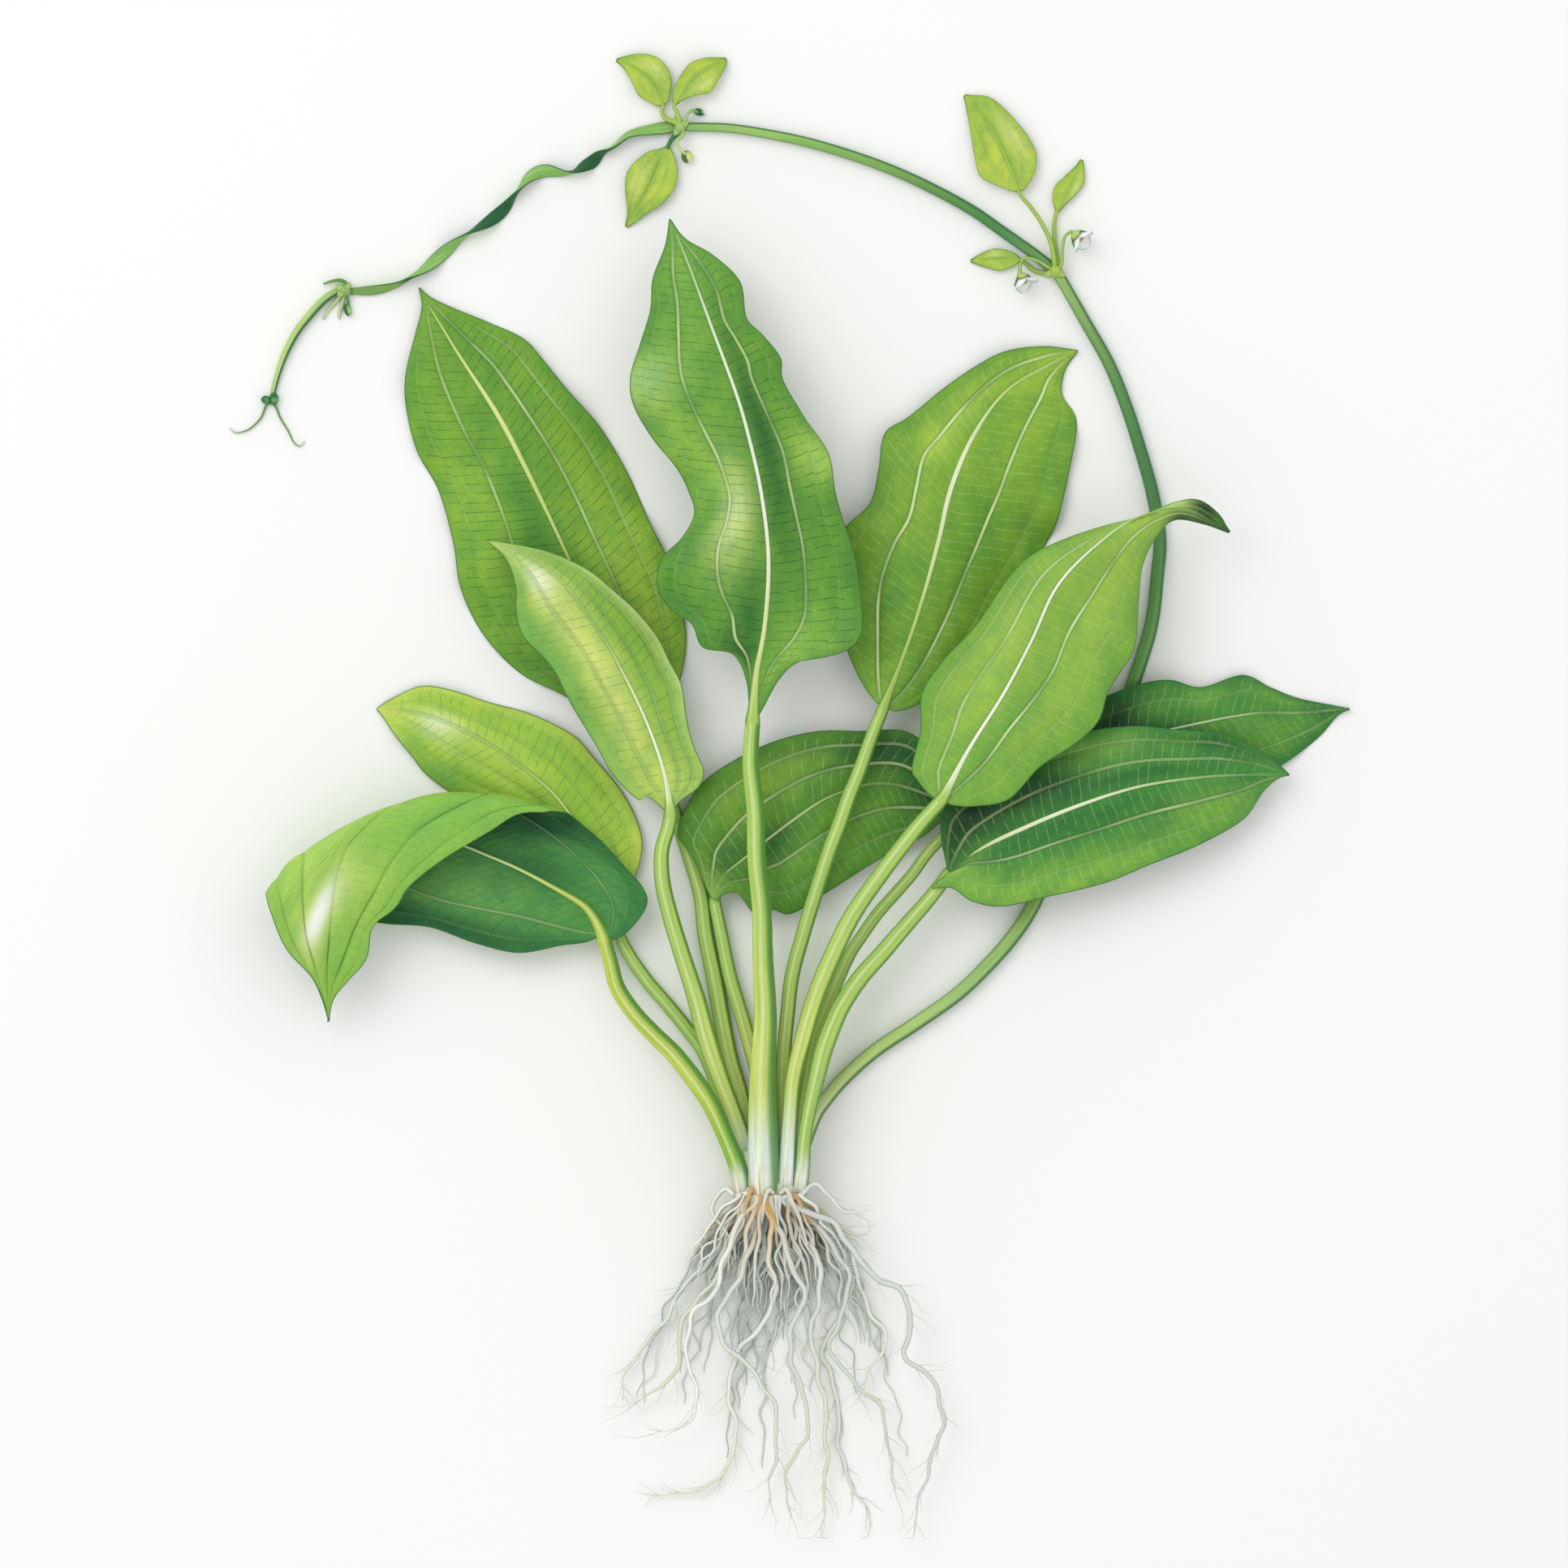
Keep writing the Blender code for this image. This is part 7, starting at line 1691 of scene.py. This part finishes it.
class PLANT_OT_flowers(bpy.types.Operator):
    """Two small white flowers that nod on their stalks"""
    bl_idname = "plant.flowers"
    bl_label = "Flowers"

    def execute(self, context):
        green = stem_material("flower stalk and sepals, green skin", linear("#3B7A40"), 0.75)
        gold = stem_material("stamen, grainy yellow pollen", linear("#A98B2A"), 0.4, 2.0, 0.8)
        skins = {"petal": petal_material(context.scene.plant_runner), "sepal": green}
        for name, (route, aim, size, turn) in FLOWERS.items():
            at = np.linspace(0, 1, FLOWER_STALK_RINGS)
            half = np.interp(at, *FLOWER_STALK)
            line = on_surface(spline((knuckle_of(name), *route), at), half)
            parts = [stem(name, line, half, linear("#A3C46A"), green, sides=16)]
            pieces = []
            for part, (length, wide, curl, lean, spin, drop) in FLOWER_PARTS.items():
                piece = self.petal(size * length, wide, curl, skins[part])
                pieces.append((piece, 3, lean, turn + spin, drop, skins[part]))
            line = np.linspace((0, 0, 0.2), (STAMEN_LENGTH * size, 0, 0.9), STAMEN_RINGS)
            half = np.interp(np.arange(STAMEN_RINGS), *STAMEN_TAPER)
            stamen = stem("stamen", line, half, linear("#D9C04A"), gold, sides=8)
            pieces.append((stamen, STAMENS, *STAMEN_PLACE, gold))
            half = np.sqrt(np.clip(1 - np.linspace(-0.6, 1, PISTIL_RINGS)**2, 0.01, 1))
            line = np.linspace((0, 0, PISTIL_REACH[0]), (0, 0, PISTIL_REACH[1]), PISTIL_RINGS)
            pistil = stem("pistil", line, half, linear("#B9CE6A"), green, sides=20, ribs=8, rib_depth=0.1)
            facing = Vector(aim).to_track_quat("Z", "Y").to_matrix().to_4x4()
            for piece, count, lean, spin, drop, skin in pieces:
                values = {"Count": count, "Ring Radius": WHORL_RADIUS * MM, "Lean": lean, "Turn": spin,
                          "Material": skin}
                made = run_tree(piece, "whorl", whorl_tree, values)
                made.data.transform(shift_matrix(route[-1]) @ facing @ shift_matrix((0, 0, drop)))
                parts.append(made)
            pistil.data.transform(shift_matrix(route[-1]) @ facing)
            finish_piece(name, [*parts, pistil], [name])
        return {"FINISHED"}

    def petal(self, length, wide, curl, skin):
        """One petal or sepal, lying along X from the flower's middle, cupped."""
        across = columns_between((-0.5, 0.0, 0.5))
        at = np.linspace(0, 1, PETAL_ROWS)[:, None]
        half = length * wide * 0.5 * np.sin(math.pi * np.clip(at, 0.03, 0.985)**0.75)**0.6
        level = across + 0 * at
        none = 0 * level
        rise = curl * at**2 + PETAL_CUP * across**2 * np.sin(math.pi * at)
        rise = rise + PETAL_RUFFLE * np.sin(9 * at) * np.abs(across)**3
        grid = np.dstack((at * length + none, -half * across, length * rise))
        margin = half * (1 - np.abs(across))
        measures = {"Leaf": np.dstack((grid[:, :, :2], margin)), "Edge": np.dstack((margin, none, none)),
                    "Round": np.dstack((level, none + 1, none)), "Tint": linear("#BFD274") + none[:, :, None]}
        return sheet_object("petal", grid, measures, PETAL_SHEET * MM, skin, skin)


def shift_matrix(place):
    """Moves a mesh to a place in millimetres."""
    return Matrix.Translation([value * MM for value in place])


class PLANT_OT_shoots(bpy.types.Operator):
    """Buds, the curled shoot and the rootlets on the runner"""
    bl_idname = "plant.shoots"
    bl_label = "Buds and Rootlets"

    def execute(self, context):
        stalk_skin = stem_material("bud stalk, pale green skin", linear("#5F944E"), 0.6)
        # painted shade on one side of each bud
        bud_skin = stem_material("flower bud, closed green sepals", linear("#1F5C38"), 0.9,
                                 side_reach=(0.75, 0.95), lean=0.75)
        root_skin = stem_material("rootlet, pale thin skin", linear("#4F8550"), 0.5, roughness=0.5)
        for name, (route, widths, colours) in SHOOTS.items():
            is_root = "rootlet" in name
            route = (knuckle_of(name), *route)
            length = lengths_along(spline(route, np.linspace(0, 1, SHOOT_DETAIL)))[-1]
            at, fullness = stations(length, min(widths[0], widths[-1]) / 2, SHOOT_SPACING)
            half = np.maximum(spline(widths, at), SHOOT_LEAST) / 2 * fullness
            path = on_surface(spline(route, at), half)
            skin = root_skin if is_root else stalk_skin
            parts = [stem(name, path, half, shaded(colours, at), skin, sides=18)]
            if name in BUDS:
                parts.append(bulb(name + "_bulb", *BUDS[name], bud_skin))
            finish_piece(name, parts, [name])
        return {"FINISHED"}


def bulb(name, centre, aim, length, width, colours, skin):
    """A closed bud or knob: an egg lying on the surface, its colours from base to tip."""
    share, swell = egg(BULB_RINGS)
    aim = np.array((*aim, 0.0)) / np.hypot(*aim)
    rest = width / 2 * (1 + BULB_RIBS) + CLEARANCE
    path = np.array((*centre, rest)) + share[:, None] * aim * length / 2
    return stem(name, path, width / 2 * swell, shaded(colours, (share + 1) / 2), skin, sides=24, ribs=3,
                rib_depth=BULB_RIBS)


def egg(rings):
    """Places from -1 to 1 along an egg for its rings, and its fullness there."""
    share = np.sin(np.linspace(-1, 1, rings) * math.pi / 2)
    return share, np.sqrt(np.maximum(1 - share**2, 0.01))


def wavy(places, amount, random):
    """A route that strays to either side in uneven waves."""
    length = lengths_along(places)
    along = np.gradient(places, axis=0)
    sideways = np.column_stack((-along[:, 1], along[:, 0]))
    sideways /= np.maximum(np.linalg.norm(sideways, axis=1, keepdims=True), 1e-9)
    stray = np.zeros(len(places))
    for wave, part in ROOT_WAVES:
        stray += part * np.sin(2 * math.pi * length / wave + random.uniform(0, 2 * math.pi))
    calm = np.minimum(1, np.minimum(length, length[-1] - length) / WAVE_START)
    return places + sideways * (amount * stray * calm)[:, None]


class PLANT_OT_roots(bpy.types.Operator):
    """Main roots, the thick tuft of short ones at the crown and hair-fine rootlets"""
    bl_idname = "plant.roots"
    bl_label = "Roots"

    def execute(self, context):
        settings = context.scene.plant_roots
        random = np.random.default_rng(ROOT_SEED)
        skin = stem_material("root, white water-filled skin", settings.shade, 0.7, 1.6, 0.5,
                             side_reach=(0.5, 1.0))
        routes = []
        for number, (level, width, route) in ROOTS.items():
            name = f"root_{number}"
            given = np.array(ROOT_ARCHES.get(number, route), float)
            route = np.vstack((given[0] * (CROWN_INNER, 1) + (0, ROOT_START - given[0, 1]), given))
            length = lengths_along(even_curve(route, np.linspace(0, 1, CURVE_DETAIL * len(route))))[-1]
            at, fullness = stations(length, width * ROOT_TIP, ROOT_SPACING)
            places = wavy(even_curve(route, at), settings.waviness / MM, random)
            half = width / 2 * spline(ROOT_TAPER, at) * (1 - ROOT_THINNING * ease(ROOT_THINNING_START, 1, at))
            sunk = np.clip((places[:, 1] - ROOT_FADE_START) / (ROOT_FADE_END - ROOT_FADE_START), 0, 1)
            height = level * ROOT_LEVEL_HEIGHT * (1 - ROOT_FADE * sunk) + half + CLEARANCE
            path = self.raised(places, height, level >= TOP_LEVEL)
            path[:, :2] = np.clip(path[:, :2], LOWEST[:2] + ROOT_MARGIN, HIGHEST[:2] - ROOT_MARGIN)
            old = random.uniform(0, 1)**2
            deep = random.uniform(0, ROOT_GREY)
            young = random.uniform(0, ROOT_YOUNG)
            tint = self.tint(settings, path, 0 if number in ROOT_ARCHES else old, deep)
            tint = blend(tint, settings.young, young * ease(*ROOT_YOUNG_REACH, at))
            tube = stem(name, path, half * fullness, tint, skin, sides=14)
            finish_piece(name, [tube], [name])
            routes.append(path)
        self.add_tuft(settings, random, skin)
        self.add_hairs(settings, skin, routes)
        return {"FINISHED"}

    def raised(self, places, height, on_top):
        """A root's path from its places and heights. One on top comes down from the crown's top."""
        if on_top:
            height += (CROWN_TOP - height[0]) * np.exp(-(lengths_along(places) / ROOT_DROP)**2)
        return np.column_stack((places, height))

    def tint(self, settings, path, old, deep):
        """A root's colour along it: ochre at the crown, as far as it is old, and grey by the given share,
        which in the tuft is painted shade on the roots that lie low under the others.
        """
        ochre = old * np.exp(-(lengths_along(path) / OCHRE_REACH)**2)
        return blend(blend(np.array(settings.white), settings.ochre, ochre), settings.grey, deep)

    def fanned(self, length, steps, fan, straighten, start):
        """Places of a root that leaves the crown at a slant and turns towards the others."""
        angle = fan * (1 - straighten * steps) - math.pi / 2
        pace = np.column_stack((np.cos(angle), np.sin(angle))) * length / len(steps)
        return np.array(start) + np.cumsum(pace, axis=0)

    def add_tuft(self, settings, random, skin):
        """Short roots from all over the crown's end, a few that arch over its edge and thin long ones."""
        roots = []
        for route, width, old in CROWN_LOOPS:
            line = spline(route, np.linspace(0, 1, 10 * len(route)))
            half = width / 2 * np.interp(np.linspace(0, 1, len(line)), *LOOP_TAPER)
            roots.append((line, half, self.tint(settings, line, old, 0.1)))
        for _ in range(settings.tuft):
            start = random.uniform(-1, 1)
            depth = random.uniform(0, 1)
            length = random.uniform(*TUFT_LENGTHS) + TUFT_EXTRA * random.uniform(0, 1) * (1 - abs(start))
            steps = np.linspace(0, 1, int(length / ROOT_SPACING) + 6)
            fan = start * math.radians(TUFT_FAN) + random.uniform(-TUFT_STRAY, TUFT_STRAY)
            on_top = depth > TUFT_TOP
            first = (start * TUFT_REACH, TUFT_TOP_START if on_top else TUFT_START)
            places = self.fanned(length, steps, fan, TUFT_TURN, first)
            places = wavy(places, random.uniform(*TUFT_WAVES), random)
            half = random.uniform(*TUFT_HALF) * np.interp(steps, *TUFT_TAPER)
            fall = 1 - random.uniform(*TUFT_FALL) * steps
            height = half + CLEARANCE + TUFT_HEIGHT * depth * fall * (1 - TUFT_ROUNDING * start**2)
            path = self.raised(places, height, on_top)
            # the lower a root of the tuft lies, the more painted shade greys it
            tint = self.tint(settings, places, random.uniform(0, 1)**2, TUFT_GREY * (1 - depth))
            roots.append((path, half, tint))
        for _ in range(settings.strays):
            start = random.uniform(-1, 1)
            length = random.uniform(*STRAY_LENGTHS)
            steps = np.linspace(0, 1, int(length / ROOT_SPACING))
            places = self.fanned(length, steps, start * math.radians(STRAY_FAN), STRAY_TURN,
                                 (start * STRAY_REACH, TUFT_START))
            places = wavy(places, random.uniform(*STRAY_WAVES), random)
            places = np.clip(places, LOWEST[:2] + STRAY_MARGIN, HIGHEST[:2] - STRAY_MARGIN)
            half = random.uniform(*STRAY_HALF) * np.interp(steps, *TUFT_TAPER)
            height = half + CLEARANCE + random.uniform(*STRAY_HEIGHTS) * (1 - steps)**1.5
            path = self.raised(places, height, False)
            roots.append((path, half, self.tint(settings, places, 0, random.uniform(*STRAY_GREY))))
        paths, halves, tints = zip(*roots)
        tuft = stems("root_tuft", paths, halves, tints, skin, sides=10)
        finish_piece("root_tuft", [tuft], [])

    def add_hairs(self, settings, skin, routes):
        """Hair-fine rootlets that branch off the main roots."""
        paths = [path[HAIRLESS:-HAIRLESS_TIP:2] for path in routes if len(path) > HAIRLESS + HAIR_LEAST]
        guide = path_object("rootlets", paths, [np.ones(len(path)) for path in paths], [1] * len(paths))
        values = {"Spacing": settings.hair_spacing, "Longest": settings.hair_length, "Seed": ROOT_SEED,
                  "Radius": HAIR_WIDTH / 2 * MM, "Lowest": list((LOWEST + HAIR_MARGIN) * MM),
                  "Highest": list((HIGHEST - HAIR_MARGIN) * MM), "Material": skin}
        hairs = run_tree(guide, "rootlets along roots", rootlet_tree, values)
        finish_piece("rootlets", [hairs], [])


def rootlet_tree(name):
    """Geometry nodes that set thin, bent, tapering rootlets along the roots."""
    add, given = start_tree(name, {"Roots": "Geometry", "Spacing": "Float", "Longest": "Float", "Seed": "Int",
                                   "Radius": "Float", "Lowest": "Vector", "Highest": "Vector",
                                   "Material": "Material"})
    curve = add("GeometryNodeMeshToCurve", [given["Roots"]])
    points = add("GeometryNodeCurveToPoints", {"Curve": curve, "Length": given["Spacing"]}, mode="LENGTH")
    hair = add("GeometryNodeCurveQuadraticBezier", [10, (0, 0, 0), (0.5, 0.16, 0), (1, 0, 0)])
    least = add(MATH, [given["Longest"], 0.3], operation="MULTIPLY")
    size = add("FunctionNodeRandomValue", {2: least, 3: given["Longest"], "Seed": given["Seed"]},
               data_type="FLOAT")
    swing = add("FunctionNodeRandomValue", {0: (-0.15, -0.12, -0.75), 1: (0.15, 0.3, 0.75),
                                            "Seed": given["Seed"]}, data_type="FLOAT_VECTOR")
    facing = add("FunctionNodeAlignRotationToVector", {"Vector": points.outputs["Tangent"]}, axis="X")
    swung = add("FunctionNodeEulerToRotation", [swing])
    turned = add("FunctionNodeRotateRotation", [facing, swung], rotation_space="LOCAL")
    copies = add("GeometryNodeInstanceOnPoints", {"Points": points, "Instance": hair, "Rotation": turned,
                                                  "Scale": size})
    real = add("GeometryNodeRealizeInstances", [copies])
    place = add("GeometryNodeInputPosition")
    noise = add(NOISE, [place, 140.0, 2.0])
    stray = add(VECTOR, [noise.outputs["Color"], (0.5, 0.5, 0.5)], operation="SUBTRACT")
    share = add("GeometryNodeSplineParameter")
    reach = add(MATH, [share, HAIR_STRAY * MM], operation="MULTIPLY")
    stray = add(VECTOR, [stray, reach], operation="SCALE")
    place = add(VECTOR, [place, stray], operation="ADD")
    place = add(VECTOR, [place, given["Lowest"]], operation="MAXIMUM")
    place = add(VECTOR, [place, given["Highest"]], operation="MINIMUM")
    bent = add("GeometryNodeSetPosition", {"Geometry": real, "Position": place})
    taper = add(REMAP, [share, 0.0, 1.0, 1.0, 0.3])
    circle = add("GeometryNodeCurvePrimitiveCircle", {"Resolution": 5, "Radius": given["Radius"]})
    unit = add(VECTOR, [add("GeometryNodeInputPosition")], operation="NORMALIZE")
    profile = add("GeometryNodeStoreNamedAttribute", {"Geometry": circle, "Name": "Round", "Value": unit},
                  data_type="FLOAT_VECTOR", domain="POINT")
    tube = add("GeometryNodeCurveToMesh", {"Curve": bent, "Profile Curve": profile, "Scale": taper,
                                           "Fill Caps": True})
    tint = {"Geometry": tube, "Name": "Tint", "Value": linear(HAIR_COLOUR)}
    tinted = add("GeometryNodeStoreNamedAttribute", tint, data_type="FLOAT_VECTOR", domain="POINT")
    whole = add("GeometryNodeRealizeInstances", [tinted])
    dressed = add("GeometryNodeSetMaterial", {"Geometry": whole, "Material": given["Material"]})
    add("NodeGroupOutput", [dressed])


class PLANT_OT_stage(bpy.types.Operator):
    """Pale floor, soft light and the camera that looks down on the plant"""
    bl_idname = "plant.stage"
    bl_label = "Stage"

    def execute(self, context):
        settings = context.scene.plant_stage
        scene = context.scene
        material, add = start_material("floor, matte painted board", 0.9)
        noise = add(NOISE, [add("ShaderNodeTexCoord").outputs["Object"], 3.0, 2.0])
        shade = add(REMAP, [noise, 0.0, 1.0, 0.985, 1.0])
        colour = add(VECTOR, [settings.floor, shade], operation="SCALE")
        shader = material.node_tree.nodes["Principled BSDF"]
        material.node_tree.links.new(colour.outputs["Vector"], shader.inputs["Base Color"])
        corners = [(x * FLOOR_REACH, y * FLOOR_REACH, -0.05) for x, y in ((-1, -1), (1, -1), (1, 1), (-1, 1))]
        floor = new_object("floor", corners, [], [(0, 1, 2, 3)], {})
        floor.data.materials.append(material)

        lamp = bpy.data.lights.new("soft window", "AREA")
        lamp.shape = "DISK"
        lamp.size = WINDOW_SIZE
        lamp.energy = settings.window
        light = bpy.data.objects.new("soft window", lamp)
        light.location = WINDOW_PLACE
        aim = Vector(WINDOW_AIM) - light.location
        light.rotation_euler = aim.to_track_quat("-Z", "Y").to_euler()
        scene.collection.objects.link(light)

        world = bpy.data.worlds.new("even daylight")
        world.use_nodes = True
        sky = world.node_tree.nodes["Background"]
        sky.inputs["Color"].default_value = (1, 1, 1, 1)
        sky.inputs["Strength"].default_value = settings.daylight
        scene.world = world
        scene.view_settings.view_transform = "Standard"

        data = bpy.data.cameras.new("camera")
        data.lens = settings.lens
        data.clip_end = 50
        camera = bpy.data.objects.new("camera", data)
        distance = data.lens / data.sensor_width * VIEW_WIDTH * MM
        camera.location = (VIEW_MIDDLE[0] * MM, VIEW_MIDDLE[1] * MM, distance)
        scene.collection.objects.link(camera)
        scene.camera = camera
        return {"FINISHED"}


class PLANT_PT_panel(bpy.types.Panel):
    """The plant's settings and pieces in the sidebar"""
    bl_idname = "PLANT_PT_panel"
    bl_label = "Amazon Sword Plant"
    bl_space_type = "VIEW_3D"
    bl_region_type = "UI"
    bl_category = "Plant"

    def draw(self, context):
        for name, kind in SETTINGS.items():
            box = self.layout.box()
            box.label(text=kind.__doc__)
            settings = getattr(context.scene, name)
            for key in kind.__annotations__:
                box.prop(settings, key)
        for kind in OPERATORS:
            self.layout.operator(kind.bl_idname)


SETTINGS = {
    "plant_blades": BladeSettings,
    "plant_stalks": StalkSettings,
    "plant_runner": RunnerSettings,
    "plant_roots": RootSettings,
    "plant_stage": StageSettings,
}
OPERATORS = (PLANT_OT_blades, PLANT_OT_stalks, PLANT_OT_crown, PLANT_OT_runner, PLANT_OT_sprouts,
             PLANT_OT_flowers, PLANT_OT_shoots, PLANT_OT_roots, PLANT_OT_stage)
CLASSES = (*SETTINGS.values(), *OPERATORS, PLANT_PT_panel)


def register():
    """Registers the classes and their settings."""
    for kind in CLASSES:
        bpy.utils.register_class(kind)
    for name, kind in SETTINGS.items():
        setattr(bpy.types.Scene, name, bpy.props.PointerProperty(type=kind))


def unregister():
    """Removes the settings and the classes."""
    for name in SETTINGS:
        delattr(bpy.types.Scene, name)
    for kind in reversed(CLASSES):
        bpy.utils.unregister_class(kind)


def main():
    """Builds the plant and its stage."""
    register()
    bpy.ops.plant.blades()
    bpy.ops.plant.stalks()
    bpy.ops.plant.crown()
    bpy.ops.plant.runner()
    bpy.ops.plant.sprouts()
    bpy.ops.plant.flowers()
    bpy.ops.plant.shoots()
    bpy.ops.plant.roots()
    bpy.ops.plant.stage()


if __name__ == "__main__":
    main()
